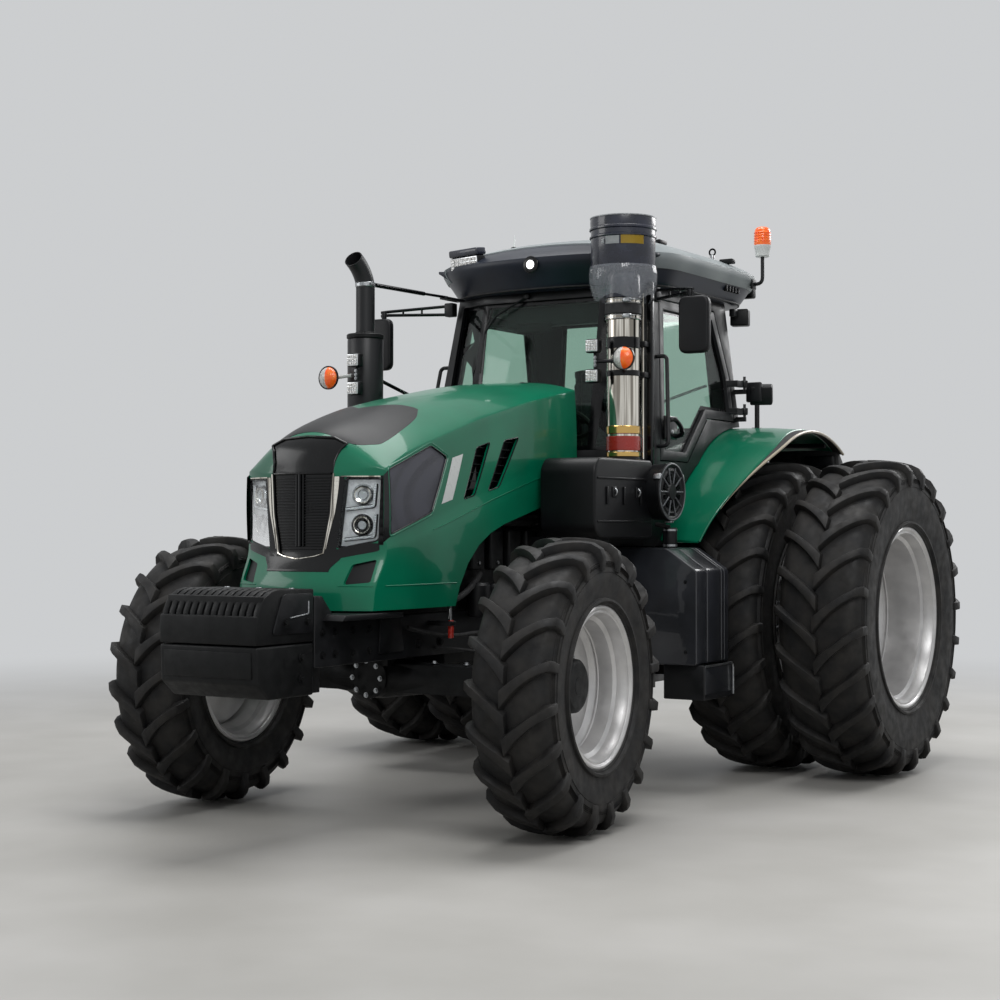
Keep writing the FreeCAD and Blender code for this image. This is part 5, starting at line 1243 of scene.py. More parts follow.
class TRACTOR_OT_hood_face(bpy.types.Operator):
    """Grille with its bright outline, headlamps and side screens."""

    bl_idname = "tractor.hood_face"
    bl_label = "Grille, headlamps and screens"

    def grille(self):
        grille = Piece("grille_panel")

        def opening(z):
            return (0.001 - grille_half(z), grille_half(z) - 0.001)

        grille.add(face_panel(opening, 1.380, 1.988, 0.012, 44, 26), "gloss")
        for i in range(GRILLE_BARS):
            z = 1.425 + (LIP - 1.445) * i / (GRILLE_BARS - 1)
            half = grille_half(z) - 0.022
            grille.add(
                face_line([(half * (k / 8 - 1), z) for k in range(17)], 0.0026, 0.009, 0.002), "plastic"
            )
        for x, radius in ((-0.020, 0.006), (0.0, 0.010), (0.020, 0.006)):
            grille.add(face_line([(x, 1.44 + 0.04 * k) for k in range(10)], radius, 0.006, 0.01), "gloss")
        rim = [(0.195, LIP + 0.002), (0.181, 1.60), (0.142, 1.404), (0.097, 1.390), (0.0, 1.376)]
        rim += [(-x, z) for x, z in reversed(rim[:-1])]
        grille.add(face_line(dense(rim, 5), 0.0045, -0.001, 0.02), "chrome")
        grille.add(
            face_line([(0.045 * k, LIP + 0.003) for k in range(-4, 5)], 0.005, 0.001, 0.005), "gloss"
        )

        def under_lamp(z):
            return (max(0.150, 0.204 + (z - 1.424) / 0.206), min(0.410, 0.204 + (z - 1.380) / 0.206))

        def beside_grille(z):
            return (grille_half(z) + 0.003, lamp_inner(z) + 0.006)

        def bright_edge(z):
            return (grille_half(z) + 0.009, grille_half(z) + 0.013 + 0.020 * ease((z - 1.46) / 0.3))

        def beside_lamp(z):
            return (lamp_outer(z) - 0.004, 0.427)

        def chin(z):
            half = 0.195 + 0.045 * ease((z - 1.325) / 0.07)
            return (-half, half)

        # Black fields round the openings, so that grille, lamps and screens read as one dark mask
        grille.both(face_panel(under_lamp, 1.360, 1.456, -0.0025, 16, 12), "gloss")
        grille.both(face_panel(beside_grille, 1.380, 1.786, -0.0025, 16, 4), "gloss")
        grille.both(face_panel(bright_edge, 1.43, 1.786, -0.006, 16, 3), "chrome")
        grille.add(face_line(dense(GRILLE, 3, True), 0.006, 0.007, 0.004), "gloss")
        for depth in (0.006, 0.015):
            grille.both(face_line(dense(rounded(LAMP, 0.03), 2, True), 0.006, depth, 0.004), "gloss")
        grille.both(face_panel(beside_lamp, 1.452, 1.790, -0.0025, 8, 6), "gloss")
        corner = [(-0.594, 1.800), (-0.545, 1.824), (-0.532, 1.496), (-0.594, 1.462)]
        grille.both(side_panel(corner, -0.0015, 0.003, 6, 12), "gloss")
        grille.add(face_panel(chin, 1.318, 1.388, -0.003, 8, 20), "gloss")
        grille.done("hood", "grille")

    def headlamps(self):
        lamps = Piece("headlamps_dressed")
        for level, x, look in ((1.695, 0.320, "reflector"), (1.545, 0.316, "gloss")):
            place = moved(x, behind(nose(x, 1.6)) + 0.030, level) @ turned_by(90 + FACE_TURN, "Z")
            lamps.both(turned(BOWL, 32), look, place)
            lamps.both(turned(EYE, 32, closed=False), "lens", place)
            lamps.both(turned(EYE_RING, 32), "chrome", place)
            start = (0.236 + (level - 1.5) * 0.05, level - 0.072)
            guide = dense([start, (0.376, level - 0.056), (0.384, level + 0.055)], 5)
            for radius, depth, tone in ((0.0105, 0.022, "gloss"), (0.0075, 0.016, "guide")):
                lamps.both(face_line(guide, radius, depth, 0.02), tone)

        def housing(z):
            return (lamp_inner(z) + 0.006, lamp_outer(z) - 0.004)

        def cover(z):
            return (lamp_inner(z) + 0.002, lamp_outer(z) - 0.001)

        lamps.both(face_panel(housing, 1.446, 1.776, 0.034, 1, 16), "silver")
        inner = [(lamp_inner(z) + 0.004, z) for z in (1.430, 1.50, 1.57, 1.64, 1.71, 1.776)]
        edges = [
            (inner, 0.008, 0.012, "gloss"),
            (inner, 0.008, 0.026, "gloss"),
            (dense([(0.214, 1.428), (0.404, 1.468)], 6), 0.006, 0.012, "gloss"),
            (dense([(0.250, 1.776), (0.414, 1.776)], 6), 0.006, 0.012, "gloss"),
            (dense([(0.232, 1.786), (0.414, 1.786)], 6), 0.004, -0.001, "chrome"),
            (dense([(0.226, 1.622), (0.300, 1.626)], 4), 0.006, 0.03, "chrome"),
        ]
        for route, radius, depth, look in edges:
            lamps.both(face_line(route, radius, depth, 0.01), look)
        lamps.both(face_panel(cover, 1.440, 1.779, 0.003, 1, 16, 0.0025), "lens")
        lamps.done("hood", "headlamps")

    def execute(self, context):
        self.grille()
        self.headlamps()
        screens = Piece("side_screens_dressed")
        screens.both(side_panel(SCREEN, 0.006, 0.003), "screen")
        screens.both(side_line(dense(rounded(SCREEN, 0.02), 2, True), 0.004, 0.002), "gloss")
        screens.done("hood", "side_screens")
        return {"FINISHED"}


# Nose weights and frame


class TRACTOR_OT_weights(bpy.types.Operator):
    """Slab weights on their carrier over one deep lower weight."""

    bl_idname = "tractor.weights"
    bl_label = "Front weights"

    def execute(self, context):
        low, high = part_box("front_weights")
        split = 0.99
        width = high.x - low.x + 0.008
        pitch = width / sizes().weights
        front, back, top = low.y, high.y, high.z
        # The slabs' side view, with its round shoulder
        side_view = [(front + 0.010, split), (back, split), (back, top - 0.004), (front + 0.165, top)]
        side_view += [
            (front + 0.165 - 0.15 * math.sin(a), top - 0.15 + 0.15 * math.cos(a))
            for a in (0.35, 0.7, 1.0, 1.25, 1.45)
        ]
        side_view += [(front + 0.004, top - 0.19)]
        slab = plate(side_view, 0.0, pitch - 0.010, "X", 0.006, 2)
        weights = Piece("front_weights_dressed")
        weights.add(slab, "cast", *(moved(-width / 2 + pitch * i + 0.005) for i in range(sizes().weights)))
        weights.add(
            block((low.x + 0.01, front + 0.05, split), (high.x - 0.01, back, top - 0.03), 0.004), "cast"
        )
        weights.add(
            block(
                (low.x + 0.002, front + 0.001, split),
                (high.x - 0.002, front + 0.06, split + 0.135),
                0.008,
                2,
            ),
            "cast",
        )
        lower = [
            (front + 0.004, split - 0.006),
            (back, split - 0.006),
            (back, low.z),
            (front + 0.10, low.z),
            (front + 0.012, low.z + 0.075),
        ]
        weights.add(plate(lower, low.x, high.x, "X", 0.012, 3), "cast")
        weights.add(
            block((low.x + 0.03, front, low.z + 0.10), (high.x - 0.03, front + 0.02, split - 0.03), 0.006),
            "cast",
        )
        cheek = rounded(
            [
                (front + 0.11, split + 0.045),
                (back - 0.012, split + 0.045),
                (back - 0.012, top - 0.022),
                (front + 0.19, top - 0.022),
            ],
            0.03,
        )
        for inner in (high.x - 0.002, low.x - 0.006):
            weights.add(plate(cheek, inner, inner + 0.008, "X", 0.002), "frame")
        slot = [
            (high.x + 0.007, back - 0.05, top - 0.06),
            (high.x + 0.007, back - 0.05, top - 0.12),
            (high.x + 0.007, back - 0.19, top - 0.135),
        ]
        weights.both(pipe(slot, 0.004, 0.01, 8), "zinc")
        for y, z in (
            (back - 0.06, split + 0.10),
            (back - 0.22, split + 0.10),
            (back - 0.10, low.z + 0.08),
            (back - 0.10, split - 0.07),
        ):
            weights.both(bolt(0.015, 0.012), "cast", moved(high.x + 0.004, y, z) @ turned_by(90, "Y"))
        for x in (-0.20, 0.0, 0.20):
            weights.add(rod((x, back - 0.05, top - 0.03), (x, back - 0.05, top), 0.014, edge=0.003), "zinc")
        weights.done("chassis", "front_weights")

        frame_piece = Piece("frame_details")
        low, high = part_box("front_frame")
        for y in (low.y + 0.06, low.y + 0.16, low.y + 0.30, low.y + 0.44):
            for z in (0.92, 1.03):
                frame_piece.both(bolt(0.014, 0.012), "cast", moved(high.x, y, z) @ turned_by(90, "Y"))
        for y in (behind(-0.10), behind(0.10)):
            frame_piece.both(bolt(0.018, 0.014), "cast", moved(high.x, y, 0.93) @ turned_by(90, "Y"))
        guard = [
            (low.y + 0.06, 1.085), (behind(-0.40), 1.085), (behind(-0.40), 1.115), (low.y + 0.09, 1.115)
        ]
        frame_piece.both(plate(guard, 0.0, 0.42, "X", 0.006), "frame")
        bracket = rounded(
            [(behind(-0.46), 0.90), (behind(-0.24), 0.90), (behind(-0.28), 1.11), (behind(-0.44), 1.11)],
            0.02,
        )
        frame_piece.both(plate(bracket, 0.300, 0.312, "X", 0.002), "frame")
        # The hood's latch with its red pull
        latch_y = behind(0.02)
        frame_piece.both(block((0.30, latch_y - 0.03, 1.02), (0.44, latch_y + 0.03, 1.045), 0.004), "frame")
        frame_piece.both(rod((0.425, latch_y, 1.045), (0.425, latch_y, 1.165), 0.007), "zinc")
        frame_piece.both(rod((0.425, latch_y, 1.158), (0.425, latch_y, 1.176), 0.014, edge=0.003), "zinc")
        frame_piece.both(
            block((0.412, latch_y - 0.012, 0.955), (0.438, latch_y + 0.012, 1.05), 0.006), "red"
        )
        frame_piece.both(
            pipe(
                [
                    (0.425, latch_y - 0.02, 1.06),
                    (0.44, latch_y - 0.03, 1.10),
                    (0.425, latch_y - 0.02, 1.13),
                ],
                0.004,
                0.02,
                8,
            ),
            "zinc",
        )
        frame_piece.done("chassis")
        return {"FINISHED"}


# Pieces that keep a node's own form


BODY_OF = {node: body for body, nodes in frame["record"]["behaviour"]["bodies"].items() for node in nodes}


def merged(node):
    """A copy of a node's mesh with its loose triangles joined."""
    bm = bmesh.new()
    bm.from_mesh(frame["nodes"][node].data)
    bmesh.ops.remove_doubles(bm, verts=bm.verts, dist=1e-5)
    bmesh.ops.dissolve_limit(bm, angle_limit=math.radians(1), verts=bm.verts, edges=bm.edges)
    for face in bm.faces:
        face.material_index = 0
    return bm


def softened(node, width=0.004):
    """A node's own shape with its edges rounded."""
    return round_edges(merged(node), width, 2, 25)


def soften(look, width, *nodes):
    """Stands a softened copy in for each node."""
    for node in nodes:
        Piece(node + "_softened").add(softened(node, width), look).done(BODY_OF[node], node)


def glazed(node, border):
    """A pane with its baked black border on both faces."""
    bm = merged(node)
    broad = [face for face in bm.faces if face.calc_area() > 0.02]
    for face in bm.faces:
        face.material_index = 1
    ring = bmesh.ops.inset_region(
        bm, faces=broad, thickness=border, use_even_offset=False, use_boundary=True
    )
    for faces, index in ((broad, 0), (ring["faces"], 1)):
        for face in faces:
            face.material_index = index
    Piece(node + "_glazed").add(bm, ("glass", "gloss")).done(BODY_OF[node], node, smooth=20)


def turned_z(outline, x, y, steps=64, closed=True):
    """An outline of (height, radius) spun about an upright axis."""
    bm = turned(outline, steps, closed)
    bmesh.ops.transform(bm, matrix=moved(x, y, 0) @ UPRIGHT, verts=bm.verts)
    return bm


def band(low, high, radius, x, y, edge=0.002, steps=64, wall=0.02):
    """A round band about an upright axis."""
    rows = [(low, radius - wall), (low, radius - edge), (low + edge, radius), (high - edge, radius)]
    return turned_z(rows + [(high, radius - edge), (high, radius - wall)], x, y, steps)


def work_lamp(wide, tall, deep, columns, rows):
    """A rounded lamp facing -Y about its own middle: a housing, its reflector seat and its bright cells."""
    case = block((-wide / 2, 0, -tall / 2), (wide / 2, deep, tall / 2), 0.012, 3)
    seat = block(
        (-wide / 2 + 0.006, -0.004, -tall / 2 + 0.006), (wide / 2 - 0.006, 0.002, tall / 2 - 0.006), 0.003
    )
    # The cells take a finish whose glints are painted into its colour.
    cells = bmesh.new()
    pitch_x, pitch_z = (wide - 0.02) / columns, (tall - 0.02) / rows
    for i in range(columns):
        for k in range(rows):
            spot = (
                (i + 0.5) * pitch_x - (wide - 0.02) / 2, -0.007, (k + 0.5) * pitch_z - (tall - 0.02) / 2
            )
            cell = Matrix.LocRotScale(spot, None, (pitch_x * 0.78, 0.008, pitch_z * 0.78))
            bmesh.ops.create_cube(cells, size=1, matrix=cell)
    return ((case, "plastic"), (seat, "reflector"), (cells, "lit_cell"))


def add_all(piece, shapes, *places):
    """Joins shapes that come with their looks."""
    for shape, look in shapes:
        piece.add(shape, look, *places)


# Roof


ROOF_CORNERS = [(-0.30, 0.172), (0.0, 0.152), (0.30, 0.172), (0.62, 0.262), (0.83, 0.47), (0.83, 1.62), (0.78, 1.80),
                (0.66, 1.942), (-0.66, 1.942), (-0.78, 1.80), (-0.83, 1.62), (-0.83, 0.47), (-0.62, 0.262)]
# How far in from the outline, share of the height
ROOF_RISE = [(0.220, 0.0), (0.105, 0.0), (0.088, 0.02), (0.070, 0.10), (0.046, 0.22), (0.022, 0.34), (0.006, 0.44), (0.0, 0.50),
             (0.004, 0.56), (0.034, 0.62), (0.085, 0.70), (0.15, 0.78), (0.23, 0.86), (0.33, 0.93), (0.47, 0.98), (0.62, 1.0)]
GREY_FROM = 0.36
GREY_SHARE = 0.30


def evenly(outline, count):
    """Points at equal steps round a closed outline."""
    points = [Vector(p) for p in outline]
    ends = list(zip(points, points[1:] + points[:1]))
    total = sum((b - a).length for a, b in ends)
    out, walked, target = [], 0.0, 0.0
    for a, b in ends:
        length = (b - a).length
        while target < walked + length - 1e-9 and len(out) < count:
            out.append(a.lerp(b, (target - walked) / length))
            target += total / count
        walked += length
    return out


def roof_body():
    """The roof as rings that climb and close in, with its rear top shell raised in light grey."""
    plan = evenly(rounded(ROOF_CORNERS, 0.22, 6), 128)
    middle_y = (ROOF_LOW.y + ROOF_HIGH.y) / 2
    half_x, half_y = ROOF_HIGH.x, (ROOF_HIGH.y - ROOF_LOW.y) / 2
    low, tall = ROOF_LOW.z, ROOF_HIGH.z - ROOF_LOW.z
    bm = bmesh.new()
    first = [bm.verts.new((p.x, p.y, 0)) for p in plan]
    edges = [bm.edges.new(pair) for pair in zip(first, first[1:] + first[:1])]
    rings = [first]
    for _ in ROOF_RISE[1:]:
        grown = bmesh.ops.extrude_edge_only(bm, edges=edges)
        edges = [g for g in grown["geom"] if isinstance(g, bmesh.types.BMEdge)]
        rings.append([g for g in grown["geom"] if isinstance(g, bmesh.types.BMVert)])
    for ring, (inset, share) in zip(rings, ROOF_RISE):
        for v in ring:
            x = v.co.x * (half_x - inset) / half_x
            y = middle_y + (v.co.y - middle_y) * (half_y - inset) / half_y
            front = max(0.0, 1 - (y - ROOF_LOW.y) / 0.7)
            v.co = Vector((x, y, low + tall * (share - 0.035 * front * share)))
    bmesh.ops.holes_fill(bm, edges=[e for e in bm.edges if e.is_boundary])
    bmesh.ops.recalc_face_normals(bm, faces=bm.faces)
    seam = low + tall * GREY_SHARE
    for level, normal in (((0, GREY_FROM, 0), (0, 1, 0)), ((0, 0, seam), (0, 0, 1))):
        everything = list(bm.verts) + list(bm.edges) + list(bm.faces)
        bmesh.ops.bisect_plane(bm, geom=everything, plane_co=level, plane_no=normal, dist=1e-5)
    grey = [face for face in bm.faces
            if face.calc_center_median().y > GREY_FROM and face.calc_center_median().z > seam]
    step = bmesh.ops.inset_region(bm, faces=grey, thickness=0.003, depth=0.007, use_even_offset=True,
                                  use_boundary=True)
    for face in grey + step["faces"]:
        face.material_index = 1
    return bm


class TRACTOR_OT_roof(bpy.types.Operator):
    """Roof with its raised grey shell, lamps, aerial, lifting eyes and beacon."""

    bl_idname = "tractor.roof"
    bl_label = "Roof"

    def execute(self, context):
        roof = Piece("roof_moulded")
        roof.add(roof_body(), ("roof", "crown"))
        rim_line = [
            (p.x * 0.895, 1.047 + (p.y - 1.047) * 0.90, ROOF_LOW.z + 0.010)
            for p in evenly(rounded(ROOF_CORNERS, 0.22, 6), 96)
        ]
        roof.add(pipe(rim_line + rim_line[:1], 0.007, 0.002, 8), "hose")
        for side in (LEFT, RIGHT):
            eye_place = moved(0.55 * side, 1.62, ROOF_HIGH.z + 0.008) @ turned_by(90, "Z")
            eye = bmesh.new()
            bmesh.ops.create_circle(
                eye, segments=10, radius=0.006, matrix=moved(0, 0.021, 0) @ turned_by(90, "Y")
            )
            bmesh.ops.spin(eye, geom=list(eye.verts) + list(eye.edges), cent=(0, 0, 0), axis=(1, 0, 0),
                           angle=2 * math.pi, steps=24, use_merge=True)
            bmesh.ops.recalc_face_normals(eye, faces=eye.faces)
            roof.add(eye, "zinc", moved(0, 0, 0.012) @ eye_place)
            foot = rod(
                (0.55 * side, 1.62, ROOF_HIGH.z - 0.05),
                (0.55 * side, 1.62, ROOF_HIGH.z + 0.002),
                0.016,
                edge=0.003,
            )
            roof.add(foot, "zinc")
            # Side louvre over the rear quarter
            for i in range(5):
                y = 1.30 + 0.045 * i
                louvre = block((0.778, y, 3.035), (0.800, y + 0.022, 3.075), 0.003, 1)
                roof.add(louvre, "plastic", sided(side))
            ear = plate(
                [(0.60, 3.085), (0.64, 3.15), (0.775, 3.160), (0.775, 3.145), (0.66, 3.075)],
                0.36,
                0.44,
                "Y",
                0.004,
            )
            roof.add(ear, "roof", sided(side))
        lamp_ring = turned(
            [(0.0, 0.0), (0.0, 0.050), (-0.008, 0.052), (-0.012, 0.046), (-0.012, 0.030), (-0.008, 0.0)],
            32,
            closed=False,
        )
        led = turned([(-0.013, 0.0), (-0.013, 0.026), (-0.004, 0.030), (-0.004, 0.0)], 32, closed=False)
        face_on = moved(0.033, 0.160, 3.118) @ turned_by(90, "Z")
        roof.add(lamp_ring, "gloss", face_on)
        roof.add(led, "lit", face_on)
        # Aerial and air intake on top
        roof.add(
            rod(
                (-0.42, 0.70, ROOF_HIGH.z - 0.03),
                (-0.42, 0.70, ROOF_HIGH.z + 0.012),
                0.024,
                0.016,
                edge=0.003,
            ),
            "plastic",
        )
        roof.add(
            rod((-0.42, 0.70, ROOF_HIGH.z + 0.01), (-0.42, 0.71, ROOF_HIGH.z + 0.085), 0.006, 0.004),
            "white",
        )
        roof.add(
            block((0.36, 0.92, ROOF_HIGH.z - 0.01), (0.52, 1.02, ROOF_HIGH.z + 0.016), 0.006), "plastic"
        )
        for x in (0.39, 0.44, 0.49):
            roof.add(
                rod((x, 0.97, ROOF_HIGH.z + 0.012), (x, 0.97, ROOF_HIGH.z + 0.024), 0.012, edge=0.002),
                "zinc",
            )
        roof.both(block((0.70, 1.40, 3.225), (0.79, 1.46, 3.255), 0.006), "plastic")
        roof.done("chassis", "cab_roof", smooth=40)

        lamps = Piece("roof_lamps_dressed")
        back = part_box("roof_lamps")[1].y - 0.012
        bar_place = moved(-0.515, 0.262, 3.178) @ turned_by(-14, "Z") @ turned_by(6, "X")
        add_all(lamps, work_lamp(0.25, 0.092, 0.07, 6, 3), bar_place)
        lamps.add(block((-0.13, -0.010, 0.046), (0.13, 0.075, 0.092), 0.012, 3), "navy", bar_place)
        lamps.add(block((-0.04, 0.06, -0.02), (0.04, 0.16, 0.03), 0.006), "frame", bar_place)
        for side in (LEFT, RIGHT):
            rear_place = moved(0.64 * side, back, 3.115) @ turned_by(180, "Z")
            add_all(lamps, work_lamp(0.11, 0.10, 0.06, 3, 3), rear_place)
            lamps.add(
                block((0.64 * side - 0.02, 1.90, 3.09), (0.64 * side + 0.02, 1.96, 3.14), 0.004), "frame"
            )
        lamps.done("chassis", "roof_lamps")

        beacon = Piece("beacon_dressed")
        low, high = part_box("beacon")
        x, y, top = high.x - 0.058, (low.y + high.y) / 2, high.z
        beacon.add(
            pipe([(low.x - 0.03, y, low.z + 0.012), (x, y, low.z + 0.012), (x, y, 3.30)], 0.012, 0.05, 12),
            "frame",
        )
        beacon.add(
            block((low.x - 0.012, y - 0.03, low.z - 0.02), (low.x + 0.006, y + 0.03, low.z + 0.045), 0.004),
            "frame",
        )
        base = [
            (3.285, 0.0),
            (3.285, 0.040),
            (3.292, 0.046),
            (3.330, 0.048),
            (3.345, 0.054),
            (3.362, 0.055),
            (3.362, 0.0),
        ]
        beacon.add(turned_z(base, x, y, 40, closed=False), "white")
        dome = [
            (3.362, 0.0),
            (3.362, 0.052),
            (3.372, 0.055),
            (3.40, 0.054),
            (top - 0.022, 0.050),
            (top - 0.008, 0.043),
            (top, 0.030),
            (top, 0.0),
        ]
        beacon.add(turned_z(dome, x, y, 40, closed=False), "amber")
        for i in range(4):
            level = 3.385 + 0.018 * i
            beacon.add(band(level, level + 0.006, 0.0565, x, y, 0.002, 40, 0.006), "amber")
        beacon.done("chassis", "beacon")
        return {"FINISHED"}


# Stacks


class TRACTOR_OT_intake(bpy.types.Operator):
    """Air box, filter canister, polished intake stack and precleaner in its film."""

    bl_idname = "tractor.intake"
    bl_label = "Intake"

    def execute(self, context):
        x, y, _ = middle("intake_pipe")
        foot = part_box("intake_pipe")[0].z
        stack = Piece("intake_stack_polished")
        tube = 0.095
        stack.add(
            turned_z([(foot, tube - 0.006), (foot, tube), (2.76, tube), (2.76, tube - 0.006)], x, y, 72),
            "chrome",
        )
        bands = [
            (foot, 1.938, 0.100, "frame"), (1.938, 1.968, 0.101, "gold"), (1.974, 2.058, 0.0995, "red"),
            (2.070, 2.118, 0.1005, "gold"), (2.405, 2.44, 0.0985, "gloss"), (2.565, 2.632, 0.0985, "gloss"),
            (2.730, 2.764, 0.104, "chrome"), (2.764, 2.826, 0.107, "hose"), (2.822, 2.858, 0.103, "chrome"),
        ]
        for low, high, radius, look in bands:
            stack.add(band(low, high, radius, x, y, 0.004, 72), look)
        for level in (2.737, 2.757, 2.829, 2.849):
            stack.add(band(level - 0.002, level + 0.002, 0.1065, x, y, 0.001, 48, 0.01), "zinc")
        for level in (2.747, 2.838):
            stack.add(
                block((x + 0.06, y - 0.118, level - 0.012), (x + 0.10, y - 0.085, level + 0.012), 0.004),
                "zinc",
            )
            stack.add(
                rod((x + 0.05, y - 0.105, level), (x + 0.125, y - 0.105, level), 0.005, edge=0.001), "zinc"
            )
        # Upright post behind the stack, with its clamps
        stack.add(block((0.775, 0.225, 1.86), (0.815, 0.262, 2.97), 0.008, 3), "gloss")
        stack.add(rod((0.765, 0.212, 1.93), (0.765, 0.212, 2.90), 0.007), "chrome")
        for level in (2.42, 2.60):
            stack.add(block((0.70, 0.165, level - 0.016), (0.80, 0.235, level + 0.016), 0.004), "frame")
        stack.done("chassis", "intake_pipe")

        cleaner = Piece("precleaner_dressed")
        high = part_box("precleaner")[1]
        x, y, _ = middle("precleaner")
        top, big = high.z, high.x - x
        neck = [(2.86, 0.090), (2.86, 0.106), (2.90, 0.104), (3.02, 0.096), (3.05, 0.12), (3.05, 0.09)]
        cleaner.add(turned_z(neck, x, y, 48), "navy")
        drum = [(3.032, 0.02), (3.032, big - 0.012), (3.040, big - 0.008), (3.20, big - 0.008), (3.206, big - 0.001), (3.214, big - 0.001),
                (3.220, big - 0.008), (3.246, big - 0.008), (3.252, big), (3.262, big), (3.268, big - 0.006), (top - 0.03, big - 0.004)]
        drum += [
            (top - 0.008, big - 0.006),
            (top, big - 0.012),
            (top, big - 0.022),
            (top - 0.012, big - 0.03),
            (top - 0.02, 0.02),
        ]
        cleaner.add(turned_z(drum, x, y, 72), "navy")
        hoop = [
            (top - 0.006, big - 0.004), (top, big - 0.003), (top, big - 0.012), (top - 0.006, big - 0.012)
        ]
        cleaner.add(turned_z(hoop, x, y, 72), "zinc")
        # Vanes round the drum's underside
        vane = block((-0.003, 0.115, 3.008), (0.003, 0.178, 3.036), 0.001, 1)
        cleaner.add(vane, "plastic", *(moved(x, y) @ turned_by(15 * i, "Z") for i in range(24)))

        def label(first, last, bottom, tall, look):
            """A blank label round the drum between two angles."""

            def spot(s, t):
                angle = math.radians(first + (last - first) * s)
                reach = big - 0.0055
                return (x + reach * math.sin(angle), y - reach * math.cos(angle), bottom + tall * t)

            cleaner.add(thicken(sheet_between(spot, 8, 2), 0.001), look)

        label(-4, 21, 3.155, 0.045, "label")
        label(24, 66, 3.155, 0.050, "yellow")
        label(-13, -7, 3.160, 0.026, "label")
        cleaner.done("chassis", "precleaner", smooth=30)

        film = Piece("precleaner_film")
        generator = random.Random(7)
        ripple = [generator.uniform(0.6, 1.4) for _ in range(12)]

        def skirt(s, t):
            """A point of the film hanging round the drum, with folds that grow towards its foot."""
            angle = 2 * math.pi * s
            fold = sum(math.sin(angle * (3 + k) + 2.1 * k) * ripple[k] for k in range(12)) / 12
            drop = 0.185 * t
            reach = big - 0.002 + 0.012 * t * fold + 0.010 * math.sin(math.pi * t) - 0.030 * t * t
            return (
                x + reach * math.cos(angle),
                y + reach * math.sin(angle),
                3.04 - drop + 0.02 * t * math.sin(angle * 4 + 1),
            )

        wrap = sheet_between(skirt, 120, 10)
        bmesh.ops.remove_doubles(wrap, verts=wrap.verts, dist=1e-4)
        film.add(walled(wrap, 0.0012), "film")
        film.done("chassis", smooth=60)

        box = Piece("air_box_dressed")
        low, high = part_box("air_box")
        case_low, case_high = Vector((0.500, low.y, 1.470)), Vector((0.850, 0.167, high.z))
        outline = rounded([(case_low.y, 1.52), (case_low.y, 1.86), (case_low.y + 0.05, case_high.z), (case_high.y, case_high.z),
                           (case_high.y, case_low.z), (case_low.y + 0.08, case_low.z)], 0.035)
        box.add(plate(outline, case_low.x, case_high.x, "X", 0.014, 3), "plastic")
        for z in (1.56, 1.80):
            box.add(
                block(
                    (case_high.x - 0.004, case_low.y + 0.03, z),
                    (case_high.x + 0.006, case_high.y - 0.02, z + 0.012),
                    0.003,
                ),
                "plastic",
            )
        for at in (-0.40, -0.20, 0.0):
            box.add(
                block((case_high.x, at, 1.66), (case_high.x + 0.010, at + 0.018, 1.76), 0.004), "plastic"
            )
        box.add(block((0.302, -0.366, 1.412), (0.77, -0.21, 1.478), 0.004), "frame")
        box.add(rod((0.60, 0.12, 1.80), (0.60, 0.20, 1.80), 0.10, edge=0.01), "plastic")
        can_y, can_z, reach, inner_x, outer_x = 0.232, 1.737, 0.17, 0.825, high.x
        can = [
            (inner_x, 0.0),
            (inner_x, reach - 0.02),
            (inner_x + 0.01, reach - 0.008),
            (outer_x - 0.035, reach - 0.006),
        ]
        can += [
            (outer_x - 0.03, reach),
            (outer_x - 0.012, reach),
            (outer_x - 0.004, reach - 0.006),
            (outer_x - 0.006, reach - 0.022),
        ]
        can += [
            (outer_x - 0.012, reach - 0.03),
            (outer_x - 0.008, reach * 0.72),
            (outer_x - 0.012, reach * 0.66),
        ]
        can += [(outer_x - 0.012, 0.05), (outer_x - 0.002, 0.045), (outer_x - 0.002, 0.0)]
        can_place = moved(0, can_y, can_z)
        box.add(turned(can, 56, closed=False), "plastic", can_place)
        rim_ring = turned(
            [
                (outer_x - 0.006, reach - 0.012),
                (outer_x - 0.001, reach - 0.008),
                (outer_x - 0.003, reach - 0.002),
                (outer_x - 0.008, reach - 0.004),
            ],
            56,
        )
        box.add(rim_ring, "grey", can_place)
        petal = plate(
            rounded([(-0.009, 0.066), (0.009, 0.066), (0.015, 0.104), (-0.015, 0.104)], 0.006, 3),
            outer_x - 0.0105,
            outer_x - 0.0045,
            "X",
            0,
        )
        box.add(petal, "gloss", *(can_place @ turned_by(36 * i, "X") for i in range(10)))
        spoke = block((outer_x - 0.012, -0.004, 0.05), (outer_x - 0.004, 0.004, 0.145), 0.002, 1)
        box.add(spoke, "grey", *(can_place @ turned_by(36 * i + 18, "X") for i in range(10)))
        for angle in (60, 180, 300):
            latch = block(
                (outer_x - 0.05, -0.018, reach - 0.004), (outer_x - 0.004, 0.018, reach + 0.010), 0.004
            )
            box.add(latch, "zinc", can_place @ turned_by(angle, "X"))
        for at in (-0.02, -0.30):
            loop = [(0.853, at, 1.71), (0.872, at - 0.005, 1.73), (0.853, at, 1.75)]
            box.add(pipe(loop, 0.006, 0.02, 8), "zinc")
            box.add(block((0.848, at - 0.03, 1.70), (0.856, at + 0.02, 1.76), 0.003), "plastic")
        box.add(rod((0.88, 0.33, 1.40), (0.88, 0.33, 1.53), 0.042, edge=0.006), "plastic")
        for z in (1.42, 1.51):
            box.add(
                turned_z([(z, 0.03), (z, 0.044), (z + 0.012, 0.044), (z + 0.012, 0.03)], 0.88, 0.33, 32),
                "zinc",
            )
        box.add(rod((0.80, 0.30, 1.55), (0.88, 0.33, 1.53), 0.014), "hose")
        box.done("chassis", "air_box", smooth=32)
        return {"FINISHED"}


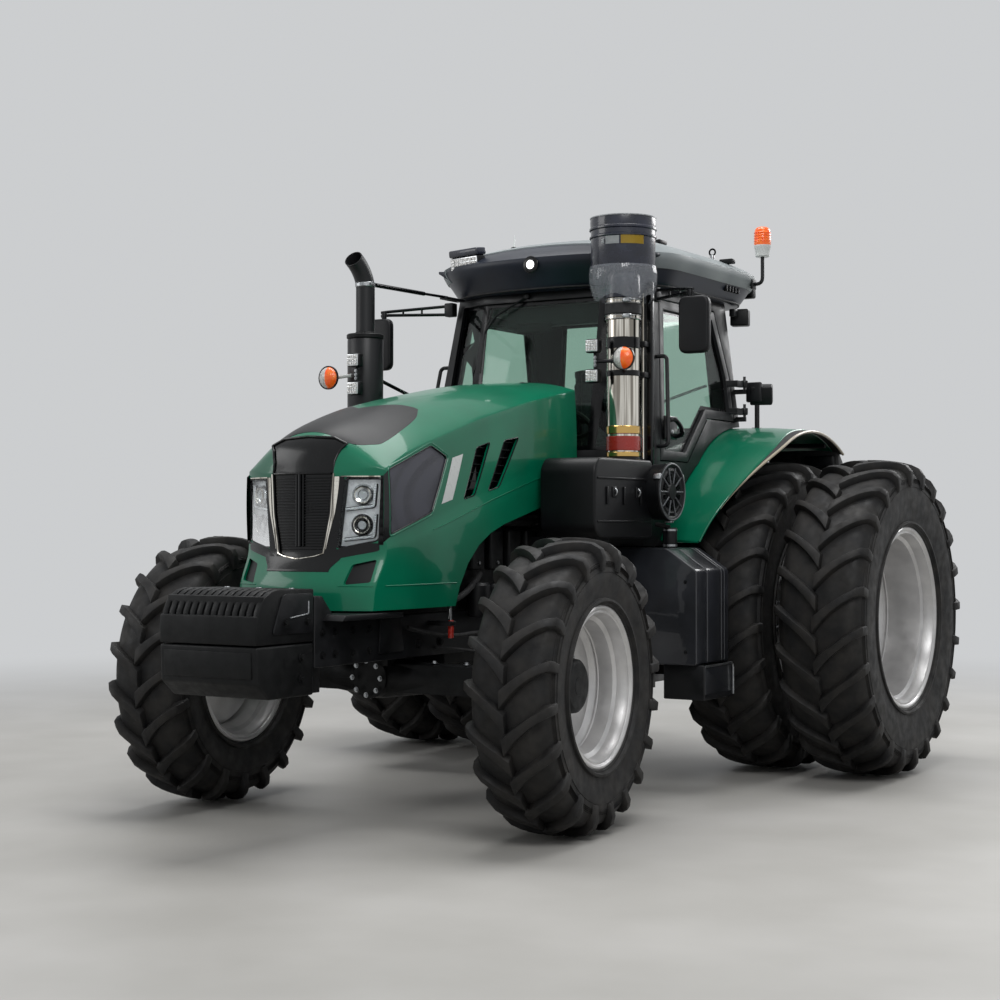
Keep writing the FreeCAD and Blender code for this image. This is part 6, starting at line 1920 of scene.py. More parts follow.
class TRACTOR_OT_exhaust(bpy.types.Operator):
    """Black exhaust with its heat shield, curved tail pipe and struts to the cab."""

    bl_idname = "tractor.exhaust"
    bl_label = "Exhaust"

    def execute(self, context):
        x, y = -0.70, behind(0.80)
        stack = Piece("exhaust_dressed")
        elbow = [(-0.302, y, 1.470), (x, y, 1.470), (x, y, 1.92)]
        stack.add(pipe(elbow, 0.060, 0.13, 24), "cast")
        for z in (1.90, 2.645):
            stack.add(band(z, z + 0.03, 0.111, x, y, 0.006, 48, 0.06), "cast")
        shield = [
            (1.905, 0.060), (1.905, 0.100), (1.915, 0.106), (2.635, 0.106), (2.65, 0.100), (2.65, 0.055)
        ]
        stack.add(turned_z(shield, x, y, 64), "exhaust")
        for k in range(5):
            hole = block((-0.004, -0.108, 1.96 + 0.055 * k), (0.004, -0.100, 1.995 + 0.055 * k), 0.002, 1)
            stack.add(hole, "gloss", *(moved(x, y) @ turned_by(30 * i, "Z") for i in range(12)))
        # The tail pipe bends forwards and ends in a slanting mouth
        tail = pipe(
            [(x, y, 2.62), (x, y, 2.985), (x - 0.012, y - 0.045, 3.075), (x - 0.045, y - 0.16, 3.185)],
            0.056,
            0.16,
            28,
        )
        bmesh.ops.bisect_plane(tail, geom=list(tail.verts) + list(tail.edges) + list(tail.faces), dist=1e-5,
                               plane_co=(x - 0.03, y - 0.10, 3.10), plane_no=(0.0, -0.80, 0.60), clear_outer=True)
        stack.add(walled(tail, 0.004), "exhaust")
        for z, look in ((2.66, "cast"), (2.955, "zinc")):
            stack.add(band(z, z + 0.028, 0.061, x, y, 0.004, 40), look)
        stack.add(bolt(0.009, 0.01), "zinc", moved(x + 0.066, y - 0.02, 2.969) @ turned_by(90, "Y"))
        # Upper strut back to the cab corner, lower strut with its branch
        stack.add(rod((x + 0.045, y + 0.04, 2.969), (-0.655, 0.02, 2.974), 0.013), "gloss")
        stack.add(rod((-0.655, 0.02, 2.974), (-0.625, 0.235, 2.972), 0.0085), "gloss")
        stack.add(block((-0.66, 0.20, 2.958), (-0.60, 0.40, 2.974), 0.004), "frame")
        stack.add(rod((x + 0.06, y + 0.085, 2.40), (-0.71, 0.29, 2.262), 0.011), "gloss")
        stack.add(rod((-0.70, -0.15, 2.332), (-0.66, 0.07, 2.18), 0.008), "gloss")
        stack.add(block((-0.76, 0.262, 2.235), (-0.68, 0.31, 2.285), 0.004), "frame")
        stack.done("chassis", "exhaust", smooth=35)
        return {"FINISHED"}


class TRACTOR_OT_lamps(bpy.types.Operator):
    """Work lamps and turn signals beside the stacks, mirrors and handrails."""

    bl_idname = "tractor.lamps"
    bl_label = "Lamps, mirrors and handrails"

    def execute(self, context):
        for side, word in SIDES:
            turn = sided(side)
            lamps = Piece(f"stack_lamps_{word}_dressed")
            if side == LEFT:
                face_y, lamp_x, levels, signal = -0.085, 0.585, (2.578, 2.404), (0.800, -0.098, 2.497)
                replaced = ("stack_lamps",)
            else:
                face_y, lamp_x, levels, signal = -0.735, 0.640, (2.505, 2.341), (0.842, -0.700, 2.412)
                replaced = ()
            for level in levels:
                add_all(lamps, work_lamp(0.088, 0.080, 0.05, 4, 3), turn @ moved(lamp_x, face_y, level))
                lamps.add(
                    block(
                        (lamp_x - 0.012, face_y + 0.03, level - 0.01),
                        (lamp_x + 0.012, face_y + 0.07, level + 0.01),
                        0.003,
                    ),
                    "frame",
                    turn,
                )
            middle_z = sum(levels) / 2
            bar_y = face_y + 0.045
            bar = rod(
                (lamp_x, bar_y, levels[0] - 0.03), (lamp_x, bar_y, levels[1] + 0.03), 0.010, edge=0.002
            )
            lamps.add(bar, "frame", turn)
            lamps.add(rod((lamp_x, bar_y, middle_z), (0.70, face_y + 0.08, middle_z), 0.011), "frame", turn)
            for z in (middle_z - 0.022, middle_z, middle_z + 0.022):
                lamps.add(
                    bolt(0.007, 0.006),
                    "zinc",
                    turn @ moved(lamp_x + 0.004, face_y + 0.036, z) @ turned_by(90, "X"),
                )
            x, y, z = signal
            stem = rod((0.70, face_y + 0.08, middle_z), (x - 0.03, y + 0.02, z), 0.010)
            lamps.add(stem, "white" if side == RIGHT else "frame", turn)
            # A round signal on edge: amber on its outer half, clear on its inner half
            place = turn @ moved(x, y, z) @ turned_by(90, "Z")
            rim = turned([(-0.006, 0.064), (-0.006, 0.070), (0.006, 0.070), (0.006, 0.064)], 36)
            bulge = [
                (-0.040, 0.0),
                (-0.038, 0.018),
                (-0.030, 0.040),
                (-0.014, 0.058),
                (0.0, 0.065),
                (0.012, 0.060),
                (0.020, 0.04),
                (0.022, 0.0),
            ]
            dome = turned(bulge, 36, closed=False)
            for face in dome.faces:
                face.material_index = 0 if face.calc_center_median().y * side > 0 else 1
            lamps.add(rim, "gloss", place)
            lamps.add(dome, ("lens_frosted", "amber"), place)
            lamps.done("chassis", *replaced)

        mirrors = Piece("mirrors_dressed")
        x, y, bottom, top = 1.11, 0.192, 2.53, 2.86

        def oblong(inset, radius):
            left, right, low, high = x - 0.095 + inset, x + 0.095 - inset, bottom + inset, top - inset
            return rounded([(left, low), (right, low), (right, high), (left, high)], radius, 6)

        mirrors.both(plate(oblong(0.0, 0.05), y - 0.03, y + 0.022, "Y", 0.016, 4), "plastic")
        mirrors.both(plate(oblong(0.012, 0.04), y + 0.020, y + 0.025, "Y", 0.001, 1), "mirror")
        mirrors.both(rod((x - 0.03, y, top - 0.01), (x - 0.03, y, 2.90), 0.016, edge=0.003), "plastic")
        arm_y = 0.43
        for drop in (0.0, 0.055):
            line = [
                (x - 0.01, y - 0.004, 2.900 - drop * 0.4),
                (x - 0.05, y + 0.01, 2.905 - drop * 0.4),
                (0.735, arm_y, 2.945 - drop),
            ]
            mirrors.both(pipe(line, 0.010, 0.02, 10), "gloss")
        for f in (0.25, 0.55):
            a = Vector((x - 0.05, y + 0.01, 2.90)).lerp(Vector((0.735, arm_y, 2.94)), f)
            low = (a.x - 0.004, a.y - 0.008, a.z - 0.045 * (0.5 + f / 2))
            mirrors.both(block(low, (a.x + 0.004, a.y + 0.008, a.z + 0.006), 0.002, 1), "gloss")
        mirrors.both(block((0.695, arm_y - 0.03, 2.875), (0.76, arm_y + 0.03, 2.962), 0.008), "frame")
        mirrors.done("chassis", "mirrors")
        soften("frame", 0.002, "handrails")
        return {"FINISHED"}


# Cab


class TRACTOR_OT_cab(bpy.types.Operator):
    """Cab frame, doors, glass, wiper, headliner, console and steering wheel."""

    bl_idname = "tractor.cab"
    bl_label = "Cab"

    def execute(self, context):
        cab = Piece("cab_frame_dressed").add(softened("cab_frame", 0.007), "frame")
        # Headliner, rolled sun blind and inside mirror
        cab.blocks("lining", ((-0.61, 0.47, 2.90), (0.61, 1.48, 2.968), 0.02),
                   ((-0.30, 0.425, 2.775), (0.56, 0.445, 2.90), 0.012))
        cab.blocks("plastic", ((-0.23, 0.418, 2.735), (0.02, 0.438, 2.80), 0.014))
        for x in (-0.18, -0.03):
            cab.add(rod((x, 0.44, 2.79), (x, 0.50, 2.91), 0.006), "plastic")
        # Air vents in the headliner
        for x in (-0.4, 0.4):
            cab.add(
                turned_z(
                    [(2.888, 0.0), (2.888, 0.045), (2.90, 0.05), (2.90, 0.0)], x, 0.62, 24, closed=False
                ),
                "plastic",
            )
        # Lining of the cab's back
        rear_wall = [(-0.56, 1.47), (0.56, 1.47), (0.60, 2.14), (-0.60, 2.14)]
        cab.add(plate(rear_wall, 1.47, 1.50, "Y", 0.01), "lining")
        # Rubber floor mat
        mat = rounded([(-0.60, 0.34), (0.60, 0.34), (0.60, 1.44), (-0.60, 1.44)], 0.05)
        cab.add(plate(mat, 1.4602, 1.468, "Z", 0.002, 1), "hose")
        cab.done("chassis", "cab_frame", smooth=30)

        glazed("cab_windows", 0.035)
        wiper = Piece("wiper")

        def shield_y(z, lift):
            """The windscreen's place at a height, lifted off the glass."""
            return 0.193 + (z - 1.93) * 0.172 - lift

        arm = [
            (-0.10, shield_y(2.955, 0.03), 2.955),
            (-0.32, shield_y(2.84, 0.035), 2.84),
            (-0.392, shield_y(2.74, 0.026), 2.74),
        ]
        wiper.add(pipe(arm, 0.007, 0.03, 8), "plastic")
        blade = [
            (-0.345, shield_y(2.90, 0.024), 2.90),
            (-0.398, shield_y(2.74, 0.020), 2.74),
            (-0.402, shield_y(2.49, 0.020), 2.49),
        ]
        wiper.add(pipe(blade, 0.0065, 0.05, 8), "hose")
        wiper.add(
            rod(
                (-0.10, shield_y(2.955, 0.045), 2.955),
                (-0.10, shield_y(2.955, -0.01), 2.955),
                0.018,
                edge=0.003,
            ),
            "plastic",
        )
        wiper.done("chassis")

        for side, word in SIDES:
            turn = sided(side)
            door = Piece(f"door_{word}_dressed").add(softened(f"door_{word}", 0.006), "frame")
            # Pull handle with its lock at the front edge
            handle = [
                (0.812, 0.435, 2.165),
                (0.852, 0.450, 2.175),
                (0.858, 0.520, 2.135),
                (0.852, 0.560, 2.085),
                (0.806, 0.555, 2.075),
            ]
            door.add(pipe(handle, 0.014, 0.035, 12), "gloss", turn)
            door.add(block((0.792, 0.415, 2.055), (0.808, 0.580, 2.195), 0.006), "gloss", turn)
            door.add(rod((0.806, 0.50, 2.10), (0.815, 0.50, 2.10), 0.014, edge=0.002), "zinc", turn)
            # Inner pull bar across the door
            pull = [(0.715, 0.50, 2.26), (0.69, 0.52, 2.27), (0.66, 1.22, 2.42), (0.675, 1.25, 2.43)]
            door.add(pipe(pull, 0.009, 0.03, 10), "grey", turn)
            # Hinge pins
            for level in (2.254, 2.4316):
                door.add(
                    rod((0.822, 1.522, level + 0.005), (0.822, 1.522, level + 0.045), 0.022, edge=0.004),
                    "gloss",
                    turn,
                )
            door.done(f"door_{word}", f"door_{word}", smooth=30)
            glazed(f"door_glass_{word}", 0.024)

        inside = Piece("cab_controls").add(softened("steering_column", 0.003), "plastic")
        inside.add(block((-0.15, 0.53, 2.10), (0.15, 0.60, 2.24), 0.02, 3), "plastic")
        inside.add(block((-0.12, 0.597, 2.125), (0.12, 0.603, 2.22), 0.003), "gloss")
        rim = [(0.0, 0.178), (0.012, 0.186), (0.016, 0.195), (0.012, 0.206), (0.0, 0.212), (-0.012, 0.206),
               (-0.016, 0.195), (-0.012, 0.186)]
        tilt = moved(0, 0.517, 2.10) @ turned_by(-28, "X")
        inside.add(turned(rim, 48), "hose", tilt @ moved(0, 0, 0.10) @ turned_by(90, "Y"))
        boss = turned([(0.0, 0.0), (0.0, 0.055), (0.022, 0.045), (0.026, 0.0)], 32, closed=False)
        inside.add(boss, "plastic", tilt @ moved(0, 0, 0.118) @ UPRIGHT)
        console = rounded(
            [(0.72, 1.468), (1.40, 1.468), (1.40, 1.98), (1.02, 1.98), (0.80, 1.90), (0.72, 1.78)], 0.05
        )
        inside.add(plate(console, -0.52, -0.315, "X", 0.02, 3), "plastic")
        console = rounded([(0.90, 1.468), (1.40, 1.468), (1.40, 1.90), (0.95, 1.86)], 0.05)
        inside.add(plate(console, 0.33, 0.52, "X", 0.02, 3), "plastic")
        levers = ((-0.42, 0.84, 0.17, "plastic"), (-0.36, 0.92, 0.13, "red"), (-0.47, 0.95, 0.11, "yellow"),
                  (-0.40, 1.10, 0.10, "plastic"))
        for x, y, tall, look in levers:
            inside.add(rod((x, y, 1.88), (x, y - 0.02, 1.95 + tall), 0.007), "zinc")
            inside.add(
                rod((x, y - 0.02, 1.94 + tall), (x, y - 0.025, 1.985 + tall), 0.017, 0.013, edge=0.005),
                look,
            )
        inside.add(block((-0.38, 1.02, 2.10), (-0.30, 1.36, 2.15), 0.018, 3), "hose")
        inside.add(rod((-0.34, 1.30, 1.95), (-0.34, 1.30, 2.12), 0.018), "plastic")
        inside.add(block((-0.50, 0.60, 2.20), (-0.30, 0.635, 2.36), 0.01), "gloss")
        inside.add(rod((-0.40, 0.635, 2.24), (-0.40, 0.72, 1.95), 0.012), "plastic")
        # Pedals
        for x in (-0.13, 0.16, 0.25):
            inside.add(block((x - 0.035, 0.42, 1.55), (x + 0.035, 0.45, 1.64), 0.006), "hose")
            inside.add(rod((x, 0.44, 1.58), (x, 0.37, 1.74), 0.008), "frame")
        inside.add(rod((0.0, 0.47, 2.78), (0.0, 0.50, 2.84), 0.006), "plastic")
        inside.done("chassis", "steering_column", smooth=35)
        return {"FINISHED"}


CLOTH_FRAMES = 20
CLOTH_REACH = 0.022


def swollen(node, depth_axis, seams, arch=0.03):
    """A cushion sewn from cloth: a crowned block, blown up by a cloth simulation, with its seams pressed in after."""
    low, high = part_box(node)
    name = node + "_sewn"
    size = high - low
    # A lying cushion is crowned on top, an upright one on its front
    sense = 1 if depth_axis == 2 else -1
    bm = bmesh.new()
    bmesh.ops.create_cube(bm, size=1)
    bmesh.ops.subdivide_edges(bm, edges=bm.edges, cuts=10, use_grid_fill=True)
    for v in bm.verts:
        p = v.co * 2
        round_off = [
            1 - 0.10 * (abs(p[(axis + 1) % 3]) ** 4 + abs(p[(axis + 2) % 3]) ** 4) / 2 for axis in range(3)
        ]
        crown = (1 - p[(depth_axis + 1) % 3] ** 2) * (1 - p[(depth_axis + 2) % 3] ** 2)
        spot = [p[axis] / 2 * round_off[axis] * size[axis] * 0.955 for axis in range(3)]
        if p[depth_axis] * sense > 0.9:
            spot[depth_axis] -= sense * arch * (1 - crown) * 0.5
        v.co = (low + high) / 2 + Vector(spot)
    mesh = bpy.data.meshes.new(name)
    bm.to_mesh(mesh)
    bm.free()
    made = bpy.data.objects.new(name, mesh)
    bpy.context.scene.collection.objects.link(made)
    remesh = made.modifiers.new("voxels", "REMESH")
    remesh.mode, remesh.voxel_size = "VOXEL", 0.006
    cloth = made.modifiers.new("cloth", "CLOTH")
    cloth.settings.use_pressure = True
    cloth.settings.uniform_pressure_force = 4.0
    cloth.settings.effector_weights.gravity = 0.0
    cloth.point_cache.frame_start, cloth.point_cache.frame_end = 1, CLOTH_FRAMES
    scene = bpy.context.scene
    graph = bpy.context.evaluated_depsgraph_get()
    scene.frame_set(1)
    before = [v.co.copy() for v in made.evaluated_get(graph).data.vertices]
    for step in range(2, CLOTH_FRAMES + 1):
        scene.frame_set(step)
    puffed = bpy.data.meshes.new_from_object(made.evaluated_get(bpy.context.evaluated_depsgraph_get()))
    for v, rest in zip(puffed.vertices, before):
        shift = v.co - rest
        if shift.length > CLOTH_REACH:
            shift *= CLOTH_REACH / shift.length
        v.co = rest + shift
    scene.frame_set(1)
    made.modifiers.clear()
    made.data = puffed
    for v in made.data.vertices:
        for axis in range(3):
            v.co[axis] = min(max(v.co[axis], low[axis] + 0.0003), high[axis] - 0.0003)
        for seam_axis, at in seams:
            press = math.exp(-(((v.co[seam_axis] - at) / 0.007) ** 2))
            if (v.co[depth_axis] - (low[depth_axis] + high[depth_axis]) / 2) * sense > 0:
                v.co[depth_axis] -= sense * 0.009 * press
    made.data.materials.clear()
    made.data.materials.append(finish("cloth"))
    made.data.polygons.foreach_set("use_smooth", [True] * len(made.data.polygons))
    smoother = made.modifiers.new("rounding", "SUBSURF")
    smoother.levels = smoother.render_levels = 1
    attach(made, "chassis")
    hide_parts(node)


class TRACTOR_OT_seat(bpy.types.Operator):
    """Sprung seat with sewn cushions and armrests."""

    bl_idname = "tractor.seat"
    bl_label = "Seat"

    def execute(self, context):
        base = Piece("seat_base_dressed").add(softened("seat_base", 0.008), "plastic")
        # Bellows of the suspension
        for i in range(6):
            z = 1.545 + 0.038 * i
            base.add(block((-0.165, 0.845, z), (0.165, 1.175, z + 0.020), 0.008, 2), "hose")
        # Armrests
        base.both(block((0.262, 0.96, 1.99), (0.315, 1.22, 2.03), 0.016, 3), "hose")
        base.both(rod((0.288, 1.20, 1.84), (0.288, 1.20, 2.0), 0.014), "plastic")
        base.done("chassis", "seat_base")
        low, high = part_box("seat_cushion")
        swollen(
            "seat_cushion",
            2,
            [(0, low.x + 0.11), (0, high.x - 0.11), (1, low.y + 0.13), (1, high.y - 0.14)],
        )
        low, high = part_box("seat_back")
        rows = [(2, low.z + (high.z - low.z) * f) for f in (0.22, 0.42, 0.62, 0.82)]
        swollen("seat_back", 1, rows + [(0, low.x + 0.09), (0, high.x - 0.09)])
        return {"FINISHED"}


# Sides


FENDER_FROM, FENDER_TO = 159.0, 62.0


class TRACTOR_OT_fenders(bpy.types.Operator):
    """Rear fenders with their fold, black extension and a pale bead on its edge, a painted highlight."""

    bl_idname = "tractor.fenders"
    bl_label = "Fenders"

    def execute(self, context):
        low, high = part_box("fender_left")
        inner, outer = low.x, high.x
        crest = (low.y - REAR) / math.cos(math.radians(FENDER_FROM))
        centre_z = high.z - crest

        def edge_x(degrees):
            """The fender's outer edge, which swings out behind the cab's front corner."""
            run = crest * (math.cos(math.radians(degrees)) - math.cos(math.radians(FENDER_FROM)))
            return 0.955 + (outer - 0.955) * math.sin(math.pi / 2 * min(1.0, run / 0.62))

        def on_arc(x, radius, degrees):
            turn = math.radians(degrees)
            return (x, REAR + radius * math.cos(turn), centre_z + radius * math.sin(turn))

        def paint_x(degrees):
            edge = edge_x(degrees)
            return inner + 0.012 + (edge - inner - 0.012) * (
                1.0 - 0.13 * ease((FENDER_FROM - 12 - degrees) / 50)
            )

        def top(s, t):
            degrees = FENDER_FROM + (FENDER_TO - FENDER_FROM) * t
            x = inner + 0.004 + (paint_x(degrees) - inner - 0.004) * s
            fold = 0.60
            drop = 0.004 * (s / fold) ** 2 if s < fold else 0.004 + 0.016 * (s - fold) / (1 - fold)
            return on_arc(x, crest - 0.0005 - drop, degrees)

        def extension(s, t):
            degrees = FENDER_FROM - 12 + (FENDER_TO - FENDER_FROM + 12) * t
            start = paint_x(degrees) - 0.004
            stop = edge_x(degrees)
            return on_arc(start + (stop - start) * s, crest - 0.022 - 0.010 * s, degrees)

        def wall(s, t):
            """A point of the inboard wall that closes the cab's arch."""
            degrees = FENDER_FROM + (FENDER_TO - FENDER_FROM) * t
            return on_arc(inner + 0.010, 0.640 + (crest - 0.654) * s, degrees)

        for side, word in SIDES:
            fender = Piece(f"fender_{word}_pressed")
            fender.add(walled(sheet_between(top, 20, 56), 0.009), "paint")
            fender.add(walled(sheet_between(extension, 4, 48), 0.008), "hose")
            steps = 48
            lip, bead = [], []
            for i in range(steps + 1):
                degrees = FENDER_FROM + (FENDER_TO - FENDER_FROM) * i / steps
                lip.append(on_arc(paint_x(degrees) - 0.002, crest - 0.026, degrees))
                past = FENDER_FROM - 12 + (FENDER_TO - FENDER_FROM + 12) * i / steps
                bead.append(on_arc(edge_x(past) - 0.007, crest - 0.036, past))
            fender.add(pipe(lip, 0.008, 0.002, 10), "paint")
            # A pale bead along the extension's outer edge: a painted highlight of the rounded edge.
            fender.add(pipe(bead, 0.009, 0.002, 10), "cream")
            front_edge = [
                on_arc(inner + 0.01, crest - 0.012, FENDER_FROM),
                on_arc(paint_x(FENDER_FROM) - 0.01, crest - 0.026, FENDER_FROM),
            ]
            fender.add(pipe(front_edge, 0.010, 0.002, 10), "paint")
            fender.add(walled(sheet_between(wall, 6, 40), 0.008), "plastic")
            # Black flap and carrier behind
            flap = [
                on_arc(0, r, a)
                for r, a in ((crest - 0.02, 64), (crest - 0.05, 58), (crest - 0.16, 55), (crest - 0.15, 60))
            ]
            fender.add(plate([(p[1], p[2]) for p in flap], inner + 0.05, outer - 0.03, "X", 0.006), "hose")
            carrier = [on_arc(0.74, crest - 0.06, 62 + 3 * i) for i in range(8)]
            fender.add(pipe(carrier, 0.018, 0.01, 10), "frame")
            for degrees in (72, 100):
                cross = [on_arc(0.74, crest - 0.05, degrees), on_arc(outer - 0.06, crest - 0.06, degrees)]
                fender.add(pipe(cross, 0.016, 0.01, 10), "frame")
            # Rear lamp cluster
            y, z = on_arc(0, crest - 0.075, 63)[1:]
            fender.add(
                block((outer - 0.26, y - 0.03, z - 0.055), (outer - 0.05, y + 0.035, z + 0.02), 0.012, 3),
                "plastic",
            )
            for x, look in ((outer - 0.25, "red_lens"), (outer - 0.15, "amber")):
                fender.add(block((x, y + 0.02, z - 0.045), (x + 0.09, y + 0.043, z + 0.01), 0.008), look)
            # Work lamps beside the cab's rear corner: one on its stem, one under the roof
            base = on_arc(0.84, crest - 0.004, 90)
            fender.add(rod((0.862, 1.63, base[2] - 0.03), (0.862, 1.63, 2.36), 0.016), "frame")
            fender.add(block((0.835, 1.60, base[2] - 0.012), (0.89, 1.66, base[2] + 0.008), 0.004), "frame")
            add_all(
                fender,
                work_lamp(0.145, 0.125, 0.10, 3, 3),
                moved(0.865, 1.70, 2.405) @ turned_by(200, "Z") @ turned_by(-15, "X"),
            )
            fender.add(block((0.80, 1.585, 2.34), (0.91, 1.615, 2.47), 0.012), "frame")
            add_all(
                fender, work_lamp(0.12, 0.11, 0.09, 3, 3), moved(0.72, 1.70, 2.90) @ turned_by(195, "Z")
            )
            fender.add(block((0.70, 1.55, 2.90), (0.74, 1.62, 2.95), 0.006), "frame")
            fender.done("chassis", f"fender_{word}", smooth=30, place=sided(side))
        return {"FINISHED"}


class TRACTOR_OT_tanks(bpy.types.Operator):
    """Side tanks in ribbed covers, with their steps."""

    bl_idname = "tractor.tanks"
    bl_label = "Tanks and steps"

    def execute(self, context):
        low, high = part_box("fuel_tank")
        inner, outer = 0.52, high.x
        outline = rounded(
            [
                (inner, low.z),
                (outer, low.z),
                (outer, 1.285),
                (outer - 0.19, high.z),
                (inner + 0.09, high.z),
                (inner, high.z - 0.13),
            ],
            0.022,
        )
        core = rounded([(inner + 0.008, low.z + 0.006), (outer - 0.008, low.z + 0.006), (outer - 0.008, 1.281), (outer - 0.194, high.z - 0.008),
                        (inner + 0.09, high.z - 0.008), (inner + 0.006, high.z - 0.13)], 0.02)
        # The covers' lengths, split by open grooves
        cuts = (0.0, 0.33, 0.77, 0.86, 1.0)
        for side, node in ((LEFT, "fuel_tank"), (RIGHT, "battery_box")):
            tank = Piece(node + "_dressed")
            for a, b in zip(cuts, cuts[1:]):
                start, end = low.y + (high.y - low.y) * a, low.y + (high.y - low.y) * b
                tank.add(
                    plate(
                        outline, start + (0.003 if a else 0), end - (0.003 if b < 1 else 0), "Y", 0.007, 3
                    ),
                    "satin",
                )
            tank.add(plate(core, low.y + 0.01, high.y - 0.01, "Y", 0.002, 1), "plastic")
            for y in (low.y + 0.05, high.y - 0.11):
                tank.add(block((0.271, y, 0.78), (inner + 0.02, y + 0.06, 0.86), 0.005), "frame")
            for y in (low.y + 0.10, low.y + 0.38):
                tank.add(
                    block(
                        (inner + 0.02, y, low.z - 0.004), (outer - 0.02, y + 0.04, low.z + 0.004), 0.002, 1
                    ),
                    "frame",
                )
            if side == LEFT:
                cap = [
                    (high.z - 0.012, 0.0),
                    (high.z - 0.012, 0.045),
                    (high.z - 0.002, 0.045),
                    (high.z - 0.001, 0.0),
                ]
                tank.add(turned_z(cap, 0.80, low.y + 0.09, 32, closed=False), "plastic")
            else:
                for x in (0.70, 0.95):
                    tank.add(
                        block((x, low.y - 0.006, 1.10), (x + 0.05, low.y + 0.002, 1.14), 0.004), "zinc"
                    )
            for z in (0.82, 1.22):
                for x in (0.60, 1.08):
                    tank.add(bolt(0.008, 0.006), "frame", moved(x, low.y + 0.001, z) @ turned_by(90, "X"))
            tank.done("chassis", node, smooth=30, place=sided(side))
        steps = Piece("steps_dressed").add(softened("steps", 0.006), "frame")
        low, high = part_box("steps")
        inner, outer = 0.92, high.x
        for i in range(7):
            y = low.y + 0.05 + 0.045 * i
            steps.both(
                block((inner + 0.02, y, low.z + 0.033), (outer - 0.02, y + 0.012, low.z + 0.042), 0.003, 1),
                "frame",
            )
        line = [
            (outer + 0.002, low.y + 0.01, high.z - 0.006),
            (outer + 0.002, high.y - 0.008, high.z - 0.006),
            (outer + 0.002, high.y - 0.008, low.z + 0.012),
        ]
        steps.both(pipe(line, 0.006, 0.03, 10), "zinc")
        shield = rounded(
            [
                (low.y + 0.012, low.z + 0.02),
                (high.y - 0.012, low.z + 0.02),
                (high.y - 0.012, high.z - 0.008),
                (low.y + 0.012, high.z - 0.008),
            ],
            0.02,
        )
        steps.both(plate(shield, outer - 0.012, outer - 0.002, "X", 0.004), "satin")
        steps.done("chassis", "steps")
        return {"FINISHED"}


# Underbody


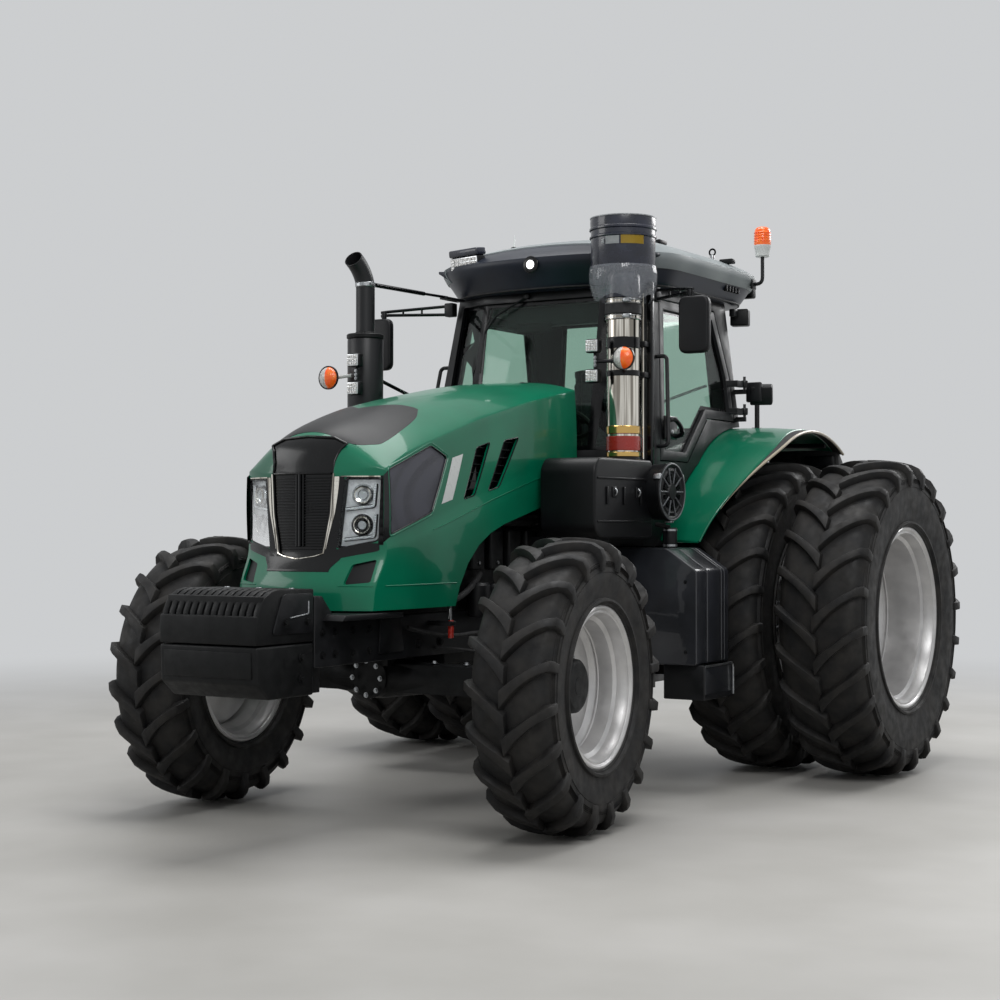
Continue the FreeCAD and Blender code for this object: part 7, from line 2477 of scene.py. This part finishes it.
class TRACTOR_OT_underbody(bpy.types.Operator):
    """Frame, axles, engine, gearbox and hitch in their castings' finishes, with hoses and bolts."""

    bl_idname = "tractor.underbody"
    bl_label = "Underbody and hitch"

    def execute(self, context):
        soften(
            "frame",
            0.005,
            "front_frame",
            "hood_hinge_post",
            "drawbar",
            "top_link",
            "lift_arms",
            "lift_rods",
            "lower_links",
        )
        soften(
            "cast",
            0.008,
            "front_axle",
            "knuckle_left",
            "knuckle_right",
            "engine",
            "transmission",
            "rear_hub_left",
            "rear_hub_right",
        )
        soften("zinc", 0.002, "tie_rod")
        soften("cast", 0.004, "front_hub_left", "front_hub_right")
        soften("hose", 0.004, "cab_mounts")

        engine = Piece("engine_details")
        low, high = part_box("engine")
        side_x = high.x
        for i in range(6):
            y = low.y + 0.30 + 0.19 * i
            engine.both(
                block((side_x - 0.004, y, 1.30), (side_x + 0.045, y + 0.13, 1.52), 0.014, 3), "cast"
            )
            engine.both(
                bolt(0.010, 0.008), "zinc", moved(side_x + 0.043, y + 0.065, 1.34) @ turned_by(90, "Y")
            )
        engine.both(
            rod(
                (side_x + 0.065, low.y + 0.28, 1.57),
                (side_x + 0.065, high.y - 0.20, 1.57),
                0.030,
                edge=0.006,
            ),
            "cast",
        )
        # Oil and fuel filters
        can = [(0.0, 0.0), (0.0, 0.055), (0.01, 0.062), (0.17, 0.062), (0.185, 0.05), (0.185, 0.0)]
        engine.add(turned(can, 32, closed=False), "frame", moved(side_x + 0.07, -0.95, 1.05) @ UPRIGHT)
        can = [(0.0, 0.0), (0.0, 0.050), (0.01, 0.056), (0.15, 0.056), (0.165, 0.04), (0.165, 0.0)]
        engine.add(turned(can, 32, closed=False), "plastic", moved(side_x + 0.065, -0.80, 1.06) @ UPRIGHT)
        hoses = [
            (
                [
                    (side_x + 0.03, -1.50, 1.18),
                    (side_x + 0.10, -1.35, 1.12),
                    (side_x + 0.09, -1.05, 1.20),
                    (side_x + 0.03, -0.88, 1.28),
                ],
                0.017,
            ),
            (
                [
                    (side_x + 0.02, -1.55, 1.02),
                    (side_x + 0.08, -1.30, 0.95),
                    (side_x + 0.10, -0.90, 0.98),
                    (side_x + 0.05, -0.55, 0.92),
                ],
                0.012,
            ),
            (
                [
                    (side_x + 0.05, -0.70, 1.24),
                    (side_x + 0.12, -0.50, 1.18),
                    (side_x + 0.10, -0.28, 1.30),
                    (side_x + 0.06, -0.16, 1.44),
                ],
                0.014,
            ),
        ]
        for route, radius in hoses:
            engine.both(pipe(route, radius, smooth=True, sides=12), "hose")
        engine.both(block((side_x, -0.45, 0.90), (side_x + 0.08, -0.25, 1.10), 0.012, 3), "cast")
        engine.done("chassis", smooth=35)

        axle = Piece("axle_details")
        for degrees in range(0, 360, 45):
            spot = moved(0, FRONT - 0.145, 0.742) @ turned_by(degrees, "Y") @ moved(0, 0, 0.09) @ turned_by(
                90, "X"
            )
            axle.add(bolt(0.010, 0.008), "zinc", spot)
        for x in (0.35, 0.55):
            axle.both(bolt(0.013, 0.010), "zinc", moved(x, FRONT - 0.02, 0.825))
        brake = [(0.30, FRONT + 0.06, 0.90), (0.50, FRONT + 0.10, 0.90), (0.72, FRONT + 0.08, 0.86)]
        axle.both(pipe(brake, 0.008, smooth=True, sides=8), "hose")
        axle.done("chassis")

        rear = Piece("rear_details")
        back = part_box("transmission")[1].y
        for x in (-0.2015, 0.2015):
            for z in (0.80, 0.98, 1.16):
                rear.add(bolt(0.013, 0.010), "zinc", moved(x, back - 0.094, z) @ turned_by(-90, "X"))
        # Remote couplers with their caps
        rear.add(block((-0.22, 1.82, 1.335), (0.22, 1.90, 1.44), 0.010), "cast")
        for x, look in ((-0.16, "red"), (-0.055, "yellow"), (0.055, "red"), (0.16, "yellow")):
            rear.add(rod((x, 1.895, 1.39), (x, 1.945, 1.39), 0.022, edge=0.004), "zinc")
            rear.add(rod((x, 1.943, 1.39), (x, 1.962, 1.39), 0.025, edge=0.005), look)
            rear.add(
                pipe(
                    [(x, 1.83, 1.42), (x * 1.1, 1.76, 1.46), (x * 1.3, 1.66, 1.40)],
                    0.010,
                    smooth=True,
                    sides=8,
                ),
                "hose",
            )
        rear.done("chassis")
        return {"FINISHED"}


# Stage


BACKDROP = "#F2F4F6"


def seen_level(tree):
    """Strength of the backdrop: full where it is seen, mirrored or looked at through glass, low as light."""
    path = add_node(tree, "ShaderNodeLightPath")
    seen = add_node(
        tree,
        "ShaderNodeMath",
        {0: (path, "Is Camera Ray"), 1: (path, "Is Transmission Ray")},
        operation="MAXIMUM",
    )
    either = add_node(
        tree, "ShaderNodeMath", {0: (seen, "Value"), 1: (path, "Is Glossy Ray")}, operation="MAXIMUM"
    )
    return add_node(
        tree, "ShaderNodeMapRange", {"Value": (either, "Value"), "To Min": 0.30, "To Max": 0.68}
    )


class TRACTOR_OT_stage(bpy.types.Operator):
    """Pale floor, soft studio lights, world and camera."""

    bl_idname = "tractor.stage"
    bl_label = "Stage"

    def execute(self, context):
        scene = context.scene
        scene.view_settings.view_transform = "Standard"
        camera = bpy.data.cameras.new("camera")
        camera.lens, camera.sensor_width = 64.07, 36
        camera.clip_end = 200
        view = bpy.data.objects.new("camera", camera)
        view.location = (5.5513, -9.0502, 1.5497)
        view.rotation_euler = [math.radians(a) for a in (90.78, 0, 31.93)]
        scene.collection.objects.link(view)
        scene.camera = view
        bm = bmesh.new()
        bmesh.ops.create_grid(bm, x_segments=1, y_segments=1, size=60)
        mesh = bpy.data.meshes.new("floor")
        bm.to_mesh(mesh)
        bm.free()
        floor = bpy.data.objects.new("floor", mesh)
        scene.collection.objects.link(floor)
        screed = Finish("pale_screed", "#B9B7B2", Roughness=0.5).mottle("#B2B0AB", "#C2C0BC", 1.2)
        tree = screed.tree
        # The floor fades into the backdrop with distance
        reach = add_node(tree, "ShaderNodeVectorMath", {0: (screed.place, "Object")}, operation="LENGTH")
        far = add_node(tree, "ShaderNodeMapRange", {"Value": (reach, "Value"), "From Min": 3.4, "From Max": 12.0},
                       interpolation_type="SMOOTHSTEP")
        glow = add_node(
            tree,
            "ShaderNodeEmission",
            {"Color": linear(BACKDROP), "Strength": (seen_level(tree), "Result")},
        )
        blend = add_node(
            tree,
            "ShaderNodeMixShader",
            {0: (far, "Result"), 1: (screed.shader, "BSDF"), 2: (glow, "Emission")},
        )
        tree.links.new(blend.outputs["Shader"], tree.nodes["Material Output"].inputs["Surface"])
        mesh.materials.append(screed.material)
        world = bpy.data.worlds.new("studio")
        world.use_nodes = True
        scene.world = world
        tree = world.node_tree
        back = tree.nodes["Background"]
        back.inputs["Color"].default_value = linear(BACKDROP)
        tree.links.new(seen_level(tree).outputs["Result"], back.inputs["Strength"])
        # Name, place, aim, size in metres, power in watts
        lights = [
            ("key", (5.5, -6.5, 7.5), (0, -0.6, 1.2), 4.5, 300),
            ("fill", (-7.5, -6.0, 5.0), (0, -0.8, 1.0), 5.0, 120),
            ("top", (0.0, 0.5, 9.0), (0, 0, 2.0), 7.0, 500),
            ("back", (3.0, 9.0, 6.0), (0, 1.0, 2.0), 5.0, 300),
        ]
        for name, spot, aim, size, power in lights:
            light = bpy.data.lights.new(name, "AREA")
            light.shape, light.size, light.size_y, light.energy = "RECTANGLE", size, size * 0.6, power
            lamp = bpy.data.objects.new(name, light)
            lamp.location = spot
            lamp.rotation_euler = (Vector(aim) - Vector(spot)).to_track_quat("-Z", "Y").to_euler()
            scene.collection.objects.link(lamp)
        return {"FINISHED"}


class TRACTOR_PT_pieces(bpy.types.Panel):
    """Lists the steps that build the tractor's looks."""

    bl_label = "Farm tractor"
    bl_idname = "TRACTOR_PT_pieces"
    bl_space_type = "VIEW_3D"
    bl_region_type = "UI"
    bl_category = "Tractor"

    def draw(self, context):
        for group in (context.scene.tractor_sizes, context.scene.tractor_colours):
            for name in group.__annotations__:
                self.layout.prop(group, name)
        for step in STEPS:
            self.layout.operator(step.bl_idname)


STEPS = (
    TRACTOR_OT_stage,
    TRACTOR_OT_tyres,
    TRACTOR_OT_wheels,
    TRACTOR_OT_hood,
    TRACTOR_OT_hood_face,
    TRACTOR_OT_weights,
    TRACTOR_OT_underbody,
    TRACTOR_OT_roof,
    TRACTOR_OT_intake,
    TRACTOR_OT_exhaust,
    TRACTOR_OT_lamps,
    TRACTOR_OT_cab,
    TRACTOR_OT_seat,
    TRACTOR_OT_fenders,
    TRACTOR_OT_tanks,
)
CLASSES = (TractorSizes, TractorColours, TRACTOR_PT_pieces) + STEPS


def register():
    for cls in CLASSES:
        bpy.utils.register_class(cls)
    bpy.types.Scene.tractor_sizes = PointerProperty(type=TractorSizes)
    bpy.types.Scene.tractor_colours = PointerProperty(type=TractorColours)


def unregister():
    del bpy.types.Scene.tractor_colours
    del bpy.types.Scene.tractor_sizes
    for cls in reversed(CLASSES):
        bpy.utils.unregister_class(cls)


def main():
    register()
    for step in STEPS:
        group, name = step.bl_idname.split(".")
        getattr(getattr(bpy.ops, group), name)()


if __name__ == "__main__":
    main()
